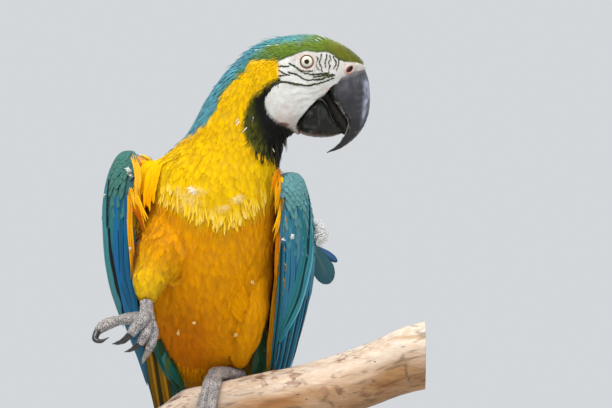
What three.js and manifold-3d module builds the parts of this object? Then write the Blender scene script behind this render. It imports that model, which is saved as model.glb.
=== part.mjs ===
// Blue-and-yellow macaw on a cut length of branch, held by a display stand.
// Millimetres, +Z up, +X to the bird's left, -Y the way its breast faces.
// The bird is laid out from the point where its left foot tops the perch (P0),
// and the whole is raised so that the stand's underside is z = 0.
import * as THREE from 'three';
import { mergeVertices } from 'three/addons/utils/BufferGeometryUtils.js';
import Module from 'manifold-3d';

const wasm = await Module();
wasm.setup();

// ---------------------------------------------------------------- sizes
const PERCH_TOP = 455;        // height of P0 over the floor
const ROD_X = 35;             // rod, from P0
const BASE_R = 135, BASE_H = 18;
const ROD_R = 6;
const GAP = 0.35;             // clearance between neighbouring solids
const TAIL_LENGTH = 455;      // longest rectrix
const EYE_R = 6.6;            // eyeball
const TOE_R = 4.3;
const HEAD_Y = -12;           // mid-plane of the head, which is turned square to the breast
const EYE = [77.4, 256.1];    // x, z of the eye

// trunk and neck: z, left x, right x, front y, back y
const TRUNK = [
  [-7, -14, -1, 43, 55],
  [1, -29, 14, 26, 63],
  [13, -37, 27, 8, 67],
  [30, -43, 37, -10, 66.5],
  [50, -48, 44, -26, 64],
  [75, -52, 50, -40, 59],
  [100, -54, 54, -50, 50],
  [122, -54, 55, -56, 42],
  [145, -54, 55, -58, 35],
  [160, -54, 54.5, -55, 30],
  [170, -54, 55.5, -51, 27],
  [176, -46, 56, -48, 25],
  [183, -34.5, 57.5, -45.5, 23.6],
  [191, -26, 60.5, -43, 22],
  [200, -18, 62.5, -41, 20.5],
  [212, -11, 62, -39, 18],
  [224, -5, 60, -37, 15],
  [236, 3, 58, -35, 11.5],
  [247, 11, 56, -32, 8],
  [257, 21, 53, -27, 3],
];
// head: x, top z, bottom z, half width, bias of the width towards the cheeks
const HEAD = [
  [24, 259, 222, 15, 0.0],
  [32, 267, 208, 21.5, 0.04],
  [44, 273.6, 199, 25.2, 0.10],
  [56, 277, 196, 26.3, 0.15],
  [68, 278.7, 198, 25.8, 0.17],
  [80, 279.2, 203, 24.2, 0.17],
  [90, 277.6, 213, 21.8, 0.15],
  [98, 274.7, 226, 19.4, 0.10],
  [106, 271, 236, 17.4, 0.06],
  [114, 265.6, 242, 15.4, 0.03],
  [120, 260, 246, 12.6, 0.0],
  [124, 253.6, 249.4, 6.2, 0.0],
];
// upper bill: culmen x z, cutting edge x z, half width
const UPPER = [
  [124.2, 250.5, 95.5, 240, 16.0],
  [126.9, 241, 95.6, 233.6, 16.0],
  [127.9, 231.5, 98.0, 226.0, 15.0],
  [127.7, 221.5, 102.0, 221.0, 13.6],
  [126.0, 212.3, 106.4, 214.4, 11.8],
  [122.6, 204.4, 110.0, 208.6, 9.8],
  [117.6, 197.6, 108.2, 200.8, 7.6],
  [111.2, 191.8, 104.6, 194.2, 5.2],
  [103.4, 187.0, 99.8, 188.8, 3.0],
  [93.6, 183.8, 93.2, 184.6, 0.9],
];
// lower bill: upper edge x z, lower edge x z, half width
const LOWER = [
  [71.2, 212.0, 69.0, 203.2, 13.5],
  [77.3, 220.0, 72.6, 199.3, 17.6],
  [82.6, 226.0, 78.5, 197.3, 18.2],
  [87.6, 228.2, 85.5, 196.4, 17.4],
  [92.2, 225.0, 91.5, 196.2, 16.0],
  [95.4, 217.6, 97.0, 196.8, 14.2],
  [98.2, 210.4, 102.2, 198.2, 12.0],
  [102.4, 205.8, 105.8, 199.4, 9.4],
  [106.6, 203.6, 107.4, 200.8, 6.0],
];
// wings, outward distance and y at each height: front edge, outer swell, rear edge, inner swell
const WING_L = [
  [170.5, 64, -20, 69, -13, 64, -4, 61, -12],
  [163, 59, -30, 75, -12, 60, 14, 57, -8],
  [148, 57, -38, 80, -8, 56, 32, 56, -2],
  [125, 57, -40, 84, -2, 47, 44, 56, 2],
  [98, 57, -34, 84, 10, 36, 54, 56, 10],
  [70, 56, -22, 80, 24, 26, 63, 55, 22],
  [40, 54, -4, 72, 38, 18, 71, 54, 36],
  [10, 51, 28, 62, 54, 12, 79, 51, 50],
  [-30, 44, 54, 50, 72, 8, 90, 44, 68],
  [-80, 36, 78, 38, 92, 8, 104, 34, 88],
  [-130, 26, 100, 27, 108, 10, 116, 25, 106],
  [-165, 18, 117, 17, 121, 12, 124, 16, 119],
];
const WING_R = [
  [187.5, 64, -20, 68, -13, 63, -4, 60, -12],
  [180, 59, -30, 75, -12, 60, 14, 57, -8],
  [165, 57, -38, 82, -8, 56, 32, 55, -2],
  [140, 57, -40, 86, -2, 48, 44, 55, 2],
  [110, 58, -34, 85, 8, 38, 54, 56, 10],
  [80, 59, -22, 80, 22, 30, 63, 56, 22],
  [48, 56, -4, 69, 38, 24, 71, 54, 34],
  [15, 50, 28, 57, 52, 20, 79, 48, 48],
  [-20, 44, 52, 47, 68, 18, 88, 42, 64],
  [-75, 38, 76, 39, 88, 20, 103, 36, 86],
  [-125, 31, 98, 32, 106, 21, 115, 30, 104],
  [-158, 26, 114, 26, 118, 22, 122, 25, 116],
];
// branch: x, top z, radius
const BRANCH = [
  [-78, -41, 21.0],
  [-40, -18.6, 22],
  [-29, -10.4, 22.4],
  [-18, -4.6, 22.6],
  [6, 0.6, 23],
  [27, 5.3, 23.4],
  [50, 10.2, 24],
  [68, 13.8, 24.4],
  [88, 19.2, 25],
  [110, 26.2, 25.6],
  [132, 34.4, 26.4],
  [152, 44.0, 27.4],
  [172, 49.5, 27.6],
];

// ---------------------------------------------------------------- curves
// a smooth curve through the rows of a table, s from 0 to rows - 1
function through(rows, s) {
  const n = rows.length - 1;
  const i = Math.min(Math.max(Math.floor(s), 0), n - 1), f = Math.min(Math.max(s - i, 0), 1);
  const a = rows[Math.max(i - 1, 0)], b = rows[i], c = rows[i + 1], d = rows[Math.min(i + 2, n)];
  return b.map((_, k) => {
    const p0 = i ? a[k] : 2 * b[k] - c[k], p3 = i + 2 <= n ? d[k] : 2 * c[k] - b[k];
    return 0.5 * (2 * b[k] + (c[k] - p0) * f + (2 * p0 - 5 * b[k] + 4 * c[k] - p3) * f * f
      + (3 * b[k] - p0 - 3 * c[k] + p3) * f * f * f);
  });
}
// the row of a table at one value of its first column
function at(rows, x) {
  const up = rows[rows.length - 1][0] > rows[0][0];
  let lo = 0, hi = rows.length - 1;
  for (let k = 0; k < 40; k++) {
    const m = (lo + hi) / 2;
    if ((through(rows, m)[0] < x) === up) lo = m; else hi = m;
  }
  return through(rows, lo);
}
const V = (x, y, z) => new THREE.Vector3(x, y, z);
const power = (v, e) => Math.sign(v) * Math.pow(Math.abs(v), e);

// ---------------------------------------------------------------- solids
// a closed skin over rings of equal count, with a point at each end
function loft(rings) {
  const m = rings[0].length, pos = [], idx = [];
  for (const r of rings) for (const p of r) pos.push(p.x, p.y, p.z);
  const mid = (r) => r.reduce((a, p) => a.add(p), V(0, 0, 0)).divideScalar(m);
  const n = rings.length, c0 = n * m, c1 = c0 + 1;
  for (const c of [mid(rings[0]), mid(rings[n - 1])]) pos.push(c.x, c.y, c.z);
  for (let i = 0; i < n - 1; i++)
    for (let j = 0; j < m; j++) {
      const a = i * m + j, b = i * m + (j + 1) % m;
      idx.push(a, b, b + m, a, b + m, a + m);
    }
  for (let j = 0; j < m; j++) {
    idx.push(c0, (j + 1) % m, j);
    idx.push(c1, (n - 1) * m + j, (n - 1) * m + (j + 1) % m);
  }
  const g = new THREE.BufferGeometry();
  g.setAttribute('position', new THREE.Float32BufferAttribute(pos, 3));
  g.setIndex(idx);
  return solid(g);
}
// a geometry as a solid, turned to face out
function solid(geometry) {
  const g = geometry.clone();
  g.deleteAttribute('normal');
  g.deleteAttribute('uv');
  const w = mergeVertices(g, 1e-4);
  const tri = [];
  const ix = w.index.array;
  for (let i = 0; i < ix.length; i += 3)
    if (ix[i] !== ix[i + 1] && ix[i + 1] !== ix[i + 2] && ix[i] !== ix[i + 2]) tri.push(ix[i], ix[i + 1], ix[i + 2]);
  const make = (t) => new wasm.Manifold(new wasm.Mesh({
    numProp: 3, vertProperties: new Float32Array(w.attributes.position.array), triVerts: new Uint32Array(t) }));
  let s = make(tri);
  if (s.volume() < 0) {
    for (let i = 0; i < tri.length; i += 3) [tri[i + 1], tri[i + 2]] = [tri[i + 2], tri[i + 1]];
    s = make(tri);
  }
  return s;
}
// a thin closed blade over a grid of [outer, inner] points
function slab(grid) {
  const n = grid.length - 1, m = grid[0].length - 1, pos = [], idx = [];
  for (const row of grid) for (const [o, i] of row) pos.push(o.x, o.y, o.z, i.x, i.y, i.z);
  const id = (i, j, k) => 2 * (i * (m + 1) + j) + k;
  const quad = (a, b, c, d) => idx.push(a, b, c, a, c, d);
  for (let i = 0; i < n; i++)
    for (let j = 0; j < m; j++) {
      quad(id(i, j, 0), id(i, j + 1, 0), id(i + 1, j + 1, 0), id(i + 1, j, 0));
      quad(id(i, j, 1), id(i + 1, j, 1), id(i + 1, j + 1, 1), id(i, j + 1, 1));
    }
  for (let i = 0; i < n; i++) {
    quad(id(i, 0, 0), id(i + 1, 0, 0), id(i + 1, 0, 1), id(i, 0, 1));
    quad(id(i, m, 0), id(i, m, 1), id(i + 1, m, 1), id(i + 1, m, 0));
  }
  for (let j = 0; j < m; j++) {
    quad(id(0, j, 0), id(0, j, 1), id(0, j + 1, 1), id(0, j + 1, 0));
    quad(id(n, j, 0), id(n, j + 1, 0), id(n, j + 1, 1), id(n, j, 1));
  }
  const g = new THREE.BufferGeometry();
  g.setAttribute('position', new THREE.Float32BufferAttribute(pos, 3));
  g.setIndex(idx);
  return solid(g);
}
// a fan of long feathers side by side: each ends in a rounded point at its own length, and its
// shaft stands a little proud of its edges. place(u, s) gives the point and the outward normal.
function fan(ends, start, steps, notch, place, thick = 0.6, rise = 0.5) {
  const cols = [];
  ends.forEach((e, k) => {
    cols.push([k / ends.length, Math.min(e, k ? ends[k - 1] : e) - notch, 0]);
    cols.push([(k + 0.5) / ends.length, e, rise]);
  });
  cols.push([1, ends[ends.length - 1] - notch, 0]);
  return slab([...Array(steps + 1)].map((_, i) => cols.map(([u, e, up]) => {
    const s = start + (e - start) * (1 - Math.pow(1 - i / steps, 1.3));
    const [p, n] = place(u, s);
    return [p.clone().addScaledVector(n, up + thick), p.clone().addScaledVector(n, up - thick)];
  })));
}
const largest = (s) => s.decompose().sort((a, b) => b.volume() - a.volume())[0];
// everything on the side of a plane that its normal points to
function half(point, normal) {
  const g = new THREE.BoxGeometry(1200, 1200, 1200);
  g.translate(0, 0, 600);
  g.applyQuaternion(new THREE.Quaternion().setFromUnitVectors(V(0, 0, 1), normal.clone().normalize()));
  g.translate(point.x, point.y, point.z);
  return solid(g);
}
// a round-sectioned limb along points, with a radius at each; flat squashes it along `up`
function limb(points, radii, sides, grow = 0, steps = 3, flat = 1) {
  const curve = new THREE.CatmullRomCurve3(points.map((p) => V(...p)), false, 'centripetal');
  const n = (points.length - 1) * steps;
  const rings = [];
  let up = null;
  for (let i = 0; i <= n; i++) {
    const s = i / n * (points.length - 1), k = Math.min(Math.floor(s), points.length - 2), f = s - k;
    const r = THREE.MathUtils.lerp(radii[k], radii[k + 1], f * f * (3 - 2 * f)) + grow;
    const p = curve.getPoint(s / (points.length - 1)), t = curve.getTangent(s / (points.length - 1));
    if (!up) up = Math.abs(t.z) < 0.8 ? V(0, 0, 1) : V(0, 1, 0);
    const side = V().crossVectors(t, up).normalize();
    up = V().crossVectors(side, t).normalize();
    if (i === 0) p.addScaledVector(t, -grow);
    if (i === n) p.addScaledVector(t, grow);
    rings.push([...Array(sides)].map((_, j) => {
      const a = j / sides * 2 * Math.PI;
      return p.clone().addScaledVector(side, r * Math.cos(a)).addScaledVector(up, r * flat * Math.sin(a));
    }));
  }
  return loft(rings);
}

// ---------------------------------------------------------------- trunk, neck and head
function trunkSkin(grow = 0, sides = 18, steps = 0.9) {
  const n = Math.round((TRUNK.length - 1) * steps), rings = [];
  for (let i = 0; i <= n; i++) {
    const [z, xl, xr, yf, yb] = through(TRUNK, i / n * (TRUNK.length - 1));
    const a = (xr - xl) / 2 + grow, b = (yb - yf) / 2 + grow;
    const lift = i === 0 ? -grow : i === n ? grow : 0;
    rings.push([...Array(sides)].map((_, j) => {
      const t = j / sides * 2 * Math.PI;
      return V((xl + xr) / 2 + a * power(Math.cos(t), 0.92), (yf + yb) / 2 + b * power(Math.sin(t), 0.92), z + lift);
    }));
  }
  return loft(rings);
}
function headSkin(grow = 0, sides = 18) {
  const n = 11, rings = [];
  for (let i = 0; i <= n; i++) {
    const [x, zt, zb, w, bias] = through(HEAD, i / n * (HEAD.length - 1));
    const h = (zt - zb) / 2 + grow, lift = i === 0 ? -grow : i === n ? grow : 0;
    // a broad, gently rounded crown over rounder cheeks
    rings.push([...Array(sides)].map((_, j) => {
      const t = j / sides * 2 * Math.PI;
      const e = 0.83 - 0.09 * Math.cos(t);
      return V(x + lift, HEAD_Y + (w + grow) * power(Math.sin(t), e) * (1 - 0.6 * bias * Math.cos(t)), (zt + zb) / 2 + h * Math.cos(t));
    }));
  }
  return loft(rings);
}
// a bill half, between two edge curves; ridge narrows its outer side
function billHalf(rows, grow, ridge, steps = 9, sides = 12) {
  const rings = [];
  for (let i = 0; i <= steps; i++) {
    const [x0, z0, x1, z1, w] = through(rows, i / steps * (rows.length - 1));
    const c = V((x0 + x1) / 2, HEAD_Y, (z0 + z1) / 2), d = V(x0 - x1, 0, z0 - z1), h = d.length() / 2 + grow;
    d.normalize();
    rings.push([...Array(sides)].map((_, j) => {
      const t = j / sides * 2 * Math.PI;
      // the ridge side is round; the side that meets the other bill half is broad and flat
      const cs = Math.cos(t), flat = cs * ridge < 0;
      const p = c.clone().addScaledVector(d, h * power(cs, flat ? 0.6 : 0.95));
      p.y += (w + grow) * power(Math.sin(t), 0.8) * (1 - ridge * cs);
      return p;
    }));
  }
  return loft(rings);
}
function eyeBall(side, grow = 0) {
  const g = new THREE.SphereGeometry(EYE_R + grow, 12, 7);
  g.rotateX(Math.PI / 2);
  g.translate(EYE[0], HEAD_Y + side * 16.6, EYE[1]);
  return solid(g);
}

const parts = {};   // name -> [solid, material]
const MAT = {
  yellow: new THREE.MeshStandardMaterial({ color: 0xf0a90c, roughness: 0.8 }),
  teal: new THREE.MeshStandardMaterial({ color: 0x35808c, roughness: 0.6 }),
  blue: new THREE.MeshStandardMaterial({ color: 0x1f6fa8, roughness: 0.5 }),
  green: new THREE.MeshStandardMaterial({ color: 0x7d9a3c, roughness: 0.7 }),
  bare: new THREE.MeshStandardMaterial({ color: 0xe2ddd6, roughness: 0.7 }),
  bill: new THREE.MeshStandardMaterial({ color: 0x2e2f33, roughness: 0.35 }),
  tongue: new THREE.MeshStandardMaterial({ color: 0x2a2827, roughness: 0.6 }),
  eye: new THREE.MeshStandardMaterial({ color: 0xe6dfb8, roughness: 0.15 }),
  foot: new THREE.MeshStandardMaterial({ color: 0x8c8a8b, roughness: 0.7 }),
  claw: new THREE.MeshStandardMaterial({ color: 0x1c1b1d, roughness: 0.4 }),
  bark: new THREE.MeshStandardMaterial({ color: 0xcdb597, roughness: 0.9 }),
  stand: new THREE.MeshStandardMaterial({ color: 0x3a3634, roughness: 0.5, metalness: 0.1 }),
};
const put = (name, s, material) => { parts[name] = [largest(s), MAT[material]]; };

const body = trunkSkin().add(headSkin());
const neckCut = [V(10, 0, 174), V(0.30, 0, 0.954)];
const headCut = [V(37, 0, 250), V(0.915, 0, 0.403)];
const offset = ([p, n], d) => [p.clone().addScaledVector(n, d), n];
const upperFat = billHalf(UPPER, GAP, 0.12), lowerFat = billHalf(LOWER, GAP, -0.12);
// what the head gives way to: the bill halves, out through the cheeks
const broad = (rows) => rows.map(([a, b, c, d, w]) => [a, b, c, d, w + 8]);
const billBed = upperFat.add(lowerFat).add(billHalf(broad(UPPER), GAP, 0.12)).add(billHalf(broad(LOWER), GAP, -0.12));
const eyes = eyeBall(-1, GAP).add(eyeBall(1, GAP));

put('trunk', body.subtract(half(...offset(neckCut, -0.15))), 'yellow');
put('neck', body.intersect(half(...offset(neckCut, 0.15))).subtract(half(...offset(headCut, -0.15))).subtract(billBed), 'yellow');
const headWhole = body.intersect(half(...offset(headCut, 0.15))).intersect(half(...offset(neckCut, 0.15)))
  .subtract(eyes).subtract(billBed);
// the cere is the band of bare skin over the bill, from the gape to the nostrils
const cereCut = [V(110, 0, 252.4), V(0.34, 0, -0.94)], cereBack = [V(97, 0, 240), V(0.98, 0, -0.2)];
put('head', headWhole.subtract(half(...offset(cereCut, -0.15)).intersect(half(...offset(cereBack, -0.15)))), 'green');
put('cere', headWhole.intersect(half(...offset(cereCut, 0.15))).intersect(half(...offset(cereBack, 0.15))), 'bare');
put('eye_right', eyeBall(-1), 'eye');
put('eye_left', eyeBall(1), 'eye');
put('bill_upper', billHalf(UPPER, 0, 0.12), 'bill');
put('bill_lower', billHalf(LOWER, 0, -0.12).subtract(upperFat), 'bill');
const tongue = limb([[89, HEAD_Y, 235], [92, HEAD_Y, 230], [96, HEAD_Y, 224.5], [99.5, HEAD_Y, 218], [102.6, HEAD_Y, 211.5], [104.6, HEAD_Y, 206.5]], [3.8, 4.4, 5.2, 5.6, 5.4, 3.4], 8, 0, 2, 0.8);
put('tongue', tongue.subtract(upperFat).subtract(lowerFat).subtract(headSkin(GAP)), 'tongue');

// ---------------------------------------------------------------- legs
const TARSUS_L = [[25, 19.5, 5], [18, 13, 7.2], [11, 5.5, 7.9], [5, -2, 7.4], [3.5, -9, 5.6]];
const TARSUS_R = [[-48.8, -64, 66], [-48.6, -68, 60], [-48.2, -71.5, 55], [-47, -73, 51]];
const legs = {
  left: {
    thigh: (g) => limb([[27, -6, 88], [30.5, -10, 62], [30, -5, 40], [25, 6, 25], [22.5, 14.5, 13]], [25, 18, 12.8, 10.3, 7.0], 12, g, 1),
    tarsus: (g) => limb(TARSUS_L, [5.6, 5.6, 6.2, 6.6, 5.2], 8, g, 1, 0.86),
  },
  right: {
    thigh: (g) => limb([[-29, -16, 122], [-39, -38, 102], [-46.5, -54, 83], [-48.6, -62, 66]], [29, 22, 14.5, 8.2], 12, g, 2),
    tarsus: (g) => limb(TARSUS_R, [5.2, 5.4, 6.4, 6.0], 8, g, 1, 0.9),
  },
};
const trunkFat = trunkSkin(GAP);
// height and radius of the branch under a point of its length
const branchAt = (x) => at(BRANCH, x);
// a toe round the branch: x at its root and tip, way (-1 front, +1 back), reach in radians
function grip(x0, x1, way, reach, r) {
  const n = 6;
  return [...Array(n)].map((_, i) => {
    const f = i / (n - 1), x = THREE.MathUtils.lerp(x0, x1, f), a = 0.16 + (reach - 0.16) * f;
    const [, top, rad] = branchAt(x);
    const d = rad + 1.2 + r * (1.08 - 0.22 * f);
    return [x, way * d * Math.sin(a), top - rad + d * Math.cos(a)];
  });
}
// claw: from the toe's end, bending on by the same turn
function clawFrom(path, r, length, bend) {
  const n = path.length, p = V(...path[n - 1]), q = V(...path[n - 2]), o = V(...path[n - 3]);
  const t = p.clone().sub(q).normalize(), u = q.clone().sub(o).normalize();
  const toward = t.clone().sub(u);
  if (toward.length() < 1e-3) toward.set(0, 0, -1);
  toward.normalize();
  return [...Array(4)].map((_, i) => {
    const f = i / 3, d = p.clone().addScaledVector(t, length * (f - 0.12)).addScaledVector(toward, bend * length * f * f);
    return [d.x, d.y, d.z];
  });
}
const TOES = {
  left: {
    toe2: [grip(1.4, -11, -1, 2.0, TOE_R), TOE_R * 0.9, 13, 0.55],
    toe3: [grip(6.2, -2.2, -1, 2.25, TOE_R), TOE_R * 1.06, 15, 0.55],
    toe1: [grip(0.5, -9.5, 1, 1.7, TOE_R), TOE_R * 0.86, 12, 0.55],
    toe4: [grip(9.5, 13.5, 1, 2.1, TOE_R), TOE_R, 14, 0.55],
  },
  right: {
    toe3: [[[-47.8, -74, 57], [-52, -80.5, 51.5], [-57, -83.5, 46], [-60.6, -84, 40.6]], TOE_R * 1.1, 0, 0,
      [[-61, -83.4, 41], [-65.5, -82.5, 36.6], [-70, -80, 34.4], [-75, -76.5, 33.4]]],
    toe2: [[[-46.5, -73, 51.5], [-47.6, -78.5, 44.5], [-50.6, -80, 38.5], [-53.4, -79, 33.6]], TOE_R * 0.92, 0, 0,
      [[-53.4, -79, 34], [-57.4, -77.5, 30.6], [-61, -75, 28.4], [-65.6, -71.6, 27]]],
    toe4: [[[-44.6, -70.5, 50], [-43.4, -74.5, 42.6], [-44, -76, 35.6], [-46.4, -75.6, 28.6]], TOE_R * 0.98, 0, 0,
      [[-46.3, -75.6, 29.4], [-48.4, -74.6, 25], [-50.4, -73.4, 21.8], [-51.8, -72, 17.6]]],
    toe1: [[[-50.5, -68, 54.5], [-60, -61, 53.4], [-71, -58.4, 51.4], [-81, -61.5, 48], [-87, -67, 43.4]], TOE_R * 1.04, 0, 0,
      [[-87.4, -67.6, 42.8], [-88.8, -71.4, 37.4], [-84.6, -75, 35.4], [-78, -77.4, 38.4]]],
  },
};
// knuckles: a toe swells at its joints
const knuckles = (r, n) => [...Array(n)].map((_, i) => r * (i === n - 1 ? 0.78 : i % 2 ? 1.08 : 0.94));
const solids = {};
for (const side of ['left', 'right']) {
  const { thigh, tarsus } = legs[side];
  solids['thigh_' + side] = thigh(GAP);
  put('thigh_' + side, thigh(0).subtract(trunkFat), 'yellow');
  const tarsusSolid = tarsus(0).subtract(thigh(GAP)).subtract(trunkFat);
  put('shank_' + side, tarsusSolid, 'foot');
  let taken = tarsus(GAP).add(thigh(GAP));
  for (const [name, [path, r, length, bend, claw]] of Object.entries(TOES[side])) {
    const radii = knuckles(r, path.length);
    const nail = claw || clawFrom(path, r, length, bend);
    const nr = [r * 0.62, r * 0.55, r * 0.38, 0.5];
    put('foot_' + side + '_' + name, limb(path, radii, 7, 0, 1).subtract(taken), 'foot');
    taken = taken.add(limb(path, radii, 7, GAP, 1));
    put('claw_' + side + '_' + name, limb(nail, nr, 5, 0, 1).subtract(taken), 'claw');
    taken = taken.add(limb(nail, nr, 5, GAP, 1));
  }
  solids['foot_' + side] = taken;
}

// ---------------------------------------------------------------- tail
const tailRoot = V(-6, 52, 34), tailWay = V(-0.05, 0.27, -0.96).normalize();
const tailSide = V(1, 0, 0).addScaledVector(tailWay, -tailWay.x).normalize();
const tailBack = V().crossVectors(tailSide, tailWay).normalize();
const onTail = (s, across, up) => tailRoot.clone().addScaledVector(tailWay, s).addScaledVector(tailSide, across).addScaledVector(tailBack, up);
// the closed tail: six pairs of graduated feathers under a shallow roof
const PAIRS = [0.46, 0.57, 0.69, 0.81, 0.93, 1];
const tailPlace = (u, s) => {
  const a = 2 * u - 1, g = s / TAIL_LENGTH, w = 14 + 17 * Math.min(1, g * 3.2);
  return [onTail(s, a * w, 1.5 - 6.6 * a * a), tailBack.clone().addScaledVector(tailSide, 0.4 * a).normalize()];
};
let tail = fan([...PAIRS, ...[...PAIRS].reverse()].map((f) => f * TAIL_LENGTH), 4, 6, 26, tailPlace);
tail = tail.add(limb([[-6, 50, 36], [-6.4, 53, 24], [-7, 57, 8]], [9, 12, 5], 10, 0, 1, 0.45));
// the covert wedges over and under the tail's root
function covert(length, w0, th0, up, start) {
  const n = 6, rings = [];
  for (let i = 0; i <= n; i++) {
    const f = i / n, s = start + (length - start) * f, w = w0 * Math.sqrt(Math.max(0.02, 1 - Math.pow(f, 2.4))), th = th0 * (1 - 0.82 * f);
    const lift = up > 0 ? 3.6 : -7.2 + 5 * f;
    rings.push([...Array(12)].map((_, j) => {
      const a = j / 12 * 2 * Math.PI;
      return onTail(s, w * Math.cos(a), lift + up * th * (1 - 0.0) + th * Math.sin(a) - up * 0.15 * th * Math.pow(Math.cos(a), 2));
    }));
  }
  return loft(rings);
}
const coverTop = covert(140, 23, 4.6, 1, -4), coverUnder = covert(132, 27, 9, -1, 22);
put('tail_coverts_upper', coverTop.subtract(trunkFat), 'blue');
put('tail_coverts_under', coverUnder.subtract(trunkFat), 'teal');
const coverFat = covert(140 + GAP, 23 + GAP, 4.6 + GAP, 1, -4 - GAP).add(covert(132 + GAP, 27 + GAP, 9 + GAP, -1, 22 - GAP));
tail = tail.subtract(trunkFat).subtract(coverFat);
put('tail', tail, 'blue');

// ---------------------------------------------------------------- wings
const bow = (a, m, b, u) => {
  const c = [0, 1].map((k) => 2 * m[k] - (a[k] + b[k]) / 2);
  return [0, 1].map((k) => (1 - u) * (1 - u) * a[k] + 2 * u * (1 - u) * c[k] + u * u * b[k]);
};
function wingOuter(table, sign, u, v) {
  const [z, fx, fy, mx, my, rx, ry] = through(table, v);
  const [o, y] = bow([fx, fy], [mx, my], [rx, ry], u);
  return V(sign * o, y, z);
}
function wingInner(table, sign, u, v) {
  const [z, fx, fy, , , rx, ry, ix, iy] = through(table, v);
  const edge = 0.6 + 3.2 * Math.max(0, 1 - v / 6);
  const [o, y] = bow([fx - edge, fy + edge * 0.6], [ix, iy], [rx - edge * 0.5, ry - edge * 0.8], u);
  return V(sign * o, y, z);
}
function wingArm(table, sign, grow = 0) {
  const rings = [], end = 6.1, n = 8;
  for (let i = 0; i <= n; i++) {
    const v = end * i / n, ring = [];
    for (let j = 0; j <= 7; j++) ring.push(wingOuter(table, sign, j / 7, v));
    for (let j = 0; j <= 4; j++) ring.push(wingInner(table, sign, 1 - j / 4, v));
    const c = ring.reduce((a, p) => a.add(p), V(0, 0, 0)).divideScalar(ring.length);
    // towards the end the arm thins onto the flight feathers
    rings.push(ring.map((p, j) => {
      const q = p.clone();
      if (grow) q.add(p.clone().sub(c).setZ(0).normalize().multiplyScalar(grow * 1.3));
      if (grow && i === n) q.z -= grow * 1.5;
      if (grow && i === 0) q.z += grow;
      return q;
    }));
  }
  return loft(rings);
}
// where a flight feather lies: a point under the wing's outer surface, and the way out
const wingPlace = (table, sign, depth, u0, u1) => (u, v) => {
  const w = u0 + (u1 - u0) * u, p = wingOuter(table, sign, w, v);
  const across = wingOuter(table, sign, w + 0.02, v).sub(wingOuter(table, sign, w - 0.02, v));
  const along = wingOuter(table, sign, w, v + 0.02).sub(wingOuter(table, sign, w, v - 0.02));
  const n = V().crossVectors(across, along).normalize();
  n.setZ(0).normalize();
  if (n.x * sign < 0) n.negate();
  return [p.addScaledVector(n, -depth), n];
};
const tailFat = tail;  // the wing tips keep clear of the tail by their own course
for (const [side, table, sign] of [['right', WING_R, -1], ['left', WING_L, 1]]) {
  const arm = wingArm(table, sign), armFat = wingArm(table, sign, GAP);
  put('wing_' + side, arm.subtract(trunkFat).subtract(solids['thigh_' + side]), 'teal');
  const prim0 = fan([8.0, 8.9, 9.6, 10.2, 10.6, 11], 6.113, 6, 0.22, wingPlace(table, sign, 4.2, 0.02, 0.98));
  const sec = fan([7.6, 7.6, 7.45, 7.25, 7.05, 6.85, 6.6], 6.113, 3, 0.12, wingPlace(table, sign, 1.0, 0.04, 0.97));
  const clear = (s) => s.subtract(armFat).subtract(trunkFat).subtract(coverFat).subtract(tailFat);
  const prim = largest(clear(prim0));
  put('wing_' + side + '_primaries', prim, 'blue');
  // the secondaries lie over the primaries, and give way to them by the gap
  let fat = prim;
  for (const [dx, dy, dz] of [[GAP, 0, 0], [-GAP, 0, 0], [0, GAP, 0], [0, -GAP, 0], [0, 0, GAP], [0, 0, -GAP]]) fat = fat.add(prim.translate([dx, dy, dz]));
  put('wing_' + side + '_secondaries', largest(clear(sec).subtract(fat)), 'blue');
}
// two ruffled coverts that stand out behind the left wing
function loose(root, way, length, width, face) {
  const t = V(...way).normalize(), f = V(...face), side = V().crossVectors(t, f).normalize(), up = V().crossVectors(side, t).normalize();
  const rings = [];
  for (let i = 0; i <= 8; i++) {
    const g = i / 8, w = width / 2 * (0.22 + 0.78 * Math.min(1, g / 0.62) ** 0.9) * Math.sqrt(Math.max(0.02, 1 - Math.max(0, (g - 0.6) / 0.4) ** 2.4)) + 0.3;
    const p = V(...root).addScaledVector(t, length * g).addScaledVector(up, -4 * g * g);
    rings.push([p.clone().addScaledVector(side, -w).addScaledVector(up, -0.5), p.clone().addScaledVector(up, 0.7), p.clone().addScaledVector(side, w).addScaledVector(up, -0.5), p.clone().addScaledVector(up, -0.7)]);
  }
  return loft(rings);
}
const armL = wingArm(WING_L, 1, GAP);
put('wing_left_loose_feather_1', loose([81.2, 16, 112], [0.43, 0.10, -0.90], 37, 18.5, [0.25, -1, 0]).subtract(armL), 'teal');
put('wing_left_loose_feather_2', loose([81, 19, 111], [0.85, 0.12, -0.51], 26.5, 7.5, [0.25, -1, 0.2]).subtract(armL)
  .subtract(loose([81.2, 16, 112], [0.43, 0.10, -0.90], 38, 20, [0.25, -1, 0]).translate([0, 0.4, 0.4])).subtract(loose([81.2, 16, 112], [0.43, 0.10, -0.90], 38, 20, [0.25, -1, 0]).translate([0, -0.4, -0.4])), 'teal');

// ---------------------------------------------------------------- perch and stand
function branch() {
  const n = 14, sides = 16, rings = [];
  for (let i = 0; i <= n; i++) {
    const x = BRANCH[0][0] + (BRANCH[BRANCH.length - 1][0] - BRANCH[0][0]) * i / n;
    const [, top, r] = at(BRANCH, x);
    const slope = (at(BRANCH, Math.min(x + 2, 171.5))[1] - at(BRANCH, Math.max(x - 2, -77.5))[1]) / 4;
    rings.push([...Array(sides)].map((_, j) => {
      const a = j / sides * 2 * Math.PI, c = Math.cos(a);
      // slightly out of round under and behind, where no toe holds it
      const lump = c < 0 && Math.abs(x - 5) > 22 ? 0.7 * Math.sin(3 * a + x * 0.05) : 0;
      return V(x - slope * c * r * 0.0, (r + lump) * Math.sin(a), top - r + (r + lump) * c);
    }));
  }
  return loft(rings);
}
const rodBottom = BASE_H - 8 - PERCH_TOP;
const [, rodTopZ, rodTopR] = branchAt(ROD_X);
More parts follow.
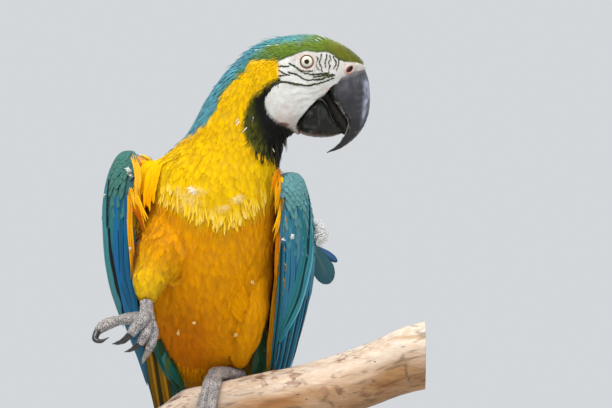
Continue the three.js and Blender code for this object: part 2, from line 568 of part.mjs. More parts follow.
const rodTop = rodTopZ - 2 * rodTopR + 12;
function rod(grow) {
  const g = new THREE.CylinderGeometry(ROD_R + grow, ROD_R + grow, rodTop - rodBottom + 2 * grow, 12);
  g.rotateX(Math.PI / 2);
  g.translate(ROD_X, 0, (rodTop + rodBottom) / 2);
  return solid(g);
}
function base() {
  const pts = [[0, 0], [BASE_R - 1.5, 0], [BASE_R, 1.5], [BASE_R, BASE_H - 4], [BASE_R - 4, BASE_H], [0, BASE_H]];
  const g = new THREE.LatheGeometry(pts.map(([r, z]) => new THREE.Vector2(r, z)), 28);
  g.rotateX(Math.PI / 2);
  g.translate(ROD_X, 0, -PERCH_TOP);
  return solid(g);
}
put('perch', branch().subtract(rod(GAP)), 'bark');
put('stand_rod', rod(0), 'stand');
put('stand_base', base().subtract(rod(GAP)), 'stand');

// ---------------------------------------------------------------- the scene graph
const macaw = new THREE.Group();
macaw.position.set(-ROD_X, 0, PERCH_TOP);
for (const [name, [s, material]] of Object.entries(parts)) {
  const m = s.getMesh(), n = m.numProp, v = new Float32Array(m.numVert * 3);
  for (let i = 0; i < m.numVert; i++) v.set(m.vertProperties.subarray(i * n, i * n + 3), i * 3);
  const g = new THREE.BufferGeometry();
  g.setAttribute('position', new THREE.BufferAttribute(v, 3));
  g.setIndex(new THREE.BufferAttribute(new Uint32Array(m.triVerts), 1));
  g.computeVertexNormals();
  const mesh = new THREE.Mesh(g, material);
  mesh.name = name;
  macaw.add(mesh);
}
export default macaw;
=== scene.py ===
# Blue-and-yellow macaw: skin, feathers, bill, eyes, feet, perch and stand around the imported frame.
# Tables and helpers are in millimetres in the bird's own frame (P0, the perch's top under the left
# foot, is the origin); ORIGIN carries them to the row frame.
import math
import bpy
import numpy as np
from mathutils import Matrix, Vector
from mathutils.bvhtree import BVHTree


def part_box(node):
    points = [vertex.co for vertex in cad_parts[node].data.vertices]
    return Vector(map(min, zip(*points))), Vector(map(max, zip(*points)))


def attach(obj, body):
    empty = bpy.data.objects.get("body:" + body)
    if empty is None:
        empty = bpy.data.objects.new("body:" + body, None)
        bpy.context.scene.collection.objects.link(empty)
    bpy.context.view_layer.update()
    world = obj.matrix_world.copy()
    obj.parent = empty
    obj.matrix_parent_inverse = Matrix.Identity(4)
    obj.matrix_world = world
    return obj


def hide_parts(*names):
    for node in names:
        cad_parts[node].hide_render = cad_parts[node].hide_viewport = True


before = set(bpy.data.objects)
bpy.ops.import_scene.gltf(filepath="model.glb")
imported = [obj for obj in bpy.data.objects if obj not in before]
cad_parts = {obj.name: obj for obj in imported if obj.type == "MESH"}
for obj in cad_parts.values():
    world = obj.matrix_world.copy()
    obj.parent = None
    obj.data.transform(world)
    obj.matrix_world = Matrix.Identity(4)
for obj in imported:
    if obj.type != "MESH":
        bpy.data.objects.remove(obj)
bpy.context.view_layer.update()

HEAD_Y = -12.0
EYE_X, EYE_Z, EYE_OUT, EYE_R = 77.4, 256.1, 16.6, 6.6
_lo, _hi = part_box("eye_right")
ORIGIN = np.array([(_lo[i] + _hi[i]) * 500 - (EYE_X, HEAD_Y - EYE_OUT, EYE_Z)[i] for i in range(3)])
rng = np.random.default_rng(20)

# ------------------------------------------------------------------ sizes
# trunk and neck: z, left x, right x, front y, back y
TRUNK = np.array([
    [-7, -14, -1, 43, 55], [1, -29, 14, 26, 63], [13, -37, 27, 8, 67], [30, -43, 37, -10, 66.5],
    [50, -48, 44, -26, 64], [75, -52, 50, -40, 59], [100, -54, 54, -50, 50], [122, -54, 55, -56, 42],
    [145, -54, 55, -58, 35], [160, -54, 54.5, -55, 30], [170, -54, 55.5, -51, 27], [176, -46, 56, -48, 25],
    [183, -34.5, 57.5, -45.5, 23.6], [191, -26, 60.5, -43, 22], [200, -18, 62.5, -41, 20.5],
    [212, -11, 62, -39, 18], [224, -5, 60, -37, 15], [236, 3, 58, -35, 11.5], [247, 11, 56, -32, 8],
    [257, 21, 53, -27, 3]], float)
# head: x, top z, bottom z, half width, bias of the width towards the cheeks
HEAD = np.array([
    [24, 259, 222, 15, 0.0], [32, 267, 208, 21.5, 0.04], [44, 273.6, 199, 25.2, 0.10], [56, 277, 196, 26.3, 0.15],
    [68, 278.7, 198, 25.8, 0.17], [80, 279.2, 203, 24.2, 0.17], [90, 277.6, 213, 21.8, 0.15],
    [98, 274.7, 226, 19.4, 0.10], [106, 271, 236, 17.4, 0.06], [114, 265.6, 242, 15.4, 0.03],
    [120, 260, 246, 12.6, 0.0], [124, 253.6, 249.4, 6.2, 0.0]], float)
# upper bill: culmen x z, cutting edge x z, half width
UPPER = np.array([
    [124.2, 250.5, 95.5, 240, 16.0], [126.9, 241, 95.6, 233.6, 16.0], [127.9, 231.5, 98.0, 226.0, 15.0],
    [127.7, 221.5, 102.0, 221.0, 13.6], [126.0, 212.3, 106.4, 214.4, 11.8], [122.6, 204.4, 110.0, 208.6, 9.8],
    [117.6, 197.6, 108.2, 200.8, 7.6], [111.2, 191.8, 104.6, 194.2, 5.2], [103.4, 187.0, 99.8, 188.8, 3.0],
    [93.6, 183.8, 93.2, 184.6, 0.9]], float)
# lower bill: upper edge x z, lower edge x z, half width
LOWER = np.array([
    [71.2, 212.0, 69.0, 203.2, 13.5], [77.3, 220.0, 72.6, 199.3, 17.6], [82.6, 226.0, 78.5, 197.3, 18.2],
    [87.6, 228.2, 85.5, 196.4, 17.4], [92.2, 225.0, 91.5, 196.2, 16.0], [95.4, 217.6, 97.0, 196.8, 14.2],
    [98.2, 210.4, 102.2, 198.2, 12.0], [102.4, 205.8, 105.8, 199.4, 9.4], [106.6, 203.6, 107.4, 200.8, 6.0]], float)
# wings, outward distance and y at each height: front edge, outer swell, rear edge, inner swell
WING_L = np.array([
    [170.5, 64, -20, 69, -13, 64, -4, 61, -12], [163, 59, -30, 75, -12, 60, 14, 57, -8],
    [148, 57, -38, 80, -8, 56, 32, 56, -2], [125, 57, -40, 84, -2, 47, 44, 56, 2],
    [98, 57, -34, 84, 10, 36, 54, 56, 10], [70, 56, -22, 80, 24, 26, 63, 55, 22],
    [40, 54, -4, 72, 38, 18, 71, 54, 36], [10, 51, 28, 62, 54, 12, 79, 51, 50],
    [-30, 44, 54, 50, 72, 8, 90, 44, 68], [-80, 36, 78, 38, 92, 8, 104, 34, 88],
    [-130, 26, 100, 27, 108, 10, 116, 25, 106], [-165, 18, 117, 17, 121, 12, 124, 16, 119]], float)
WING_R = np.array([
    [187.5, 64, -20, 68, -13, 63, -4, 60, -12], [180, 59, -30, 75, -12, 60, 14, 57, -8],
    [165, 57, -38, 82, -8, 56, 32, 55, -2], [140, 57, -40, 86, -2, 48, 44, 55, 2],
    [110, 58, -34, 85, 8, 38, 54, 56, 10], [80, 59, -22, 80, 22, 30, 63, 56, 22],
    [48, 56, -4, 69, 38, 24, 71, 54, 34], [15, 50, 28, 57, 52, 20, 79, 48, 48],
    [-20, 44, 52, 47, 68, 18, 88, 42, 64], [-75, 38, 76, 39, 88, 20, 103, 36, 86],
    [-125, 31, 98, 32, 106, 21, 115, 30, 104], [-158, 26, 114, 26, 118, 22, 122, 25, 116]], float)
# branch: x, top z, radius
BRANCH = np.array([
    [-78, -41, 21.0], [-40, -18.6, 22], [-29, -10.4, 22.4], [-18, -4.6, 22.6], [6, 0.6, 23], [27, 5.3, 23.4],
    [50, 10.2, 24], [68, 13.8, 24.4], [88, 19.2, 25], [110, 26.2, 25.6], [132, 34.4, 26.4], [152, 44.0, 27.4],
    [172, 49.5, 27.6]], float)
# side outlines of the head's markings, x and z: the bare face, the black bib, the lower edge of the
# green and blue above, the bill where it leaves the skin, and the rows of tiny dark feathers on the face
FACE = [(53.7, 257.1), (60.2, 259.8), (66.8, 262.2), (71.7, 264.3), (78.2, 265.4), (83.1, 264.4), (88.8, 264.9),
        (94.5, 264.7), (98.6, 262.2), (102.7, 259.2), (107.6, 256.9), (113.3, 256.6), (118.2, 256.3), (122.3, 254.5),
        (127, 252), (127, 244), (118, 238), (106, 232), (100, 222), (94, 214), (88, 208), (82, 203), (77, 199.5),
        (72.5, 197.5), (69, 198.5), (66.5, 201.5), (64.3, 203.7), (60.2, 205.5), (56.2, 207.0), (52.1, 209.6), (48.0, 213.7),
        (45.1, 217.7), (43.3, 223.5), (43.9, 228.4), (46.4, 232.4), (49.6, 236.5), (53.7, 239.4), (57.0, 240.9),
        (55.8, 244.7), (54.7, 249.6), (55.3, 253.7)]
ZONE = [(125.0, 250.8), (123.1, 248.9), (117.5, 244.9), (107.1, 240.9), (99.6, 238.2), (96.4, 235.8), (94, 232.4), (91.5, 230.4),
        (88.8, 228.9), (84.5, 224.9), (80.2, 220.5), (75.8, 215.3), (71.5, 210.1), (69.1, 205.3), (69.4, 202.8), (71.3, 200.9),
        (76.7, 197.8), (85.4, 196.0), (85, 180), (142, 180), (142, 256)]
BIB = [(58.0, 242.0), (52.5, 241.8), (47.2, 238.3), (41.5, 233.3), (34.9, 227.1), (31.3, 220.6), (27.8, 214.1),
       (27.2, 207.1), (28.8, 198.6), (31.7, 191.2), (36.2, 186.5), (43.1, 183.0), (49, 181), (55, 181.0), (60, 184.0),
       (66, 187), (76, 186), (90, 192), (90, 200), (76, 206), (70, 209.5), (65.1, 209), (60.2, 210), (53.7, 213),
       (49.8, 216.5), (47.0, 220.6), (45.6, 223.5), (46.1, 227.0), (48.6, 231.0), (51.9, 234.9), (55.9, 237.6),
       (60.0, 238.8)]
ZLINE = np.array([(-30, 193), (-18.6, 195.7), (-10.7, 200), (2.7, 212), (8, 226.7), (17.8, 238.2), (23.5, 244.7),
                  (29.6, 249.2), (31.7, 255.1), (34.9, 256.5), (40.7, 257.6), (53.7, 257.1), (60, 256), (130, 250)], float)
LINES = [
    [(85.1, 262.2), (86.4, 259.4), (85.1, 256.1), (86.0, 252.8), (87.6, 249.6)],
    [(89.2, 263.9), (88.8, 260.2), (87.6, 256.9), (88.8, 253.7), (89.6, 249.6), (92.1, 248.0)],
    [(92.9, 264.3), (93.3, 261.0), (92.1, 257.7), (92.5, 254.5), (91.9, 251.5)],
    [(95.8, 263.1), (96.6, 259.8), (94.9, 256.5), (95.8, 253.3), (94.9, 250.0), (96.2, 248.0)],
    [(98.6, 262.2), (99.8, 259.0), (101.1, 255.7), (99.4, 252.4), (98.2, 249.6)],
    [(102.7, 259.8), (103.1, 256.9), (102.7, 254.1), (101.5, 251.2), (100.7, 249.6)],
    [(56.2, 253.5), (60.2, 253.3), (64.3, 253.7)],
    [(64.3, 255.3), (68.4, 253.3), (72.5, 250.6), (77.4, 249.6), (83.1, 249.3)],
    [(70.0, 252.0), (74.9, 248.6), (81.5, 247.1), (88.0, 247.3), (92.9, 248.0), (96.2, 248.4)],
    [(56.2, 249.6), (60.2, 247.5), (64.7, 245.9)],
    [(64.3, 248.4), (68.4, 247.1), (73.3, 244.7), (77.4, 242.6), (83.1, 242.6), (89.6, 243.5), (93.7, 244.9), (99.4, 245.5)],
    [(55.8, 245.9), (60.2, 246.3)],
    [(52.1, 239.6), (57.0, 241.0), (63.5, 240.4), (70.0, 239.1), (77.4, 238.2), (83.9, 239.0), (89.6, 240.6), (94.5, 242.2), (99.4, 244.3)],
    [(83.9, 244.9), (89.6, 245.9), (94.5, 246.5), (100.2, 247.1)],
]
TAIL_LENGTH = 455.0


def srgb(r, g, b):
    c = np.array([r, g, b], float) / 255
    return np.where(c <= 0.04045, c / 12.92, ((c + 0.055) / 1.055) ** 2.4)


def smooth(x, a, b):
    t = np.clip((np.asarray(x, float) - a) / (b - a), 0, 1)
    return t * t * (3 - 2 * t)


def mix(a, b, t):
    return a + (b - a) * t


def unit(v):
    return v / np.maximum(np.linalg.norm(v, axis=-1, keepdims=True), 1e-9)


def power(v, e):
    return np.sign(v) * np.abs(v) ** e


def through(rows, s):
    """A smooth curve through the rows of a table, s from 0 to rows - 1."""
    s = np.atleast_1d(np.asarray(s, float))
    n = len(rows) - 1
    i = np.clip(np.floor(s).astype(int), 0, n - 1)
    f = np.clip(s - i, 0, 1)[:, None]
    b, c = rows[i], rows[i + 1]
    p0 = np.where((i > 0)[:, None], rows[np.maximum(i - 1, 0)], 2 * b - c)
    p3 = np.where((i + 2 <= n)[:, None], rows[np.minimum(i + 2, n)], 2 * c - b)
    return 0.5 * (2 * b + (c - p0) * f + (2 * p0 - 5 * b + 4 * c - p3) * f * f + (3 * b - p0 - 3 * c + p3) * f ** 3)


_at = {}


def at(rows, x):
    """The row of a table at values of its first column."""
    k = id(rows)
    if k not in _at:
        s = np.linspace(0, len(rows) - 1, 60 * (len(rows) - 1) + 1)
        v = through(rows, s)[:, 0]
        o = np.argsort(v)
        _at[k] = (v[o], s[o])
    v, s = _at[k]
    return through(rows, np.interp(np.atleast_1d(x), v, s))


def noise1(x, seed, scale=1.0):
    """Smooth one-dimensional noise from -1 to 1."""
    x = np.asarray(x, float) / scale
    r = np.random.default_rng(seed).uniform(-1, 1, 512)
    i = np.floor(x).astype(int)
    f = x - i
    f = f * f * (3 - 2 * f)
    return r[i % 512] * (1 - f) + r[(i + 1) % 512] * f


def noise3(p, seed, scale):
    """Smooth three-dimensional noise from -1 to 1."""
    q = np.asarray(p, float) / scale
    i = np.floor(q).astype(int)
    f = q - i
    f = f * f * (3 - 2 * f)
    tab = np.random.default_rng(seed).uniform(-1, 1, 4096)

    def h(a, b, c):
        return tab[(a * 1619 + b * 31337 + c * 6971 + 1013 * seed) % 4096]
    out = 0
    for dx in (0, 1):
        for dy in (0, 1):
            for dz in (0, 1):
                w = (f[..., 0] if dx else 1 - f[..., 0]) * (f[..., 1] if dy else 1 - f[..., 1]) * (f[..., 2] if dz else 1 - f[..., 2])
                out = out + w * h(i[..., 0] + dx, i[..., 1] + dy, i[..., 2] + dz)
    return out


def sd_poly(poly, x, z):
    """Signed distance to a closed outline, negative inside."""
    p = np.array(poly, float)
    q = np.roll(p, -1, 0)
    best = np.full(x.shape, 1e9)
    inside = np.zeros(x.shape, bool)
    for (ax, az), (bx, bz) in zip(p, q):
        ex, ez = bx - ax, bz - az
        t = np.clip(((x - ax) * ex + (z - az) * ez) / (ex * ex + ez * ez + 1e-12), 0, 1)
        best = np.minimum(best, np.hypot(x - ax - t * ex, z - az - t * ez))
        cross = ((az > z) != (bz > z)) & (x < ax + (z - az) * ex / (ez if abs(ez) > 1e-9 else 1e-9))
        inside ^= cross
    return np.where(inside, -best, best)


# ------------------------------------------------------------------ meshes
COLL = bpy.context.scene.collection


def make_mesh(name, V, F, mats, col=None, uvs=None, flat=False, mat_index=None, normals=None):
    """A mesh object from vertices in mm and a list of face arrays (triangles or quads)."""
    V = np.asarray(V, float).reshape(-1, 3)
    F = [np.asarray(f, np.int32) for f in F if len(f)]
    L = np.concatenate([f.ravel() for f in F])
    T = np.concatenate([np.full(len(f), f.shape[1]) for f in F])
    me = bpy.data.meshes.new(name)
    me.vertices.add(len(V))
    me.vertices.foreach_set("co", ((V + ORIGIN) * 0.001).astype(np.float32).ravel())
    me.loops.add(len(L))
    me.loops.foreach_set("vertex_index", L)
    me.polygons.add(len(T))
    me.polygons.foreach_set("loop_start", np.concatenate([[0], np.cumsum(T)[:-1]]).astype(np.int32))
    me.polygons.foreach_set("use_smooth", np.full(len(T), not flat))
    if mat_index is not None:
        me.polygons.foreach_set("material_index", np.asarray(mat_index, np.int32))
    for k, a in (uvs or {}).items():
        lay = me.uv_layers.new(name=k)
        lay.data.foreach_set("uv", np.asarray(a, np.float32)[L].ravel())
    if col is not None:
        ca = me.color_attributes.new("Col", "FLOAT_COLOR", "POINT")
        c4 = np.ones((len(V), 4), np.float32)
        c4[:, :3] = col
        ca.data.foreach_set("color", c4.ravel())
    me.update(calc_edges=True)
    me.validate()
    if normals is not None and len(me.vertices) == len(normals):
        me.normals_split_custom_set_from_vertices(np.asarray(normals, np.float32))
    ob = bpy.data.objects.new(name, me)
    COLL.objects.link(ob)
    for m in (mats if isinstance(mats, (list, tuple)) else [mats]):
        me.materials.append(m)
    return ob


def grid_faces(n, m, wrap=False, base=0):
    """Quads over n rows of m columns."""
    j = np.arange(m if wrap else m - 1)
    i = np.arange(n - 1)
    I, J = np.meshgrid(i, j, indexing="ij")
    a = I * m + J
    b = I * m + (J + 1) % m
    return (np.stack([a, b, b + m, a + m], -1).reshape(-1, 4) + base)


def loft(P, cap=True):
    """Vertices and faces of a closed skin over rings (n, m, 3)."""
    n, m = P.shape[:2]
    V = P.reshape(-1, 3)
    quads = grid_faces(n, m, wrap=True)
    if not cap:
        return V, [quads]
    V = np.vstack([V, P[0].mean(0), P[-1].mean(0)])
    j = np.arange(m)
    tris = np.concatenate([
        np.stack([np.full(m, n * m), (j + 1) % m, j], -1),
        np.stack([np.full(m, n * m + 1), (n - 1) * m + j, (n - 1) * m + (j + 1) % m], -1)])
    return V, [quads, tris]


def signed_volume(V, F):
    v = 0.0
    for f in F:
        for k in range(1, f.shape[1] - 1):
            v += np.einsum("ij,ij->i", V[f[:, 0]], np.cross(V[f[:, k]], V[f[:, k + 1]])).sum()
    return v / 6


def outward(V, F):
    return (V, F) if signed_volume(V, F) > 0 else (V, [f[:, ::-1] for f in F])


def merge(*parts):
    """Joins (V, F) pairs."""
    VV, FF, base = [], [], 0
    for V, F in parts:
        VV.append(V)
        FF += [f + base for f in F]
        base += len(V)
    quads = [f for f in FF if f.shape[1] == 4]
    tris = [f for f in FF if f.shape[1] == 3]
    out = []
    if quads:
        out.append(np.concatenate(quads))
    if tris:
        out.append(np.concatenate(tris))
    return np.vstack(VV), out


def catmull(points, n, closed=False):
    """n points along a smooth curve through points, and its tangents."""
    P = np.array(points, float)
    s = np.linspace(0, len(P) - 1, n)
    C = through(P, s)
    D = through(P, np.minimum(s + 0.02, len(P) - 1)) - through(P, np.maximum(s - 0.02, 0))
    return C, unit(D)


def frames_along(C, T, up=None):
    """Side and up vectors carried along a curve."""
    u = np.array([0, 0, 1.0]) if abs(T[0][2]) < 0.8 else np.array([0, 1.0, 0])
    if up is not None:
        u = np.array(up, float)
    S, U = [], []
    for t in T:
        s = unit(np.cross(t, u))
        u = unit(np.cross(s, t))
        S.append(s)
        U.append(u)
    return np.array(S), np.array(U)


def limb(points, radii, sides, n, flat=1.0, grow=0.0):
    """Rings of a round-sectioned limb."""
    C, T = catmull(points, n)
    s = np.linspace(0, len(points) - 1, n)
    k = np.minimum(s.astype(int), len(points) - 2)
    f = s - k
    f = f * f * (3 - 2 * f)
    r = np.array(radii, float)
    r = r[k] * (1 - f) + r[k + 1] * f + grow
    S, U = frames_along(C, T)
    C = C.copy()
    C[0] -= T[0] * grow
    C[-1] += T[-1] * grow
    a = np.arange(sides) / sides * 2 * np.pi
    return C[:, None] + r[:, None, None] * (S[:, None] * np.cos(a)[None, :, None] + flat * U[:, None] * np.sin(a)[None, :, None])


# ------------------------------------------------------------------ analytic surfaces of the solids
def trunk_rings(s, t, grow=0.0):
    """Points of the trunk and neck: s over the table's rows, t round, broadcast together."""
    s, t = np.broadcast_arrays(np.asarray(s, float), np.asarray(t, float))
    r = through(TRUNK, s.ravel())
    z, xl, xr, yf, yb = (r[:, k].reshape(s.shape) for k in range(5))
    a, b = (xr - xl) / 2 + grow, (yb - yf) / 2 + grow
    return np.stack([(xl + xr) / 2 + a * power(np.cos(t), 0.92), (yf + yb) / 2 + b * power(np.sin(t), 0.92), z], -1)


def head_rings(s, t, grow=0.0):
    s, t, grow = np.broadcast_arrays(np.asarray(s, float), np.asarray(t, float), np.asarray(grow, float))
    r = through(HEAD, s.ravel())
    x, zt, zb, w, bias = (r[:, k].reshape(s.shape) for k in range(5))
    h = (zt - zb) / 2 + grow
    e = 0.83 - 0.09 * np.cos(t)
    y = HEAD_Y + (w + grow) * power(np.sin(t), e) * (1 - 0.6 * bias * np.cos(t))
    return np.stack([x, y, (zt + zb) / 2 + h * np.cos(t)], -1)


def side_view(P):
    """Places of points in the side view that the head's outlines are drawn in, from 4 m away."""
    y = HEAD_Y - np.abs(P[..., 1] - HEAD_Y)
    k = 4000 / (4000 + y)
    return 76.8 + (P[..., 0] - 76.8) * k, 143.2 + (P[..., 2] - 143.2) * k


def make_way(P, grow, reach, inset):
    """Draws the head in where the bill leaves it, so that the horn shows."""
    zone = sd_poly(ZONE, *side_view(P))
    x = P[..., 0]
    r = at(HEAD, np.clip(x.ravel(), HEAD[0, 0], HEAD[-1, 0]))
    cap = np.minimum(r[:, 3], (r[:, 1] - r[:, 2]) / 2).reshape(x.shape)
    return np.maximum(grow - 12.5 * smooth(zone, inset + reach, inset), np.minimum(grow, -0.72 * cap))


def head_shell(n, m, grow):
    """The head with rounded ends, as rings."""
    s = np.linspace(0, len(HEAD) - 1, n)
    t = np.arange(m) / m * 2 * np.pi
    g = make_way(head_rings(s[:, None], t[None], grow), np.full((n, m), float(grow)), 2.2, 0.6)
    return head_rings(s[:, None], t[None], g)


def wing_point(T, sign, u, v):
    u, v = np.broadcast_arrays(np.asarray(u, float), np.asarray(v, float))
    r = through(T, v.ravel())
    z, fx, fy, mx, my, rx, ry = (r[:, k].reshape(u.shape) for k in range(7))
    cx, cy = 2 * mx - (fx + rx) / 2, 2 * my - (fy + ry) / 2
    a, b, c = (1 - u) ** 2, 2 * u * (1 - u), u * u
    return np.stack([sign * (a * fx + b * cx + c * rx), a * fy + b * cy + c * ry, z], -1)


def wing_inner(T, sign, u, v):
    u, v = np.broadcast_arrays(np.asarray(u, float), np.asarray(v, float))
    r = through(T, v.ravel())
    z, fx, fy, _, _, rx, ry, ix, iy = (r[:, k].reshape(u.shape) for k in range(9))
    e = 0.6 + 3.2 * np.maximum(0, 1 - v / 6)
    fx, fy, rx, ry = fx - e, fy + e * 0.6, rx - e * 0.5, ry - e * 0.8
    cx, cy = 2 * ix - (fx + rx) / 2, 2 * iy - (fy + ry) / 2
    a, b, c = (1 - u) ** 2, 2 * u * (1 - u), u * u
    return np.stack([sign * (a * fx + b * cx + c * rx), a * fy + b * cy + c * ry, z], -1)


def rear_of(P):
    """How far back the rear edge of the wing lies at the height of each point."""
    L_, R_ = WING_L[::-1], WING_R[::-1]
    return np.where(P[:, 0] > 0, np.interp(P[:, 2], L_[:, 0], L_[:, 6]), np.interp(P[:, 2], R_[:, 0], R_[:, 6]))


def wing_normal(T, sign, u, v):
    e = 0.02
    du = wing_point(T, sign, u + e, v) - wing_point(T, sign, u - e, v)
    dv = wing_point(T, sign, u, v + e) - wing_point(T, sign, u, v - e)
    n = unit(np.cross(du, dv))
    flip = np.where(n[..., 0] * sign < 0, -1.0, 1.0)
    return n * flip[..., None], np.linalg.norm(du, axis=-1) / (2 * e), np.linalg.norm(dv, axis=-1) / (2 * e)


def wing_shell(T, sign, end, grow):
    v = np.linspace(0, end, 26)
    u = np.linspace(0, 1, 15)
    a = wing_point(T, sign, u[None], v[:, None])
    b = wing_inner(T, sign, u[::-1][None], v[:, None])
    R = np.concatenate([a, b], 1)
    c = R.mean(1, keepdims=True)
    d = R - c
    d[..., 2] = 0
    return R + unit(d) * grow


def blob(c, r, n=16, m=20):
    p = np.linspace(0.04, np.pi - 0.04, n)
    q = np.arange(m) / m * 2 * np.pi
    P = np.stack([np.sin(p)[:, None] * np.cos(q), np.sin(p)[:, None] * np.sin(q), np.cos(p)[:, None] * np.ones(m)], -1)
    return np.array(c) + P * np.array(r)


THIGH_L = ([[27, -6, 88], [30.5, -10, 62], [30, -5, 40], [25, 6, 25], [22.5, 14.5, 13]], [25, 18, 12.8, 10.3, 7.0])
THIGH_R = ([[-29, -16, 122], [-39, -38, 102], [-46.5, -54, 83], [-48.6, -62, 66]], [29, 22, 14.5, 8.2])
COAT = dict(trunk=2.4, neck=1.9, thigh=2.0, wing=2.0)

t64 = np.arange(72) / 72 * 2 * np.pi
s_tr = np.linspace(0, len(TRUNK) - 1, 90)
z_tr = through(TRUNK, s_tr)[:, 0]
depth = COAT["trunk"] + (COAT["neck"] - COAT["trunk"]) * smooth(z_tr, 150, 215)
trunk_core = np.stack([trunk_rings(np.full(72, s), t64, -d) for s, d in zip(s_tr, depth)])
trunk_core = trunk_core[2:]
PARTS = {
    "trunk": trunk_core,
    "head": head_shell(60, 64, -1.6),
    "thigh_left": limb(*THIGH_L, 40, 26, grow=-COAT["thigh"]),
    "thigh_right": limb(*THIGH_R, 40, 26, grow=-COAT["thigh"]),
    "wing_left": wing_shell(WING_L, 1, 6.05, -COAT["wing"])[1:],
    "wing_right": wing_shell(WING_R, -1, 6.05, -COAT["wing"])[1:],
    "shoulder_left": blob((55, -6, 152), (13, 21, 15)),
    "shoulder_right": blob((-54, -6, 163), (12, 21, 19)),
}


def voxel_union(parts, size, passes):
    """One closed skin over several closed shells."""
    V, F = merge(*[outward(*loft(P)) for P in parts])
    ob = make_mesh("tmp_union", V, F, [])
    ob.data.remesh_voxel_size = size * 0.001
    md = ob.modifiers.new("r", "REMESH")
    md.mode = "VOXEL"
    md.voxel_size = size * 0.001
    md.adaptivity = 0
    sm = ob.modifiers.new("s", "SMOOTH")
    sm.iterations = passes
    sm.factor = 0.5
    dg = bpy.context.evaluated_depsgraph_get()
    me = ob.evaluated_get(dg).to_mesh()
    W = np.empty(len(me.vertices) * 3, np.float32)
    me.vertices.foreach_get("co", W)
    L = np.empty(len(me.loops), np.int32)
    me.loops.foreach_get("vertex_index", L)
    n = np.empty(len(me.polygons), np.int32)
    me.polygons.foreach_get("loop_total", n)
    s = np.empty(len(me.polygons), np.int32)
    me.polygons.foreach_get("loop_start", s)
    ob.evaluated_get(dg).to_mesh_clear()
    out = [np.stack([L[s[n == k] + j] for j in range(k)], -1) for k in (3, 4) if (n == k).any()]
    bpy.data.objects.remove(ob, do_unlink=True)
    return W.reshape(-1, 3).astype(float) * 1000 - ORIGIN, out


CORE_V, CORE_F = voxel_union(list(PARTS.values()), 1.8, 6)


def triangles(F):
    out = []
    for f in F:
        out.append(f[:, :3] if f.shape[1] == 3 else np.concatenate([f[:, [0, 1, 2]], f[:, [0, 2, 3]]]))
    return np.concatenate(out)


CORE_T = triangles(CORE_F)
CORE = BVHTree.FromPolygons([Vector(v) for v in CORE_V], CORE_T.tolist())


def surface_of(P):
    """Nearest skin points and their normals."""
    Q, N = np.empty_like(P), np.empty_like(P)
    near = CORE.find_nearest
    for i, p in enumerate(P):
        q, n, _, _ = near(p)
        Q[i] = q
        N[i] = n
    return Q, N


def label_tree():
    from mathutils.kdtree import KDTree
    names, pts = [], []
    for k, P in PARTS.items():
        q = P.reshape(-1, 3)
        pts.append(q)
        names += [k] * len(q)
    pts = np.vstack(pts)
    kd = KDTree(len(pts))
    for i, p in enumerate(pts):
        kd.insert(p, i)
    kd.balance()
    return kd, names


KD, KD_NAMES = label_tree()


def labels_of(P):
    return np.array([KD_NAMES[KD.find(p)[1]] for p in P])


# ------------------------------------------------------------------ markings
# colours; belly carries painted shade, flank is painted shade, gap a painted shadow, and sheen is partly a painted
# highlight over the crown's own blue
C = dict(
    crown=srgb(128, 156, 46), sheen=srgb(112, 178, 190), edge=srgb(74, 104, 34), forehead=srgb(124, 124, 26),
    nape=srgb(64, 122, 88), hind=srgb(82, 152, 172), mantle=srgb(44, 106, 136), blue=srgb(34, 112, 152), deep=srgb(16, 58, 84),
    teal=srgb(72, 128, 134), pale=srgb(112, 164, 172), violet=srgb(58, 84, 158), neck=srgb(255, 194, 0), breast=srgb(255, 196, 4),
    mid=srgb(255, 162, 0), belly=srgb(228, 124, 0), thigh=srgb(255, 196, 20), face=srgb(206, 208, 204), pink=srgb(196, 166, 152),
    tip=srgb(255, 230, 128), bib=srgb(15, 16, 11), bibedge=srgb(88, 90, 14), gold=srgb(214, 148, 14), olive=srgb(128, 112, 24),
    flank=srgb(232, 122, 0), gap=srgb(128, 42, 4), vent=srgb(34, 96, 84), down=srgb(232, 226, 216), brown=srgb(86, 40, 6), orange=srgb(232, 132, 8), rust=srgb(196, 96, 4))
ROUND = np.array([
    (-30, 30, 150), (150, 30, 150), (170, 33, 148), (180, 42, 152), (190, 55, 178), (200, 70, 206), (212, 85, 220),
    (225, 100, 230), (240, 118, 241), (255, 120, 246), (300, 120, 246)], float)


def round_angle(P):
    """Angle about the trunk's axis, in degrees, and the mean radius there."""
    z = np.clip(P[:, 2], TRUNK[0, 0], TRUNK[-1, 0])
    r = at(TRUNK, z)
    a, b = (r[:, 2] - r[:, 1]) / 2, (r[:, 4] - r[:, 3]) / 2
    x, y = (P[:, 0] - (r[:, 1] + r[:, 2]) / 2) / a, (P[:, 1] - (r[:, 3] + r[:, 4]) / 2) / b
    phi = np.degrees(np.arctan2(y, x)) % 360
    return phi, (a + b) / 2


def dorsal(P):
    """Millimetres inside the blue and green upper side; negative in the yellow."""
    x, y, z = P.T
    phi, rad = round_angle(P)
    lo, hi = np.interp(z, ROUND[:, 0], ROUND[:, 1]), np.interp(z, ROUND[:, 0], ROUND[:, 2])
    dp = np.minimum(phi - lo, hi - phi) * rad * np.pi / 180
    dl = (z - np.interp(x, ZLINE[:, 0], ZLINE[:, 1])) * 0.8
    near = smooth(HEAD_Y - y, -4, 4) * smooth(z, 186, 194)
    far = (1 - smooth(HEAD_Y - y, -4, 4)) * smooth(z, 214, 246)
    w = np.clip(near + far, 0, 1)
    return dl * w + dp * (1 - w)


def fringe(x):
    """Height at which the loose feathers of the breast end over the belly."""
    return np.interp(x, [-56, -40, -29, -19, -8.7, 5.6, 13, 25.6, 41, 56], [152, 145, 138, 132, 127, 122, 121, 128, 136, 148])


def flank_left(z):
    return np.interp(z, [60, 97, 124, 136, 148, 160], [-62, -58, -50.9, -47.6, -45.6, -58])


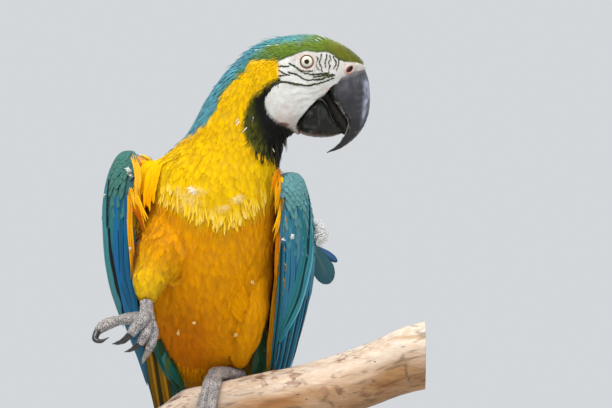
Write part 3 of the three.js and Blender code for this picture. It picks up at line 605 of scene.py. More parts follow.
def flank_right(z):
    return np.interp(z, [0, 24, 50, 76, 96, 108, 123, 141, 158], [41, 44, 47, 50, 49.5, 50, 51.5, 52, 60])


def markings(P, ruffle=1.2, naked=True, part=None):
    """Colour and bareness of skin and coat at points; naked=False leaves out the bare face."""
    x, y, z = P.T
    sx, sz = side_view(P)
    jig = ruffle * noise3(P, 3, 4.0) + 0.6 * ruffle * noise3(P, 4, 1.7)
    d = dorsal(P) + 1.6 * jig
    # yellow side, darker and more orange down the belly and towards the flanks; the orange below the breast's fringe,
    # the belly colour and the rust low on the belly are painted shade
    yel = mix(C["neck"], C["breast"], smooth(z, 205, 170)[:, None])
    fr = fringe(x) + 2.0 * jig
    front = smooth(y, 20, 0)
    yel = mix(yel, C["mid"], (smooth(z, fr + 2, fr - 5) * front + (1 - front) * smooth(z, 140, 104))[:, None])
    yel = mix(yel, C["belly"], (smooth(z, 96, 30) * smooth(x, 30, -14))[:, None])
    yel = mix(yel, C["rust"], (0.45 * smooth(z, 74, 30) * smooth(x + 0.3 * z, 16, -16) * front)[:, None])
    # painted shade darkens the flanks, and past them a dark painted shadow fills the gap between belly and wing
    away = np.minimum(x - flank_left(z), flank_right(z) - x) + 0.8 * jig
    side = front * smooth(z, 156, 148) * smooth(z, 8, 16)
    if part is not None:
        side = side * (1 - np.char.startswith(part, "thigh"))
    yel = mix(yel, C["flank"], (side * smooth(away, 8, 0.0) * np.where(x > 0, 0.1, 0.4))[:, None])
    yel = mix(yel, np.where((x > 0)[:, None], srgb(240, 138, 4), C["gap"]), (side * smooth(away, 0.0, -2.0))[:, None])
    if part is not None:
        th = np.char.startswith(part, "thigh") & (x < 0)
        # painted shade darkens the right thigh's top, under the wing
        high = mix(C["mid"] * 0.88, C["mid"], smooth(np.hypot(x + 46, (z - 114) * 0.7), 16, 24)[:, None])
        yel = mix(yel, mix(high, C["thigh"], smooth(z + 0.55 * (x + 45), 116, 70)[:, None]), (th * 1.0)[:, None])
        # a dark painted shadow runs down the right thigh's outer edge, in the gap beside the wing
        rim_ = np.interp(z, [80, 86, 92, 104, 116, 134], [-68, -61, -57, -54.5, -52.5, -51.5])
        yel = mix(yel, srgb(112, 42, 3), (th * (0.75 * smooth(rim_ - x, -0.5, 2.0) + 0.25 * smooth(rim_ - x, -6.0, 0.5)))[:, None])
        th = np.char.startswith(part, "thigh") & (x > 0)
        yel = mix(yel, C["mid"], (th * 0.7 * smooth(z, 70, 40))[:, None])
    # upper side: olive forehead, green crown whose blue on top is partly its own colour and partly a painted sheen,
    # blue-green nape, blue back
    up = mix(C["hind"], C["mantle"], smooth(z, 196, 165)[:, None])
    lowgreen = mix(C["nape"], up, smooth(d, 1.0, 7.0)[:, None])
    up = mix(up, lowgreen, smooth(z, 195, 225)[:, None])
    crown = mix(C["crown"] * 0.84, C["nape"], (0.75 * smooth(x, 52, 22))[:, None])
    # the blue towards the top, and along the top ridge, is partly the crown's own blue and partly a painted highlight
    crown = mix(crown, C["sheen"], (0.75 * smooth(d + 2.6 * jig, 13, 21) * smooth(x, 92, 70))[:, None])
    under_top = np.interp(x, [12, 22, 34, 46, 60, 75, 90], [246, 258, 268, 274, 277, 278.5, 276.5]) - z
    crown = mix(crown, srgb(78, 166, 190), (0.9 * smooth(under_top + 1.6 * jig, 7.5, 3.0) * smooth(x, 86, 62))[:, None])
    crown = mix(crown, C["edge"], (smooth(d, 2.6, 0.6) * smooth(x, 46, 56))[:, None])
    up = mix(up, crown, (smooth(x + 0.5 * (z - 262), 26, 52) * smooth(z, 238, 256))[:, None])
    up = mix(up, C["forehead"], (smooth(x + 0.5 * (270 - z), 84, 106) * smooth(z, 240, 250))[:, None])
    # painted light makes the green lighter along the top, and painted shade makes it deeper towards the face
    cap = smooth(x + 0.5 * (z - 262), 30, 52) * smooth(z, 240, 256)
    low_cap = smooth(under_top + jig, 4.0, 11.0)[:, None]
    up = mix(up, up * mix(np.array([1.12, 1.08, 0.95]), np.array([0.74, 0.80, 0.58]), low_cap), cap[:, None])
    col = mix(yel, up, smooth(d, -1.0, 1.0)[:, None])
    # under the tail's root the belly gives way to teal
    vent = 0.8 * (x - np.interp(z, [-12, -2, 11, 19, 34, 48, 60], [-4, -14.5, -28.6, -36.4, -42.7, -46, -50]))
    v = np.maximum(smooth(vent + 1.5 * jig, 1.5, -1.5) * (z < 50), smooth(y - 0.9 * (z + 4) + 2 * jig, 24, 30) * (z < 22))
    under = mix(C["vent"], C["teal"], (0.8 * smooth(noise3(P, 6, 9.0), -0.1, 0.6))[:, None])
    under = mix(under, srgb(190, 120, 8), (smooth(np.hypot(x + 29, (z + 3) * 1.2), 9, 5) * smooth(noise3(P, 7, 3.0), -0.5, 0.2))[:, None])
    col = mix(col, under, (v * (np.abs(x) < 54))[:, None])
    if part is not None:
        wing = np.char.startswith(part, "wing") | np.char.startswith(part, "shoulder")
        lo = 62 - 5.6 * smooth(y, 4, -6)
        outer = np.maximum(smooth(np.abs(x) + 0.55 * np.maximum(y, 0), lo, lo + 1.5), smooth(y - rear_of(P), -13, -8)) * (wing * 1.0)
        # the skin under the wing's coat is painted darker as shade: dim teal outside and dim gold inside, with brighter
        # orange only at the front
        col = mix(col, C["teal"] * 0.6, outer[:, None])
        col = mix(col, mix(C["gold"] * 0.7, srgb(240, 152, 10), smooth(y, -12, -24)[:, None]), ((1 - outer) * wing)[:, None])
    on_head = smooth(x, 22, 30) * smooth(z, 168, 176)
    bib = sd_poly(BIB, sx, sz) + 1.2 * jig
    # under the chin the bib runs across from side to side
    chin = np.where((x > 44) & (z < 210) & (np.abs(y - HEAD_Y) < 13), -3.0, 9.0)
    bib = np.minimum(bib, chin)
    edge = smooth(bib, 3.4, 0.8) * on_head
    col = mix(col, C["bibedge"], (0.8 * edge)[:, None])
    inner = mix(C["bib"], C["bibedge"], (0.9 * smooth(sx + 0.30 * (sz - 205), 44, 32) * smooth(noise3(P, 8, 1.5), -0.9, 0.5))[:, None])
    col = mix(col, inner, (smooth(bib, 1.0, -0.8) * on_head)[:, None])
    face = sd_poly(FACE, sx, sz) + 0.35 * jig
    brow = smooth(face, 2.4, 0.9) * smooth(z, 250, 254) * smooth(x, 50, 60) * on_head * smooth(x, 114, 108)
    col = mix(col, srgb(52, 72, 26), (0.8 * brow)[:, None])
    bare = smooth(face, 0.6, -0.6) * on_head
    pink = (0.30 * np.exp(-((x - EYE_X) ** 2 + (z - EYE_Z) ** 2) / 10.0 ** 2) + 0.30 * smooth(x, 98, 112)
            + 0.14 * smooth(noise3(P, 9, 9.0), 0.1, 0.8) + 0.5 * np.exp(-((x - 93) ** 2 + (z - 234) ** 2) / 9)
            + 0.45 * smooth(np.hypot(x - 58, (z - 209) * 1.6), 9, 3) + 0.35 * smooth(x + 0.75 * z, 232, 224) * smooth(x, 60, 66))
    skin = mix(C["face"], C["pink"], np.clip(pink, 0, 1)[:, None])
    # fine folds fan out from the corner of the gape over the cheek; their lines, and the cheek close to the gape, are
    # painted darker as shade
    ang = np.arctan2(z - 232, x - 99)
    dist = np.hypot(z - 232, x - 99)
    fold = np.sin(ang * 34 + 1.2 * noise3(P, 10, 7.0)) * smooth(dist, 7, 14) * smooth(dist, 52, 30) * smooth(z, 244, 236)
    skin = skin * (1 - 0.13 * smooth(fold, 0.1, 0.9) - 0.12 * smooth(dist, 26, 8) * smooth(z, 240, 230))[:, None]
    # painted shade darkens the lower cheek towards the bill and the skin round the eye, and a little more the lowest
    # cheek
    skin = skin * (1 - 0.20 * smooth(sd_poly(ZONE, sx, sz), 10, 2) * smooth(z, 222, 206) - 0.10 * smooth(np.hypot(x - EYE_X, z - EYE_Z), 16, 8))[:, None]
    skin = skin * (1 - 0.10 * smooth(z, 217, 205))[:, None]
    # the lining of the mouth is dark
    mouth = smooth(sd_poly(ZONE, sx, sz), 0.2, -0.7)
    skin = mix(skin, srgb(46, 36, 34), mouth[:, None])
    rim = smooth(sd_poly(ZONE, sx, sz), 3.4, 2.2) * smooth(z, 205, 202.5) * smooth(x, 69, 72)
    skin = mix(skin, srgb(104, 66, 48), (0.9 * rim)[:, None])
    if naked:
        col = mix(col, skin, bare[:, None])
    return col, bare, d, bib, face


GUIDE = np.array([
    # place, and the way the coat lies there
    (112, -12, 266, -0.9, 0, 0.45), (96, -12, 276, -1, 0, 0.2), (80, -12, 279, -1, 0, 0.0), (60, -12, 278, -1, 0, -0.1),
    (42, -12, 273, -0.85, 0.05, -0.5), (28, -10, 262, -0.55, 0.1, -0.85), (14, 0, 248, -0.35, 0.12, -0.95),
    (0, 14, 226, -0.3, 0.08, -0.95), (-16, 16, 204, -0.3, 0.1, -0.95), (-28, 20, 186, -0.1, 0.1, -1),
    (40, -38, 262, -0.8, 0, -0.55), (60, -38, 268, -1, 0, -0.05), (90, -34, 268, -1, 0, 0.15), (108, -28, 262, -1, 0, 0.2),
    (60, 14, 268, -1, 0, -0.05), (90, 10, 268, -1, 0, 0.15), (40, 14, 262, -0.8, 0.1, -0.55),
    (36, -38, 240, -0.62, 0, -0.8), (30, -36, 222, -0.35, 0, -0.93), (20, -38, 205, -0.2, -0.05, -0.98),
    (36, 14, 240, -0.6, 0.1, -0.8), (30, 14, 222, -0.35, 0.1, -0.93),
    (50, -36, 205, -0.38, 0, -0.92), (60, -28, 196, -0.3, -0.1, -0.95), (72, -12, 198, -0.25, 0, -0.97),
    (50, -12, 186, -0.15, 0, -1), (84, -12, 200, -0.25, 0, -0.97), (58, 0, 196, -0.2, 0.1, -0.95),
    (58, 0, 215, 0.05, 0.1, -1), (58, -30, 180, 0.0, -0.1, -1),
    (0, -56, 150, 0.0, -0.08, -1), (-35, -45, 150, -0.12, 0, -1), (35, -50, 150, 0.08, 0, -1), (0, -52, 110, 0, 0.1, -1),
    (0, -40, 75, 0, 0.25, -1), (0, -14, 35, 0, 0.5, -0.88), (-6, 20, 8, 0, 0.7, -0.7), (-20, 30, 5, 0, 0.6, -0.8),
    (0, 40, 140, 0, 0.12, -1), (0, 55, 90, 0, 0.15, -1), (0, 66, 30, 0, 0.1, -1), (54, 0, 110, 0.04, 0.12, -1),
    (-54, 0, 110, -0.04, 0.12, -1), (-40, 20, 170, -0.2, 0.1, -1), (55, 10, 170, 0.15, 0.1, -1)], float)


def lie(P, N, part):
    """The direction in which the coat lies, in the skin's plane."""
    d2 = ((P[:, None] - GUIDE[None, :, :3]) ** 2).sum(-1) + 16
    w = 1 / d2 ** 1.6
    d = (w[..., None] * GUIDE[None, :, 3:]).sum(1) / w.sum(1)[:, None]
    for name, (pts, _) in (("thigh_left", THIGH_L), ("thigh_right", THIGH_R)):
        k = part == name
        if k.any():
            c, t = catmull(pts, 24)
            j = np.argmin(((P[k][:, None] - c[None]) ** 2).sum(-1), 1)
            d[k] = unit(0.55 * unit(t[j]) + 0.45 * np.array([0, 0.05, -1.0]))
    d = d - (d * N).sum(-1, keepdims=True) * N
    return unit(d)


# ------------------------------------------------------------------ unwrap of the skin's own shape, for OFBake
ATLAS = {  # part: lower corner and size
    "trunk": (0.0, 0.0, 0.62, 0.48), "head": (0.0, 0.5, 0.62, 0.48), "thigh_left": (0.64, 0.0, 0.34, 0.14),
    "thigh_right": (0.64, 0.16, 0.34, 0.14), "wing_left": (0.64, 0.32, 0.34, 0.32), "wing_right": (0.64, 0.66, 0.34, 0.32)}


def unwrap(P, part):
    """Each point's place on an unwrap of the skin, part by part, from 0 to 1."""
    uv = np.zeros((len(P), 2))
    for name in np.unique(part):
        k = part == name
        q = P[k]
        if name == "head":
            u = (q[:, 0] - 20) / 108
            v = (np.degrees(np.arctan2(q[:, 1] - HEAD_Y, q[:, 2] - 237)) + 180) / 360
        elif name.startswith("thigh"):
            c, _ = catmull((THIGH_L if name.endswith("left") else THIGH_R)[0], 60)
            j = np.argmin(((q[:, None] - c[None]) ** 2).sum(-1), 1)
            u = j / 59
            v = (np.degrees(np.arctan2(q[:, 1] - c[j, 1], q[:, 0] - c[j, 0])) + 180) / 360
        elif name.startswith("wing"):
            u = np.clip((190 - q[:, 2]) / 200, 0, 1)
            s = 1 if name.endswith("left") else -1
            v = (np.degrees(np.arctan2(q[:, 1] - 15, s * q[:, 0] - 62)) + 180) / 360
        else:
            name = "trunk"
            phi, _ = round_angle(q)
            u = (q[:, 2] + 10) / 270
            v = ((phi + 180) % 360) / 360
        x0, y0, w, h = ATLAS[name]
        uv[k] = np.stack([x0 + 0.004 + np.clip(u, 0, 1) * (w - 0.008), y0 + 0.004 + np.clip(v, 0, 1) * (h - 0.008)], -1)
    return uv


# ------------------------------------------------------------------ strands and vanes
class Coat:
    """Collects tufts and turns them into pieces of a bounded size."""

    def __init__(self, name, mat, slot, limit=190000):
        self.name, self.mat, self.slot, self.limit = name, mat, slot, limit
        self.V, self.Q, self.T, self.C, self.U, self.W, self.N, self.n = [], [], [], [], [], [], [], 0

    def add(self, V, Q, T, C, U, W, N=None):
        """Vertices, quads, triangles, colours, OFBake places, vane places, soft normals."""
        if N is not None:
            self.N.append(N)
        self.V.append(V)
        self.C.append(C)
        self.U.append(U)
        self.W.append(W)
        self.Q.append(Q + self.n)
        self.T.append(T + self.n)
        self.n += len(V)

    def count(self):
        return sum(2 * len(q) for q in self.Q) + sum(len(t) for t in self.T)

    def build(self):
        if not self.V:
            return []
        out, k, first = [], 0, 0
        sizes = [2 * len(q) + len(t) for q, t in zip(self.Q, self.T)]
        total, start, offs = 0, 0, np.concatenate([[0], np.cumsum([len(v) for v in self.V])])
        groups = []
        for i, s in enumerate(sizes):
            if total + s > self.limit and i > start:
                groups.append((start, i))
                start, total = i, 0
            total += s
        groups.append((start, len(sizes)))
        for g, (a, b) in enumerate(groups):
            base = offs[a]
            F = [np.concatenate(self.Q[a:b]) - base, np.concatenate(self.T[a:b]) - base]
            ob = make_mesh(self.name + ("" if len(groups) == 1 else f"_{g + 1}"), np.concatenate(self.V[a:b]), F, self.mat,
                           np.concatenate(self.C[a:b]),
                           {"OFBake": np.concatenate(self.U[a:b]), "vane": np.concatenate(self.W[a:b])},
                           normals=np.concatenate(self.N[a:b]) if len(self.N) == len(self.V) else None)
            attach(ob, "root")
            out.append(ob)
        return out


def tube_faces(rings, sides, count):
    """Faces for count strands, each of rings x sides vertices and a tip vertex."""
    per = rings * sides + 1
    q, t = [], []
    for i in range(rings - 1):
        for j in range(sides):
            a, b = i * sides + j, i * sides + (j + 1) % sides
            q.append((a, b, b + sides, a + sides))
    for j in range(sides):
        t.append(((rings - 1) * sides + j, (rings - 1) * sides + (j + 1) % sides, rings * sides))
    t.append(tuple(range(sides))[::-1] if sides == 3 else (2, 1, 0))
    q, t = np.array(q), np.array(t)
    base = (np.arange(count) * per)[:, None, None]
    return (q[None] + base).reshape(-1, 4), (t[None] + base).reshape(-1, 3)


def poisson(F_V, F_T, weight, spacing, seed):
    """Points spread over triangles at about the given spacing, which may vary from place to place."""
    r = np.random.default_rng(seed)
    a, b, c = F_V[F_T[:, 0]], F_V[F_T[:, 1]], F_V[F_T[:, 2]]
    area = np.linalg.norm(np.cross(b - a, c - a), axis=1) / 2
    cen = (a + b + c) / 3
    sp = spacing(cen)
    w = area * (weight > 0) / sp ** 2
    n = int(w.sum() * 3.2)
    k = r.choice(len(w), n, p=w / w.sum())
    u, v = r.random(n), r.random(n)
    f = u + v > 1
    u[f], v[f] = 1 - u[f], 1 - v[f]
    P = a[k] + u[:, None] * (b[k] - a[k]) + v[:, None] * (c[k] - a[k])
    S = sp[k]
    cell = 2.0
    grid, keep = {}, []
    pl, sl = P.tolist(), S.tolist()
    for i, p in enumerate(pl):
        s = sl[i] * 0.86
        g = (int(p[0] // cell), int(p[1] // cell), int(p[2] // cell))
        m = int(s // cell) + 1
        ok = True
        for dx in range(-m, m + 1):
            for dy in range(-m, m + 1):
                for dz in range(-m, m + 1):
                    for q in grid.get((g[0] + dx, g[1] + dy, g[2] + dz), ()):
                        if (q[0] - p[0]) ** 2 + (q[1] - p[1]) ** 2 + (q[2] - p[2]) ** 2 < s * s:
                            ok = False
                            break
                    if not ok:
                        break
                if not ok:
                    break
            if not ok:
                break
        if ok:
            grid.setdefault(g, []).append(p)
            keep.append(i)
    return P[keep]


def strands(coat, R, N, D, length, width, rise, part, colour, per=5, rings=5, fan=0.34, curl=0.0, seed=1, tip_col=None,
            tip_amount=0.0, spread=0.5, root=-0.4, fluff=0.10, ridge=0.16, dark=0.93, slim=0.34, soft=0.30, vary=1.0):
    """Feathers as clusters of fine strands that lie along the skin and fan out to a rounded end.
    R, N, D: root points, normals and ways; length, width, rise in mm for each feather."""
    r = np.random.default_rng(seed)
    n = len(R)
    S = unit(np.cross(N, D))
    idx = np.repeat(np.arange(n), per)
    j = np.tile(np.arange(per), n)
    q = (j + 0.5) / per * 2 - 1
    q = q + r.normal(0, 0.25, len(q))
    L = length[idx] * (1 - 0.22 * q * q) * r.uniform(0.78, 1.08, len(q))
    ang = fan * q + r.normal(0, 0.06, len(q))
    d = unit(D[idx] * np.cos(ang)[:, None] + S[idx] * np.sin(ang)[:, None])
    base = R[idx] + S[idx] * (q * width[idx] * spread)[:, None]
    hi = rise[idx] * r.uniform(1 - fluff, 1 + fluff, len(q)) * (1 - 0.18 * q * q)
    bend = r.normal(0, 0.10, len(q)) + curl * q
    f = np.linspace(0, 1, rings + 1)
    C = np.empty((rings + 1, len(idx), 3))
    NN = np.empty((rings + 1, len(idx), 3))
    p = base.copy()
    dd = d.copy()
    n0 = N[idx].copy()
    for k in range(rings + 1):
        if k:
            step = (f[k] - f[k - 1]) * L
            dd = unit(dd + np.cross(n0, dd) * (bend / rings)[:, None])
            p = p + dd * step[:, None]
        s, m = surface_of(p)
        h = root + (hi - root) * (1 - (1 - f[k]) ** 1.7)
        m = unit(m + 0.5 * n0)
        C[k] = s + m * h[:, None]
        p = s
        dd = unit(dd - (dd * m).sum(-1, keepdims=True) * m)
        n0 = m
        NN[k] = m
    wd = width[idx] * slim * r.uniform(0.8, 1.25, len(q))
    prof = np.array([0.55, 0.95, 1.0, 0.86, 0.55, 0.2])
    prof = np.interp(np.linspace(0, 1, rings), np.linspace(0, 1, 6), prof)
    V = np.empty((len(idx), rings * 3 + 1, 3))
    G = np.empty_like(V)
    for k in range(rings):
        t = unit(C[min(k + 1, rings)] - C[max(k - 1, 0)])
        s = unit(np.cross(NN[k], t))
        u = np.cross(t, s)
        w = (wd * prof[k])[:, None]
        # the barbs scatter light much as the coat's own surface does, so their edges shade softly
        G[:, k * 3], G[:, k * 3 + 1], G[:, k * 3 + 2] = unit(NN[k] - s * soft), unit(NN[k] + s * soft), unit(NN[k] + u * 0.4)
        V[:, k * 3] = C[k] - s * w * 0.5
        V[:, k * 3 + 1] = C[k] + s * w * 0.5
        V[:, k * 3 + 2] = C[k] + u * w * ridge
    V[:, -1] = C[rings]
    G[:, -1] = NN[rings]
    Q, T = tube_faces(rings, 3, len(idx))
    fr = np.concatenate([np.repeat(f[:rings], 3), [1.0]])
    fr = np.tile(fr, (len(idx), 1))
    cols = colour(R[idx], C[rings], r)
    tone = 1 + vary * (r.uniform(-0.045, 0.04, n)[idx] + r.uniform(-0.05, 0.045, len(idx)))
    K = cols[:, None, :] * (tone[:, None] * (dark + (1.03 - dark) * np.minimum(fr * 1.5, 1)))[..., None]
    if tip_col is not None:
        K = mix(K, tip_col, (tip_amount * smooth(fr, 0.55, 1.0) * (tip_amount > 0))[..., None] if np.isscalar(tip_amount)
                else (tip_amount[idx][:, None] * smooth(fr, 0.55, 1.0))[..., None])
    uv = unwrap(R, part)[idx]
    across = np.concatenate([np.tile([0.0, 1.0, 0.5], rings), [0.5]])
    U = uv[:, None, :] + 0.003 * (np.stack([np.broadcast_to(across, fr.shape), fr], -1) - 0.5)
    W = np.stack([np.broadcast_to(across, fr.shape), fr], -1)
    per_v = V.shape[1]
    # in lots of about 40,000 triangles, so that pieces can be cut between them
    lot = max(1, 40000 // (per_v * 2))
    fq, ft = len(Q) // len(idx), len(T) // len(idx)
    for a in range(0, len(idx), lot):
        b = min(a + lot, len(idx))
        coat.add(V[a:b].reshape(-1, 3), Q[a * fq:b * fq] - a * per_v, T[a * ft:b * ft] - a * per_v,
                 K[a:b].reshape(-1, 3), U[a:b].reshape(-1, 2), W[a:b].reshape(-1, 2), G[a:b].reshape(-1, 3))


def grid_normals(P, ref):
    """Normals of the surface through grids of points (..., n, m, 3), on the side of ref."""
    c = np.cross(np.gradient(P, axis=-3), np.gradient(P, axis=-2))
    c = np.where((c * ref).sum(-1, keepdims=True) < 0, -c, c)
    return unit(c + 1e-9 * ref)


def blades(P, Nn, Gn, th, K, uv0, coat, uv_size=0.003):
    """Closed vanes over grids of points P (count, n, m, 3); Nn the way they are thick, Gn how they shade,
    th half thickness, K colours (count, 2, n, m, 3) of upper and lower side."""
    c, n, m = P.shape[:3]
    V = np.concatenate([(P + Nn * th[..., None]).reshape(c, -1, 3), (P - Nn * th[..., None]).reshape(c, -1, 3)], 1)
    G = np.concatenate([Gn.reshape(c, -1, 3), -Gn.reshape(c, -1, 3)], 1)
    q = grid_faces(n, m)
    off = n * m
    i, j = np.arange(n - 1), np.arange(m - 1)
    e, g = i * m + m - 1, (n - 1) * m + j
    Q = np.concatenate([
        q[:, ::-1], q + off, np.stack([i * m, (i + 1) * m, (i + 1) * m + off, i * m + off], -1)[:, ::-1],
        np.stack([e, e + m, e + m + off, e + off], -1), np.stack([j, j + 1, j + 1 + off, j + off], -1),
        np.stack([g, g + 1, g + 1 + off, g + off], -1)[:, ::-1]])
    if signed_volume(V[0], [Q]) < 0:
        Q = Q[:, ::-1]
    F, A = np.meshgrid(np.linspace(0, 1, n), np.linspace(-1, 1, m), indexing="ij")
    W = np.tile(np.stack([(A + 1) / 2, F], -1).reshape(-1, 2), (2, 1))
    lot = max(1, 40000 // (2 * len(Q)))
    uv0 = np.asarray(uv0, float).reshape(-1, 2)
    for a in range(0, c, lot):
        b = min(a + lot, c)
        QQ = (Q[None] + (np.arange(b - a) * 2 * off)[:, None, None]).reshape(-1, 4)
        U = np.broadcast_to(uv0[a:b, None], (b - a, 2 * off, 2)) + np.atleast_1d(uv_size) * (W - 0.5)[None]
        coat.add(V[a:b].reshape(-1, 3), QQ, np.zeros((0, 3), int), K[a:b].reshape(-1, 3), U.reshape(-1, 2),
                 np.tile(W, (b - a, 1)), G[a:b].reshape(-1, 3))


def blade(P, Nn, th, colour, uv0, coat, split=None, uv_size=0.003):
    """One closed vane over a grid of points P (n along, m across) with normals, th its half thickness.
    colour(f, a, top) gives the colour; f along 0..1, a across -1..1."""
    n, m = P.shape[:2]
    F, A = np.meshgrid(np.linspace(0, 1, n), np.linspace(-1, 1, m), indexing="ij")
    K = np.stack([colour(F, A, 1.0), colour(F, A, -1.0)])
    blades(P[None], Nn[None], grid_normals(P, Nn)[None], np.broadcast_to(th, (n, m))[None], K[None], [uv0], coat, uv_size)


def vane_outline(f, blunt=0.5, root=0.22, widest=0.55):
    """Half width from root to tip, at most 1."""
    a = smooth(f, -0.05, widest) * (1 - root) + root
    b = np.sqrt(np.maximum(0, 1 - np.maximum(0, (f - (1 - blunt)) / blunt) ** 2.2))
    return a * np.maximum(b, 0.06)


def wing_vane(coat, T, sign, u0, v0, u1, v1, width, lift, colour, uv0, r, n=7, m=5, blunt=0.5, camber=0.5, th=0.18,
              root=0.3, skew=0.0, ragged=0.0, bow=0.0, inner=False, uv_size=0.003):
    """A vane lying on the wing's outer surface from (u0, v0) to (u1, v1); lift is its height at root and tip."""
    f = np.linspace(0, 1, n)
    a = np.linspace(-1, 1, m)
    hw = width / 2 * vane_outline(f, blunt, root) * (1 + ragged * r.uniform(-1, 0.3, n))
    uc = u0 + (u1 - u0) * f + bow * f * (1 - f) * 4
    vc = v0 + (v1 - v0) * f
    _, gu, _ = wing_normal(T, sign, uc, vc)
    off = hw[:, None] * (a[None] + skew * (1 - a[None] ** 2))
    if ragged:
        off = off + ragged * width * 0.05 * r.normal(0, 1, (n, m)) * np.abs(a[None])
    uu = uc[:, None] + off / np.maximum(gu, 8)[:, None]
    vv = np.broadcast_to(vc[:, None], uu.shape)
    P = wing_point(T, sign, uu, vv)
    N, _, _ = wing_normal(T, sign, uu, vv)
    # beyond the wing's front and rear edges the vane wraps on instead of running straight
    h = lift[0] + (lift[1] - lift[0]) * f[:, None] ** 0.8 + camber * (1 - a[None] ** 2) * np.sin(np.pi * np.minimum(f[:, None] + 0.15, 1)) ** 0.5
    P = P + N * h[..., None]
    tt = th * (1 - 0.75 * np.abs(a[None]) ** 2) * (1 - 0.6 * f[:, None])
    blade(P, N, np.broadcast_to(tt, h.shape), colour, uv0, coat, uv_size=uv_size)


def scales(coat, R, N, D, length, width, rise, part, colour, n=6, m=5, blunt=0.6, root_w=0.35, th=0.16, camber=0.35,
           seed=1, ragged=0.06, tilt=0.0, shade=(0.62, 1.06), soft=0.0, cup=0.0):
    """Broad overlapping vanes that wrap the skin. colour(R, f, a, r) gives (count, n, m, 3); soft from 0 to 1
    lets them shade like the skin below; cup bends their sides down."""
    r = np.random.default_rng(seed)
    k = len(R)
    f = np.linspace(0, 1, n)
    a = np.linspace(-1, 1, m)
    hw = vane_outline(f, blunt, root_w)[None] * width[:, None] / 2 * (1 + ragged * r.uniform(-1, 0.6, (k, n)))
    C = np.empty((k, n, 3))
    NN = np.empty((k, n, 3))
    p, dd, n0 = R.copy(), D.copy(), N.copy()
    bend = r.normal(0, 0.06, k)
    for i in range(n):
        if i:
            dd = unit(dd + np.cross(n0, dd) * (bend / n)[:, None])
            p = p + dd * (length / (n - 1))[:, None]
        p, q = surface_of(p)
        n0 = unit(q + 0.35 * n0)
        dd = unit(dd - (dd * n0).sum(-1, keepdims=True) * n0)
        C[:, i], NN[:, i] = p, n0
    P = np.empty((k, n, m, 3))
    M = np.empty((k, n, m, 3))
    SS = np.empty((k, n, m, 3))
    for i in range(n):
        t = unit(C[:, min(i + 1, n - 1)] - C[:, max(i - 1, 0)])
        s = unit(np.cross(NN[:, i], t))
        for j in range(m):
            q, nn = surface_of(C[:, i] + s * (a[j] * hw[:, i])[:, None])
            nn = unit(nn + 0.8 * NN[:, i])
            h = -0.3 + (rise + 0.3) * f[i] ** 0.75 + camber * (1 - a[j] ** 2) * np.sin(np.pi * min(f[i] + 0.15, 1)) \
                + tilt * a[j] * rise * 0.3 - cup * a[j] ** 2
            P[:, i, j] = q + nn * h[:, None]
            M[:, i, j] = nn
            SS[:, i, j] = s * a[j]
    tt = th * (1 - 0.75 * np.abs(a) ** 2)[None, None] * (1 - 0.6 * f)[None, :, None]
    G = grid_normals(P, M)
    if soft:
        G = unit(G * (1 - soft) + soft * unit(M + 0.16 * SS))
    F, A = np.meshgrid(f, a, indexing="ij")
    K = colour(R, F, A, r)
    K = K * (shade[0] + (shade[1] - shade[0]) * np.minimum(F * 1.25, 1))[None, ..., None]
    # the lower side of each vane is painted darker, as shade
    blades(P, M, G, np.broadcast_to(tt, P.shape[:3]), np.stack([K, K * 0.8], 1), unwrap(R, part), coat)


def lobe(coat, pts, out, width, colour, uv0, r, n=22, m=7, blunt=0.35, root=0.45, widest=0.45, camber=0.6, th=0.22,
         ragged=0.03, twist=0.0, skew=0.0):
    """A free vane along a line of points; out is the way it faces (one way, or one for each point)."""
    C, T = catmull(pts, n)
    f = np.linspace(0, 1, n)
    a = np.linspace(-1, 1, m)
    O = np.array(out, float)
    O = np.broadcast_to(O, (n, 3)) if O.ndim == 1 else unit(through(O, np.linspace(0, len(O) - 1, n)))
    S = unit(np.cross(T, O))
    U = np.cross(S, T)
    U = np.where((U * O).sum(-1, keepdims=True) < 0, -U, U)
    hw = width / 2 * vane_outline(f, blunt, root, widest) * (1 + ragged * r.uniform(-1, 0.3, n))
    off = hw[:, None] * (a[None] + skew * (1 - a[None] ** 2))
    P = C[:, None] + S[:, None] * off[..., None] + U[:, None] * (camber * (1 - a[None] ** 2) * np.ones((n, 1)) + twist * a[None] * hw[:, None])[..., None]
    N = np.broadcast_to(U[:, None], P.shape)
    tt = th * (1 - 0.75 * a[None] ** 2) * (1 - 0.5 * f[:, None])
    blade(P, N, tt, colour, uv0, coat)


def plain(base, edge=None, edge_side=1, tip=None, amount=0.8, width=0.6):
    """A colour function with one side edge and the tip in other colours."""
    def col(F, A, top):
        c = np.broadcast_to(base, F.shape + (3,))
        if edge is not None:
            c = mix(c, edge, (amount * smooth(A * edge_side, width, min(1.0, width + 0.3)))[..., None])
        if tip is not None:
            c = mix(c, tip, (amount * smooth(F, 0.7, 1.0))[..., None])
        e = 0.86 + 0.18 * smooth(F, 0.0, 0.3) - 0.10 * smooth(np.abs(A), 0.85, 1.0) + 0.05 * np.sin(7 * A)
        # the lower side is painted darker, as shade
        return c * (e * (1.0 if top > 0 else 0.75))[..., None]
    return col


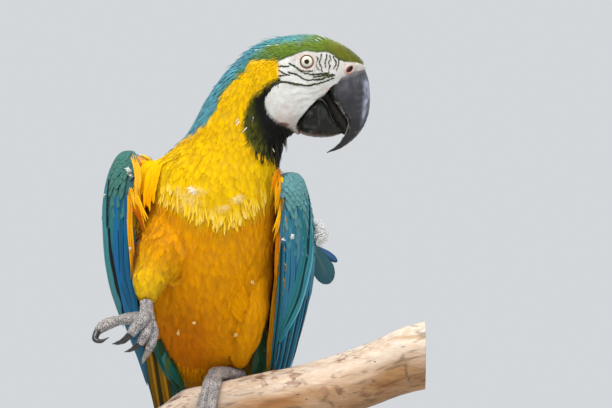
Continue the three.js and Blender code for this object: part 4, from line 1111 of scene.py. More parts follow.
# ------------------------------------------------------------------ materials
class Mat:
    """A small helper for procedural materials."""

    def __init__(self, name, **sockets):
        self.m = bpy.data.materials.new(name)
        self.m.use_nodes = True
        self.nt = self.m.node_tree
        self.bsdf = self.nt.nodes["Principled BSDF"]
        for k, v in sockets.items():
            self.bsdf.inputs[k.replace("_", " ")].default_value = v

    def node(self, kind, **kw):
        n = self.nt.nodes.new(kind)
        for k, v in kw.items():
            if k.startswith("in_"):
                n.inputs[int(k[3:]) if k[3:].isdigit() else k[3:].replace("_", " ")].default_value = v
            else:
                setattr(n, k, v)
        return n

    def link(self, a, b):
        self.nt.links.new(a, b)

    def place(self, scale=(1, 1, 1), turn=(0, 0, 0), uv=None):
        if uv:
            t = self.node("ShaderNodeUVMap", uv_map=uv)
            out = t.outputs["UV"]
        else:
            t = self.node("ShaderNodeTexCoord")
            out = t.outputs["Object"]
        m = self.node("ShaderNodeMapping")
        m.inputs["Scale"].default_value = scale
        m.inputs["Rotation"].default_value = turn
        self.link(out, m.inputs["Vector"])
        return m.outputs["Vector"]

    def noise(self, vec, scale, detail=4.0, rough=0.55, distortion=0.0):
        n = self.node("ShaderNodeTexNoise")
        n.inputs["Scale"].default_value = scale
        n.inputs["Detail"].default_value = detail
        n.inputs["Roughness"].default_value = rough
        n.inputs["Distortion"].default_value = distortion
        self.link(vec, n.inputs["Vector"])
        return n.outputs["Fac"]

    def voronoi(self, vec, scale, feature="F1", out="Distance", randomness=1.0):
        n = self.node("ShaderNodeTexVoronoi", feature=feature)
        n.inputs["Scale"].default_value = scale
        n.inputs["Randomness"].default_value = randomness
        self.link(vec, n.inputs["Vector"])
        return n.outputs[out]

    def ramp(self, fac, *stops):
        n = self.node("ShaderNodeValToRGB")
        cr = n.color_ramp
        while len(cr.elements) < len(stops):
            cr.elements.new(0.5)
        for e, (p, c) in zip(cr.elements, stops):
            e.position = p
            e.color = (*c, 1) if len(c) == 3 else c
        self.link(fac, n.inputs["Fac"])
        return n.outputs["Color"]

    def grey(self, fac, *stops):
        return self.ramp(fac, *[(p, (v, v, v)) for p, v in stops])

    def math(self, op, a, b=None, clamp=False):
        n = self.node("ShaderNodeMath", operation=op, use_clamp=clamp)
        for i, v in enumerate((a, b)):
            if v is None:
                continue
            if isinstance(v, (int, float)):
                n.inputs[i].default_value = v
            else:
                self.link(v, n.inputs[i])
        return n.outputs[0]

    def blend(self, kind, fac, a, b):
        n = self.node("ShaderNodeMix", data_type="RGBA", blend_type=kind)
        for k, v in ((0, fac), (6, a), (7, b)):
            if isinstance(v, (int, float)):
                n.inputs[k].default_value = v
            elif isinstance(v, (tuple, list, np.ndarray)):
                n.inputs[k].default_value = (*v, 1) if len(v) == 3 else tuple(v)
            else:
                self.link(v, n.inputs[k])
        return n.outputs[2]

    def attr(self, name="Col"):
        return self.node("ShaderNodeAttribute", attribute_name=name).outputs["Color"]

    def set(self, socket, out):
        self.link(out, self.bsdf.inputs[socket])

    def bump(self, height, strength, distance, prev=None):
        n = self.node("ShaderNodeBump")
        n.inputs["Strength"].default_value = strength
        n.inputs["Distance"].default_value = distance
        self.link(height, n.inputs["Height"])
        if prev is not None:
            self.link(prev, n.inputs["Normal"])
        self.link(n.outputs["Normal"], self.bsdf.inputs["Normal"])
        return n.outputs["Normal"]


def feather_material(name, rough=0.62, sheen=0.25, tint=(1, 1, 1), barbs=0.0, spec=0.35, glow=0.0, contrast=0.30, rib=0.75, level=1.0):
    m = Mat(name, Roughness=rough)
    if glow:
        # light passes from barb to barb
        m.bsdf.inputs["Subsurface Weight"].default_value = glow
        m.bsdf.inputs["Subsurface Radius"].default_value = (0.0028, 0.0018, 0.0006)
        m.bsdf.inputs["Subsurface Scale"].default_value = 1.0
    m.bsdf.inputs["Specular IOR Level"].default_value = spec
    m.bsdf.inputs["Sheen Weight"].default_value = sheen
    m.bsdf.inputs["Sheen Roughness"].default_value = 0.45
    m.bsdf.inputs["Sheen Tint"].default_value = (*tint, 1)
    pos = m.place()
    col = m.attr()
    var = m.grey(m.noise(pos, 420, 3), (0.3, 0.94 * level), (0.7, 1.04 * level))
    col = m.blend("MULTIPLY", 1.0, col, var)
    fine = m.noise(pos, 2600, 2)
    if barbs:
        uv = m.place(uv="vane")
        sep = m.node("ShaderNodeSeparateXYZ")
        m.link(uv, sep.inputs[0])
        x, y = sep.outputs[0], sep.outputs[1]
        off = m.math("ABSOLUTE", m.math("SUBTRACT", x, 0.5))
        slant = m.math("SUBTRACT", m.math("MULTIPLY", y, barbs), m.math("MULTIPLY", off, barbs * 0.24))
        wob = m.math("ADD", slant, m.math("MULTIPLY", m.noise(pos, 260, 2), 1.6))
        wave = m.math("SINE", m.math("MULTIPLY", wob, 6.283))
        wave = m.math("ADD", m.math("MULTIPLY", wave, 0.5), 0.5)
        col = m.blend("MULTIPLY", contrast, col, m.grey(wave, (0.0, 0.55), (0.6, 1.0)))
        # the shaft runs down the middle, darker and raised
        shaft = m.math("LESS_THAN", off, 0.028)
        col = m.blend("MULTIPLY", m.math("MULTIPLY", shaft, rib), col, (0.28, 0.25, 0.24))
        h = m.math("ADD", m.math("MULTIPLY", wave, 0.5), m.math("MULTIPLY", shaft, 1.9 * rib))
        m.bump(h, 0.12 + 0.75 * contrast, 0.0004)
    else:
        m.bump(fine, 0.25, 0.0003)
    m.set("Base Color", col)
    m.set("Roughness", m.grey(m.noise(pos, 900, 2), (0.3, rough - 0.08), (0.7, min(1.0, rough + 0.1))))
    return m.m


def skin_material():
    m = Mat("bare_skin", Roughness=0.58)
    m.bsdf.inputs["Subsurface Weight"].default_value = 0.12
    m.bsdf.inputs["Subsurface Radius"].default_value = (0.004, 0.002, 0.0012)
    m.bsdf.inputs["Subsurface Scale"].default_value = 0.6
    m.bsdf.inputs["Specular IOR Level"].default_value = 0.32
    pos = m.place()
    col = m.attr()
    blotch = m.ramp(m.noise(pos, 190, 5, 0.6), (0.35, (0.86, 0.80, 0.78)), (0.6, (1, 1, 1)))
    col = m.blend("MULTIPLY", 0.8, col, blotch)
    # fine creases that run back from the gape, and a pebbled skin between them; the creases are also painted darker, as
    # shade
    crease = m.noise(m.place((420, 420, 1500), (0, 0.5, 0)), 1.0, 4, 0.6, 0.6)
    pebble = m.voronoi(pos, 1500)
    line = m.grey(crease, (0.36, 0.78), (0.5, 1.0))
    col = m.blend("MULTIPLY", 0.55, col, line)
    m.set("Base Color", col)
    h = m.math("ADD", m.math("MULTIPLY", crease, 1.0), m.math("MULTIPLY", pebble, 0.5))
    m.bump(h, 0.5, 0.0006)
    return m.m


def bill_material():
    m = Mat("bill_horn", Roughness=0.3)
    m.bsdf.inputs["Specular IOR Level"].default_value = 0.2
    m.bsdf.inputs["Coat Weight"].default_value = 0.12
    m.bsdf.inputs["Coat Roughness"].default_value = 0.12
    pos = m.place()
    col = m.attr()
    n = m.noise(pos, 70, 6, 0.62, 0.4)
    col = m.blend("MULTIPLY", 1.0, col, m.grey(n, (0.3, 0.62), (0.62, 1.25)))
    # scuffs run along the bill
    sc = m.noise(m.place((900, 900, 160), (0, 0.25, 0)), 1.0, 3, 0.5)
    scuff = m.grey(sc, (0.60, 0.0), (0.68, 1.0))
    patch = m.grey(m.noise(pos, 95, 3), (0.52, 0.0), (0.66, 1.0))
    f = m.math("MULTIPLY", scuff, patch)
    col = m.blend("MIX", m.math("MULTIPLY", f, 0.55), col, (0.28, 0.28, 0.27))
    m.set("Base Color", col)
    r = m.grey(m.noise(pos, 160, 4), (0.35, 0.2), (0.65, 0.42))
    m.set("Roughness", m.math("ADD", r, m.math("MULTIPLY", f, 0.25), clamp=True))
    grow = m.noise(m.place((120, 120, 900), (0, 0.2, 0)), 1.0, 3)
    m.bump(m.math("ADD", grow, m.math("MULTIPLY", sc, 0.5)), 0.22, 0.0005)
    return m.m


def horn_material(name, lo, hi, rough=0.28, coat=0.3, spec=0.5):
    m = Mat(name, Roughness=rough)
    m.bsdf.inputs["Specular IOR Level"].default_value = spec
    m.bsdf.inputs["Coat Weight"].default_value = coat
    m.bsdf.inputs["Coat Roughness"].default_value = 0.15
    pos = m.place()
    n = m.noise(m.place((500, 500, 140)), 1.0, 4)
    m.set("Base Color", m.ramp(n, (0.3, tuple(lo)), (0.75, tuple(hi))))
    m.set("Roughness", m.grey(m.noise(pos, 700, 3), (0.3, rough - 0.08), (0.7, rough + 0.14)))
    m.bump(n, 0.25, 0.0004)
    return m.m


def foot_material():
    m = Mat("foot_scales", Roughness=0.5)
    m.bsdf.inputs["Specular IOR Level"].default_value = 0.45
    pos = m.place()
    cell = m.voronoi(pos, 720, "F1", "Distance", 0.85)
    edge = m.voronoi(pos, 720, "DISTANCE_TO_EDGE", "Distance", 0.85)
    tone = m.voronoi(pos, 720, "F1", "Color", 0.85)
    groove = m.grey(edge, (0.0, 0.0), (0.16, 1.0))
    base = m.blend("MIX", groove, (0.06, 0.055, 0.055), m.attr())
    var = m.grey(m.noise(pos, 160, 4), (0.3, 0.72), (0.7, 1.2))
    base = m.blend("MULTIPLY", 1.0, base, var)
    base = m.blend("MULTIPLY", 0.12, base, tone)
    m.set("Base Color", base)
    m.set("Roughness", m.grey(m.noise(pos, 900, 2), (0.3, 0.36), (0.7, 0.62)))
    dome = m.math("SUBTRACT", 1.0, m.math("POWER", cell, 2.0))
    m.bump(m.math("ADD", m.math("MULTIPLY", groove, 1.0), m.math("MULTIPLY", dome, 0.6)), 0.85, 0.0007)
    return m.m


def bark_material():
    m = Mat("bark", Roughness=0.7)
    m.bsdf.inputs["Specular IOR Level"].default_value = 0.4
    pos = m.place()
    long = m.place((20, 46, 46))
    big = m.noise(long, 1.0, 6, 0.58, 0.8)
    col = m.ramp(big, (0.26, tuple(srgb(158, 118, 88))), (0.34, tuple(srgb(198, 166, 134))), (0.46, tuple(srgb(222, 200, 176))),
                 (0.62, tuple(srgb(236, 222, 206))))
    # paper-thin peel, pale, over tan wood
    peel = m.noise(m.place((22, 90, 90)), 1.0, 7, 0.7, 1.4)
    pf = m.grey(peel, (0.47, 0.0), (0.58, 1.0))
    col = m.blend("MIX", m.math("MULTIPLY", pf, 0.5), col, tuple(srgb(242, 230, 220)))
    # reddish scars in patches
    scars = m.grey(m.noise(m.place((110, 170, 170)), 1.0, 4, 0.6, 0.5), (0.52, 0.0), (0.60, 1.0))
    where = m.grey(m.noise(m.place((17, 26, 26)), 1.0, 2), (0.50, 0.0), (0.60, 1.0))
    col = m.blend("MIX", m.math("MULTIPLY", m.math("MULTIPLY", scars, where), 0.85), col, tuple(srgb(142, 94, 70)))
    dark = m.grey(m.noise(m.place((30, 130, 130)), 1.0, 5, 0.7, 0.6), (0.25, 1.0), (0.31, 0.0))
    col = m.blend("MIX", m.math("MULTIPLY", dark, 0.6), col, tuple(srgb(104, 70, 46)))
    grain = m.noise(m.place((60, 700, 700)), 1.0, 4, 0.6, 0.3)
    col = m.blend("MULTIPLY", 0.5, col, m.grey(grain, (0.3, 0.66), (0.6, 1.04)))
    holes = m.voronoi(m.place((70, 110, 110)), 1.0)
    hf = m.grey(holes, (0.04, 1.0), (0.08, 0.0))
    col = m.blend("MIX", m.math("MULTIPLY", hf, 0.85), col, (0.03, 0.02, 0.015))
    col = m.blend("MULTIPLY", 1.0, col, m.attr())
    m.set("Base Color", col)
    m.set("Roughness", m.grey(peel, (0.4, 0.78), (0.6, 0.5)))
    h = m.math("ADD", m.math("MULTIPLY", pf, 0.7), m.math("MULTIPLY", grain, 0.5))
    h = m.math("SUBTRACT", h, m.math("MULTIPLY", hf, 1.2))
    m.bump(h, 0.5, 0.0010)
    return m.m


def wood_material():
    m = Mat("stand_wood", Roughness=0.34)
    m.bsdf.inputs["Coat Weight"].default_value = 0.25
    m.bsdf.inputs["Coat Roughness"].default_value = 0.2
    v = m.place((7, 90, 90))
    n = m.noise(v, 1.0, 6, 0.6, 1.2)
    ring = m.noise(m.place((3, 30, 30)), 1.0, 3, 0.5, 2.0)
    col = m.ramp(n, (0.3, (0.012, 0.009, 0.008)), (0.55, (0.035, 0.024, 0.019)), (0.75, (0.062, 0.040, 0.028)))
    col = m.blend("MULTIPLY", 0.6, col, m.grey(ring, (0.4, 0.6), (0.6, 1.2)))
    m.set("Base Color", col)
    m.set("Roughness", m.grey(n, (0.3, 0.3), (0.7, 0.46)))
    m.bump(n, 0.15, 0.0004)
    return m.m


def metal_material():
    m = Mat("stand_metal", Roughness=0.42, Metallic=0.35)
    pos = m.place((900, 900, 60))
    n = m.noise(pos, 1.0, 3)
    m.set("Base Color", m.ramp(n, (0.3, (0.018, 0.018, 0.019)), (0.7, (0.04, 0.039, 0.038))))
    m.set("Roughness", m.grey(m.noise(m.place(), 500, 3), (0.3, 0.34), (0.7, 0.52)))
    m.bump(n, 0.1, 0.0002)
    return m.m


def eye_material():
    m = Mat("eye_glass", Roughness=0.12)
    m.bsdf.inputs["Specular IOR Level"].default_value = 0.2
    m.bsdf.inputs["Coat Weight"].default_value = 0.55
    m.bsdf.inputs["Coat Roughness"].default_value = 0.02
    pos = m.place()
    col = m.blend("MULTIPLY", 0.5, m.attr(), m.grey(m.noise(pos, 2200, 4), (0.35, 0.75), (0.65, 1.08)))
    m.set("Base Color", col)
    return m.m


M_YELLOW = feather_material("plumage_yellow", 0.85, 0.03, (1.0, 0.80, 0.2), spec=0.04, glow=0.3)
M_SOFT = feather_material("plumage_yellow_vane", 0.85, 0.03, (1.0, 0.80, 0.2), spec=0.04, glow=0.3, barbs=11, contrast=0.12, rib=0.0)
M_GREEN = feather_material("plumage_green", 0.62, 0.22, (0.8, 0.95, 0.8), spec=0.22, level=0.88)
M_DARK = feather_material("plumage_dark", 0.7, 0.04, (0.7, 0.7, 0.6), spec=0.18)
M_BLUE = feather_material("plumage_blue", 0.55, 0.0, (0.5, 0.8, 1.0), barbs=34, spec=0.12, contrast=0.22, rib=0.6, level=0.88)
M_SCALE = feather_material("plumage_teal", 0.6, 0.05, (0.6, 0.9, 1.0), barbs=14, spec=0.11, contrast=0.20, rib=0.35, level=0.88)
M_DOWN = feather_material("down", 0.8, 0.4)
M_SKIN, M_BILL, M_FOOT, M_BARK = skin_material(), bill_material(), foot_material(), bark_material()
M_WOOD, M_METAL, M_EYE = wood_material(), metal_material(), eye_material()
M_CLAW = horn_material("claw_horn", (0.006, 0.006, 0.007), (0.03, 0.028, 0.027), 0.24)
M_CLAW_PALE = horn_material("claw_worn", (0.12, 0.10, 0.085), (0.32, 0.29, 0.25), 0.4)
M_TONGUE = horn_material("tongue", (0.006, 0.005, 0.004), (0.024, 0.020, 0.016), 0.5, 0.04, 0.2)


def piece(name, V, F, mat, nodes, col=None, uvs=None):
    V, F = outward(V, F)
    ob = make_mesh(name, V, F, mat, col, uvs)
    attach(ob, "root")
    if nodes:
        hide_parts(*nodes)
    return ob


# ------------------------------------------------------------------ head: skin, lids, nostrils
def head_side(x, z, grow=0.0):
    """Half breadth of the head at a point of its side view."""
    x, z = np.asarray(x, float), np.asarray(z, float)
    r = at(HEAD, np.clip(x, HEAD[0, 0], HEAD[-1, 0]).ravel())
    _, zt, zb, w, bias = (r[:, k].reshape(x.shape) for k in range(5))
    c = np.clip((z - (zt + zb) / 2) / ((zt - zb) / 2 + grow), -0.999, 0.999)
    return (w + grow) * np.sqrt(1 - c * c) ** (0.83 - 0.09 * c) * (1 - 0.6 * bias * c)


def on_side(x, z, side, h=0.0):
    """A point on the side of the head, h above it, and the normal there."""
    e = 0.4
    y = head_side(x, z)
    gx, gz = (head_side(x + e, z) - head_side(x - e, z)) / (2 * e), (head_side(x, z + e) - head_side(x, z - e)) / (2 * e)
    n = unit(np.stack([-gx, np.full_like(gx, 1.0), -gz], -1))
    P = np.stack([x, y, z], -1) + n * np.asarray(h)[..., None]
    P[..., 1] = HEAD_Y + side * P[..., 1]
    n = n.copy()
    n[..., 1] *= side
    return P, n


def wrinkles(x, y, z):
    """Low folds of the bare face that fan back from the gape."""
    ang = np.arctan2(z - 236, 104 - x)
    d = np.hypot(x - 104, z - 236)
    return 0.16 * np.sin(ang * 34 + 1.6 * np.sin(d * 0.35)) * smooth(d, 8, 20) * smooth(75, d, 50)


NOSTRIL = (111.6, 250.2)


def nostril_place(rr, tt):
    """A slanting oval about the nostril."""
    a, b = rr * 1.28 * np.cos(tt), rr * 0.84 * np.sin(tt)
    return NOSTRIL[0] + (a - b) * 0.7071, NOSTRIL[1] + (a + b) * 0.7071


def nostril_distance(x, z):
    u, v = (x - NOSTRIL[0] + z - NOSTRIL[1]) * 0.7071, (z - NOSTRIL[1] - x + NOSTRIL[0]) * 0.7071
    return np.hypot(u / 1.28, v / 0.84)


def head_skin():
    n, m = 210, 240
    s = np.linspace(0, len(HEAD) - 1, n)
    t = np.arange(m) / m * 2 * np.pi
    P0 = head_rings(s[:, None], t[None], -0.4)
    q = P0.reshape(-1, 3)
    _, bare, _, _, face = markings(q, 0.6)
    g = (-1.9 + 1.75 * smooth(-face, -1.2, 1.6) * smooth(q[:, 0], 22, 34)).reshape(n, m)
    x, y, z = q.T
    out = np.abs(y - HEAD_Y) > 9
    rho = np.hypot(x - EYE_X, z - EYE_Z)
    g = g - (3.6 * smooth(rho, 9.0, 6.2) * out).reshape(n, m)
    nos = np.hypot(x - NOSTRIL[0], z - NOSTRIL[1])
    g = g - (2.2 * smooth(nos, 4.8, 3.2) * (np.abs(y - HEAD_Y) > 6)).reshape(n, m)
    g = g + (wrinkles(x, y, z) * bare).reshape(n, m)
    # a soft ridge of flesh over the bill, and a hollow in front of the eye
    g = g + (0.5 * np.exp(-((x - 106) ** 2 + (z - 244) ** 2) / 30) * bare).reshape(n, m)
    g = g - (0.7 * np.exp(-((x - 92) ** 2 + (z - 256) ** 2) / 60) * bare).reshape(n, m)
    # the edge of the skin stands a little proud of the horn
    zone = sd_poly(ZONE, *side_view(P0))
    g = g + 0.35 * np.exp(-((zone - 1.6) / 1.3) ** 2) * bare.reshape(n, m)
    g = make_way(P0, g, 1.1, -0.5)
    P = head_rings(s[:, None], t[None], g)
    parts = [outward(*loft(P))]
    th = np.linspace(0, 2 * np.pi, 73)[:-1]
    for side in (-1, 1):
        # lids: two thin folds round the eye
        rho = np.array([4.3, 4.6, 4.75, 4.95, 5.2, 5.45, 5.75, 6.1, 6.5, 6.9, 7.4, 7.9, 8.5, 9.2, 10.0, 11.0])
        prof = np.array([-2.6, -1.2, -0.1, 0.45, 0.62, 0.58, 0.36, 0.20, 0.26, 0.36, 0.28, 0.10, 0.0, -0.05, -0.12, -0.5])
        rr, tt = np.meshgrid(rho, th, indexing="ij")
        ex = rr * (1 + 0.04 * np.cos(2 * tt)) * np.cos(tt)
        ez = rr * (1 - 0.03 * np.cos(2 * tt)) * np.sin(tt)
        # the lid is a little heavier above and behind the eye
        h = prof[:, None] + 0.16 * (rr > 4.6) * (rr < 7) * np.sin(tt) + 0.05 * np.sin(tt * 17 + rr) * (rr > 4.7)
        L, _ = on_side(EYE_X + ex, EYE_Z + ez, side, h)
        parts.append((L.reshape(-1, 3), [grid_faces(len(rho), len(th), True)[:, ::1 if side < 0 else -1]]))
        # nostril: a round pit with a raised rim
        rho = np.array([0.15, 0.9, 1.5, 1.9, 2.2, 2.5, 2.9, 3.4, 4.0, 4.8, 5.6])
        prof = np.array([-2.4, -2.3, -2.0, -1.3, -0.5, 0.18, 0.42, 0.36, 0.16, 0.0, -0.3])
        rr, tt = np.meshgrid(rho, th, indexing="ij")
        L, _ = on_side(*nostril_place(rr, tt), side, np.broadcast_to(prof[:, None], rr.shape))
        parts.append((L.reshape(-1, 3), [grid_faces(len(rho), len(th), True)[:, ::1 if side < 0 else -1]]))
    return merge(*parts)


def skin_colours(V, part=None):
    col, bare, d, bib, face = markings(V, 1.0, part=part)
    x, y, z = V.T
    # the skin under the coat is painted a little darker, as shade
    col = np.where(bare[:, None] > 0.5, col, col * 0.95)
    side = np.abs(y - HEAD_Y) > 9
    rho = np.hypot(x - EYE_X, z - EYE_Z)
    col = mix(col, srgb(214, 188, 178), (0.75 * smooth(rho, 7.4, 5.9) * side)[:, None])
    col = mix(col, srgb(92, 60, 54), (smooth(rho, 5.9, 5.35) * side)[:, None])
    col = mix(col, srgb(44, 28, 26), (smooth(rho, 5.2, 4.8) * side)[:, None])
    nos = nostril_distance(x, z)
    k = (np.abs(y - HEAD_Y) > 6)
    low = smooth((NOSTRIL[0] - x) + (NOSTRIL[1] - z), -2.5, 3.0)
    col = mix(col, srgb(204, 140, 124), ((0.35 + 0.6 * low) * smooth(nos, 4.4, 2.9) * k)[:, None])
    # painted shade darkens the nostril's pit
    col = mix(col, srgb(70, 36, 30), (smooth(nos, 2.7, 2.1) * k)[:, None])
    col = mix(col, srgb(40, 22, 20), (smooth(nos, 2.0, 1.3) * k)[:, None])
    # a brown smudge low on the cheek
    q = np.hypot((x - 58.5) / 4.8, (z - 206.2) / 1.7)
    col = mix(col, srgb(96, 54, 36), (0.85 * smooth(q, 1.4, 0.7) * side * (bare > 0.3))[:, None])
    return col


HV, HF = head_skin()
SV, SF = merge(outward(CORE_V, CORE_F), (HV, HF))
CORE_PART = labels_of(CORE_V)
skin = make_mesh("skin", SV, SF, M_SKIN, skin_colours(SV, np.concatenate([CORE_PART, np.full(len(HV), "head")])))
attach(skin, "root")
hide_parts("trunk", "neck", "head", "cere", "thigh_left", "thigh_right", "wing_left", "wing_right")


# ------------------------------------------------------------------ eyes
def eye(side):
    n, m = 46, 56
    p = np.concatenate([np.linspace(0, 1.0, 34), np.linspace(1.05, np.pi - 0.02, n - 34)])
    p[0] = 0.004
    q = np.arange(m) / m * 2 * np.pi
    P = np.stack([np.sin(p)[:, None] * np.cos(q), np.cos(p)[:, None] * np.ones(m), np.sin(p)[:, None] * np.sin(q)], -1)
    rad = EYE_R * np.ones_like(P[..., 0])
    V = P * rad[..., None] + 0.0
    V[..., 1] *= side
    V += np.array([EYE_X, HEAD_Y + side * EYE_OUT, EYE_Z])
    rho = EYE_R * np.sin(p)[:, None] * np.ones(m)
    front = (np.cos(p) > 0)[:, None]
    iris = np.broadcast_to(srgb(240, 241, 222), rho.shape + (3,)).copy()
    streak = 0.82 + 0.18 * np.sin(q * 31)[None] * np.sin(q * 13 + 1)[None]
    iris = iris * (streak * (0.75 + 0.25 * smooth(rho, 1.4, 2.6)))[..., None]
    col = mix(iris, srgb(216, 198, 152), (smooth(rho, 4.0, 4.5))[..., None])
    col = mix(col, srgb(178, 162, 124), (smooth(rho, 2.45, 2.1))[..., None])
    col = mix(col, srgb(30, 22, 18), smooth(rho, 4.5, 4.8)[..., None])
    col = mix(col, srgb(6, 5, 5), smooth(rho, 2.0, 1.75)[..., None])
    col = np.where(front[..., None], col, srgb(26, 20, 16))
    V2, F2 = loft(V)
    K = np.vstack([col.reshape(-1, 3), col[0].mean(0), col[-1].mean(0)])
    nm = "eye_right" if side < 0 else "eye_left"
    piece(nm + "_ball", V2, F2, M_EYE, [nm], K)


eye(-1)
eye(1)


# ------------------------------------------------------------------ bill and tongue
def bill(rows, ridge, n, m, pitch):
    s = np.linspace(0, len(rows) - 1, n)
    r = through(rows, s)
    a, b, w = r[:, 0:2], r[:, 2:4], r[:, 4]
    c = (a + b) / 2
    d = a - b
    h = np.linalg.norm(d, axis=1) / 2
    d = d / np.linalg.norm(d, axis=1)[:, None]
    t = np.arange(m) / m * 2 * np.pi
    cs = np.cos(t)
    flat = cs * ridge < 0
    k = np.where(flat, np.sign(cs) * np.abs(cs) ** 0.6, np.sign(cs) * np.abs(cs) ** 0.95)
    P = np.empty((n, m, 3))
    P[..., 0] = c[:, None, 0] + d[:, None, 0] * h[:, None] * k
    P[..., 2] = c[:, None, 1] + d[:, None, 1] * h[:, None] * k
    P[..., 1] = HEAD_Y + w[:, None] * power(np.sin(t), 0.8)[None] * (1 - ridge * cs)[None]
    g = np.gradient(P, axis=0)
    u = np.roll(P, -1, 1) - np.roll(P, 1, 1)
    N = unit(np.cross(g, u))
    if (N[n // 2, m // 4] * (0, 1, 0)).sum() < 0:
        N = -N
    return P, N, s, t, cs


def build_bills():
    P, N, s, t, cs = bill(UPPER, 0.12, 150, 110, 0)
    q = P.reshape(-1, 3)
    f = (s / s[-1])[:, None] * np.ones(len(t))
    C_ = cs[None] * np.ones((len(s), 1))
    # growth lines, a worn cutting edge and shallow dents
    h = 0.07 * np.sin(f * 95 + 1.5 * np.sin(C_ * 3)) * smooth(f, 0.05, 0.3)
    h = h + 0.16 * noise3(P, 31, 9.0) + 0.05 * noise3(P, 32, 2.2)
    edge = smooth(C_, -0.55, -0.9)
    h = h - 0.35 * edge * smooth(noise3(P, 33, 2.6), 0.15, 0.7)
    h = h - 0.10
    V = P + N * h[..., None]
    col = mix(srgb(48, 48, 53), srgb(36, 36, 39), smooth(f, 0.2, 0.8)[..., None])
    # a bluish highlight is painted down beside the culmen; the worn cutting edge is pale
    painted_ridge_highlight = np.exp(-((C_ - 0.72 - 0.10 * np.sin(f * 9)) / 0.17) ** 2) * smooth(f, 0.02, 0.12) * smooth(f, 0.62, 0.3)
    col = mix(col, srgb(180, 184, 206), (0.95 * painted_ridge_highlight * (0.7 + 0.5 * noise3(P, 36, 3.0)))[..., None])
    col = mix(col, srgb(176, 168, 158), (0.85 * smooth(C_, -0.55, -0.95) * smooth(f, 0.22, 0.3) * smooth(f, 0.97, 0.84) * smooth(noise3(P, 34, 2.4), -0.5, 0.1))[..., None])
    col = mix(col, srgb(132, 130, 130), (0.5 * smooth(noise3(P, 35, 4.0), 0.30, 0.7) * smooth(np.abs(C_), 0.1, 0.8))[..., None])
    col = mix(col, srgb(140, 138, 140), (0.45 * smooth(f, 0.05, 0.0))[..., None])
    # a soft painted highlight near the bill's base
    col = mix(col, srgb(112, 112, 118), (0.38 * smooth(np.hypot(P[..., 0] - 108, P[..., 2] - 240), 17, 3) * (0.6 + 0.5 * noise3(P, 37, 3.5)))[..., None])
    V2, F2 = loft(V)
    K = np.vstack([col.reshape(-1, 3), col[0].mean(0), col[-1].mean(0)])
    piece("bill_upper_horn", V2, F2, M_BILL, ["bill_upper"], K)
    P, N, s, t, cs = bill(LOWER, -0.12, 110, 96, 0)
    f = (s / s[-1])[:, None] * np.ones(len(t))
    C_ = cs[None] * np.ones((len(s), 1))
    h = -0.12 + 0.07 * np.sin(f * 60) + 0.18 * noise3(P, 41, 7.0) + 0.05 * noise3(P, 42, 2.0)
    # the lower bill shows its rim inside the upper one
    V = P + N * h[..., None]
    col = np.broadcast_to(srgb(19, 20, 14), P.shape).copy()
    col = mix(col, srgb(112, 66, 40), (0.55 * smooth(f, 0.9, 0.2) * smooth(C_, -0.7, -0.98))[..., None])
    col = mix(col, srgb(96, 95, 88), (0.5 * smooth(noise3(P, 43, 4.0), 0.25, 0.6) * smooth(f, 0.55, 0.05))[..., None])
    col = mix(col, srgb(172, 166, 156), (0.75 * smooth(C_, 0.74, 0.93) * smooth(f, 0.12, 0.3) * smooth(noise3(P, 44, 3.0), -0.6, 0.1))[..., None])
    V2, F2 = loft(V)
    K = np.vstack([col.reshape(-1, 3), col[0].mean(0), col[-1].mean(0)])
    piece("bill_lower_horn", V2, F2, M_BILL, ["bill_lower"], K)
    T_ = limb([[89, HEAD_Y, 235], [92, HEAD_Y, 230], [96, HEAD_Y, 224.5], [99.6, HEAD_Y, 218], [104.0, HEAD_Y, 211.3], [107.0, HEAD_Y, 204.8],
               [109.3, HEAD_Y, 199.8]], [5.2, 5.2, 5.2, 5.6, 6.0, 4.8, 3.2], 32, 34, 0.8)
    T_ = T_ + 0.12 * noise3(T_, 51, 1.6)[..., None]
    V2, F2 = loft(T_)
    piece("tongue_soft", V2, F2, M_TONGUE, ["tongue"])


build_bills()


# ------------------------------------------------------------------ body feathers
def region_sizes(P, part):
    """Length, width, standing height and spacing of feathers at points."""
    x, y, z = P.T
    _, _, d, bib, face = markings(P, 0.0)
    n = len(P)
    L, W, H, S = np.full(n, 16.0), np.full(n, 5.4), np.full(n, 1.9), np.full(n, 4.7)

    def put(k, l, w, h, s):
        k = np.clip(np.asarray(k, float), 0, 1)
        for a, v in ((L, l), (W, w), (H, h), (S, s)):
            a[:] = a * (1 - k) + v * k
    put(smooth(z, 92, 60), 17, 5.4, 1.9, 4.8)
    neck = smooth(z, 176, 196)
    put(neck, 10.5, 3.8, 1.7, 3.4)
    head = smooth(x, 18, 34) * smooth(z, 200, 214) * (part == "head")
    put(head, 7.5, 2.5, 2.0, 2.6)
    crown = smooth(x, 44, 62) * smooth(z, 236, 250) * (part == "head")
    put(crown, 4.6, 1.7, 1.65, 1.9)
    front = smooth(x, 92, 104) * smooth(z, 236, 250) * (part == "head")
    put(front, 2.8, 1.2, 1.3, 1.45)
    put(smooth(bib, 3, -1) * smooth(x, 22, 30) * smooth(z, 168, 176), 6.6, 1.9, 2.0, 2.1)
    put(np.char.startswith(part, "thigh"), 12.5, 4.2, 1.9, 3.8)
    low = np.char.startswith(part, "thigh") & (z < 80) & (x < 0)
    put(low * smooth(z, 92, 66), 8.0, 3.0, 1.9, 3.0)
    return L, W, H, S


def scatter(select, spacing, seed, parts=None):
    """Roots on the skin where select(P, part) holds."""
    cen = CORE_V[CORE_T].mean(1)
    w = select(cen, CEN_PART).astype(float)
    P = poisson(CORE_V, CORE_T, w, spacing, seed)
    Q, N = surface_of(P)
    part = labels_of(Q)
    k = select(Q, part)
    return Q[k], N[k], part[k]


CEN_PART = labels_of(CORE_V[CORE_T].mean(1))
IS_BODY = lambda part: (part == "trunk") | (part == "head") | np.char.startswith(part, "thigh")


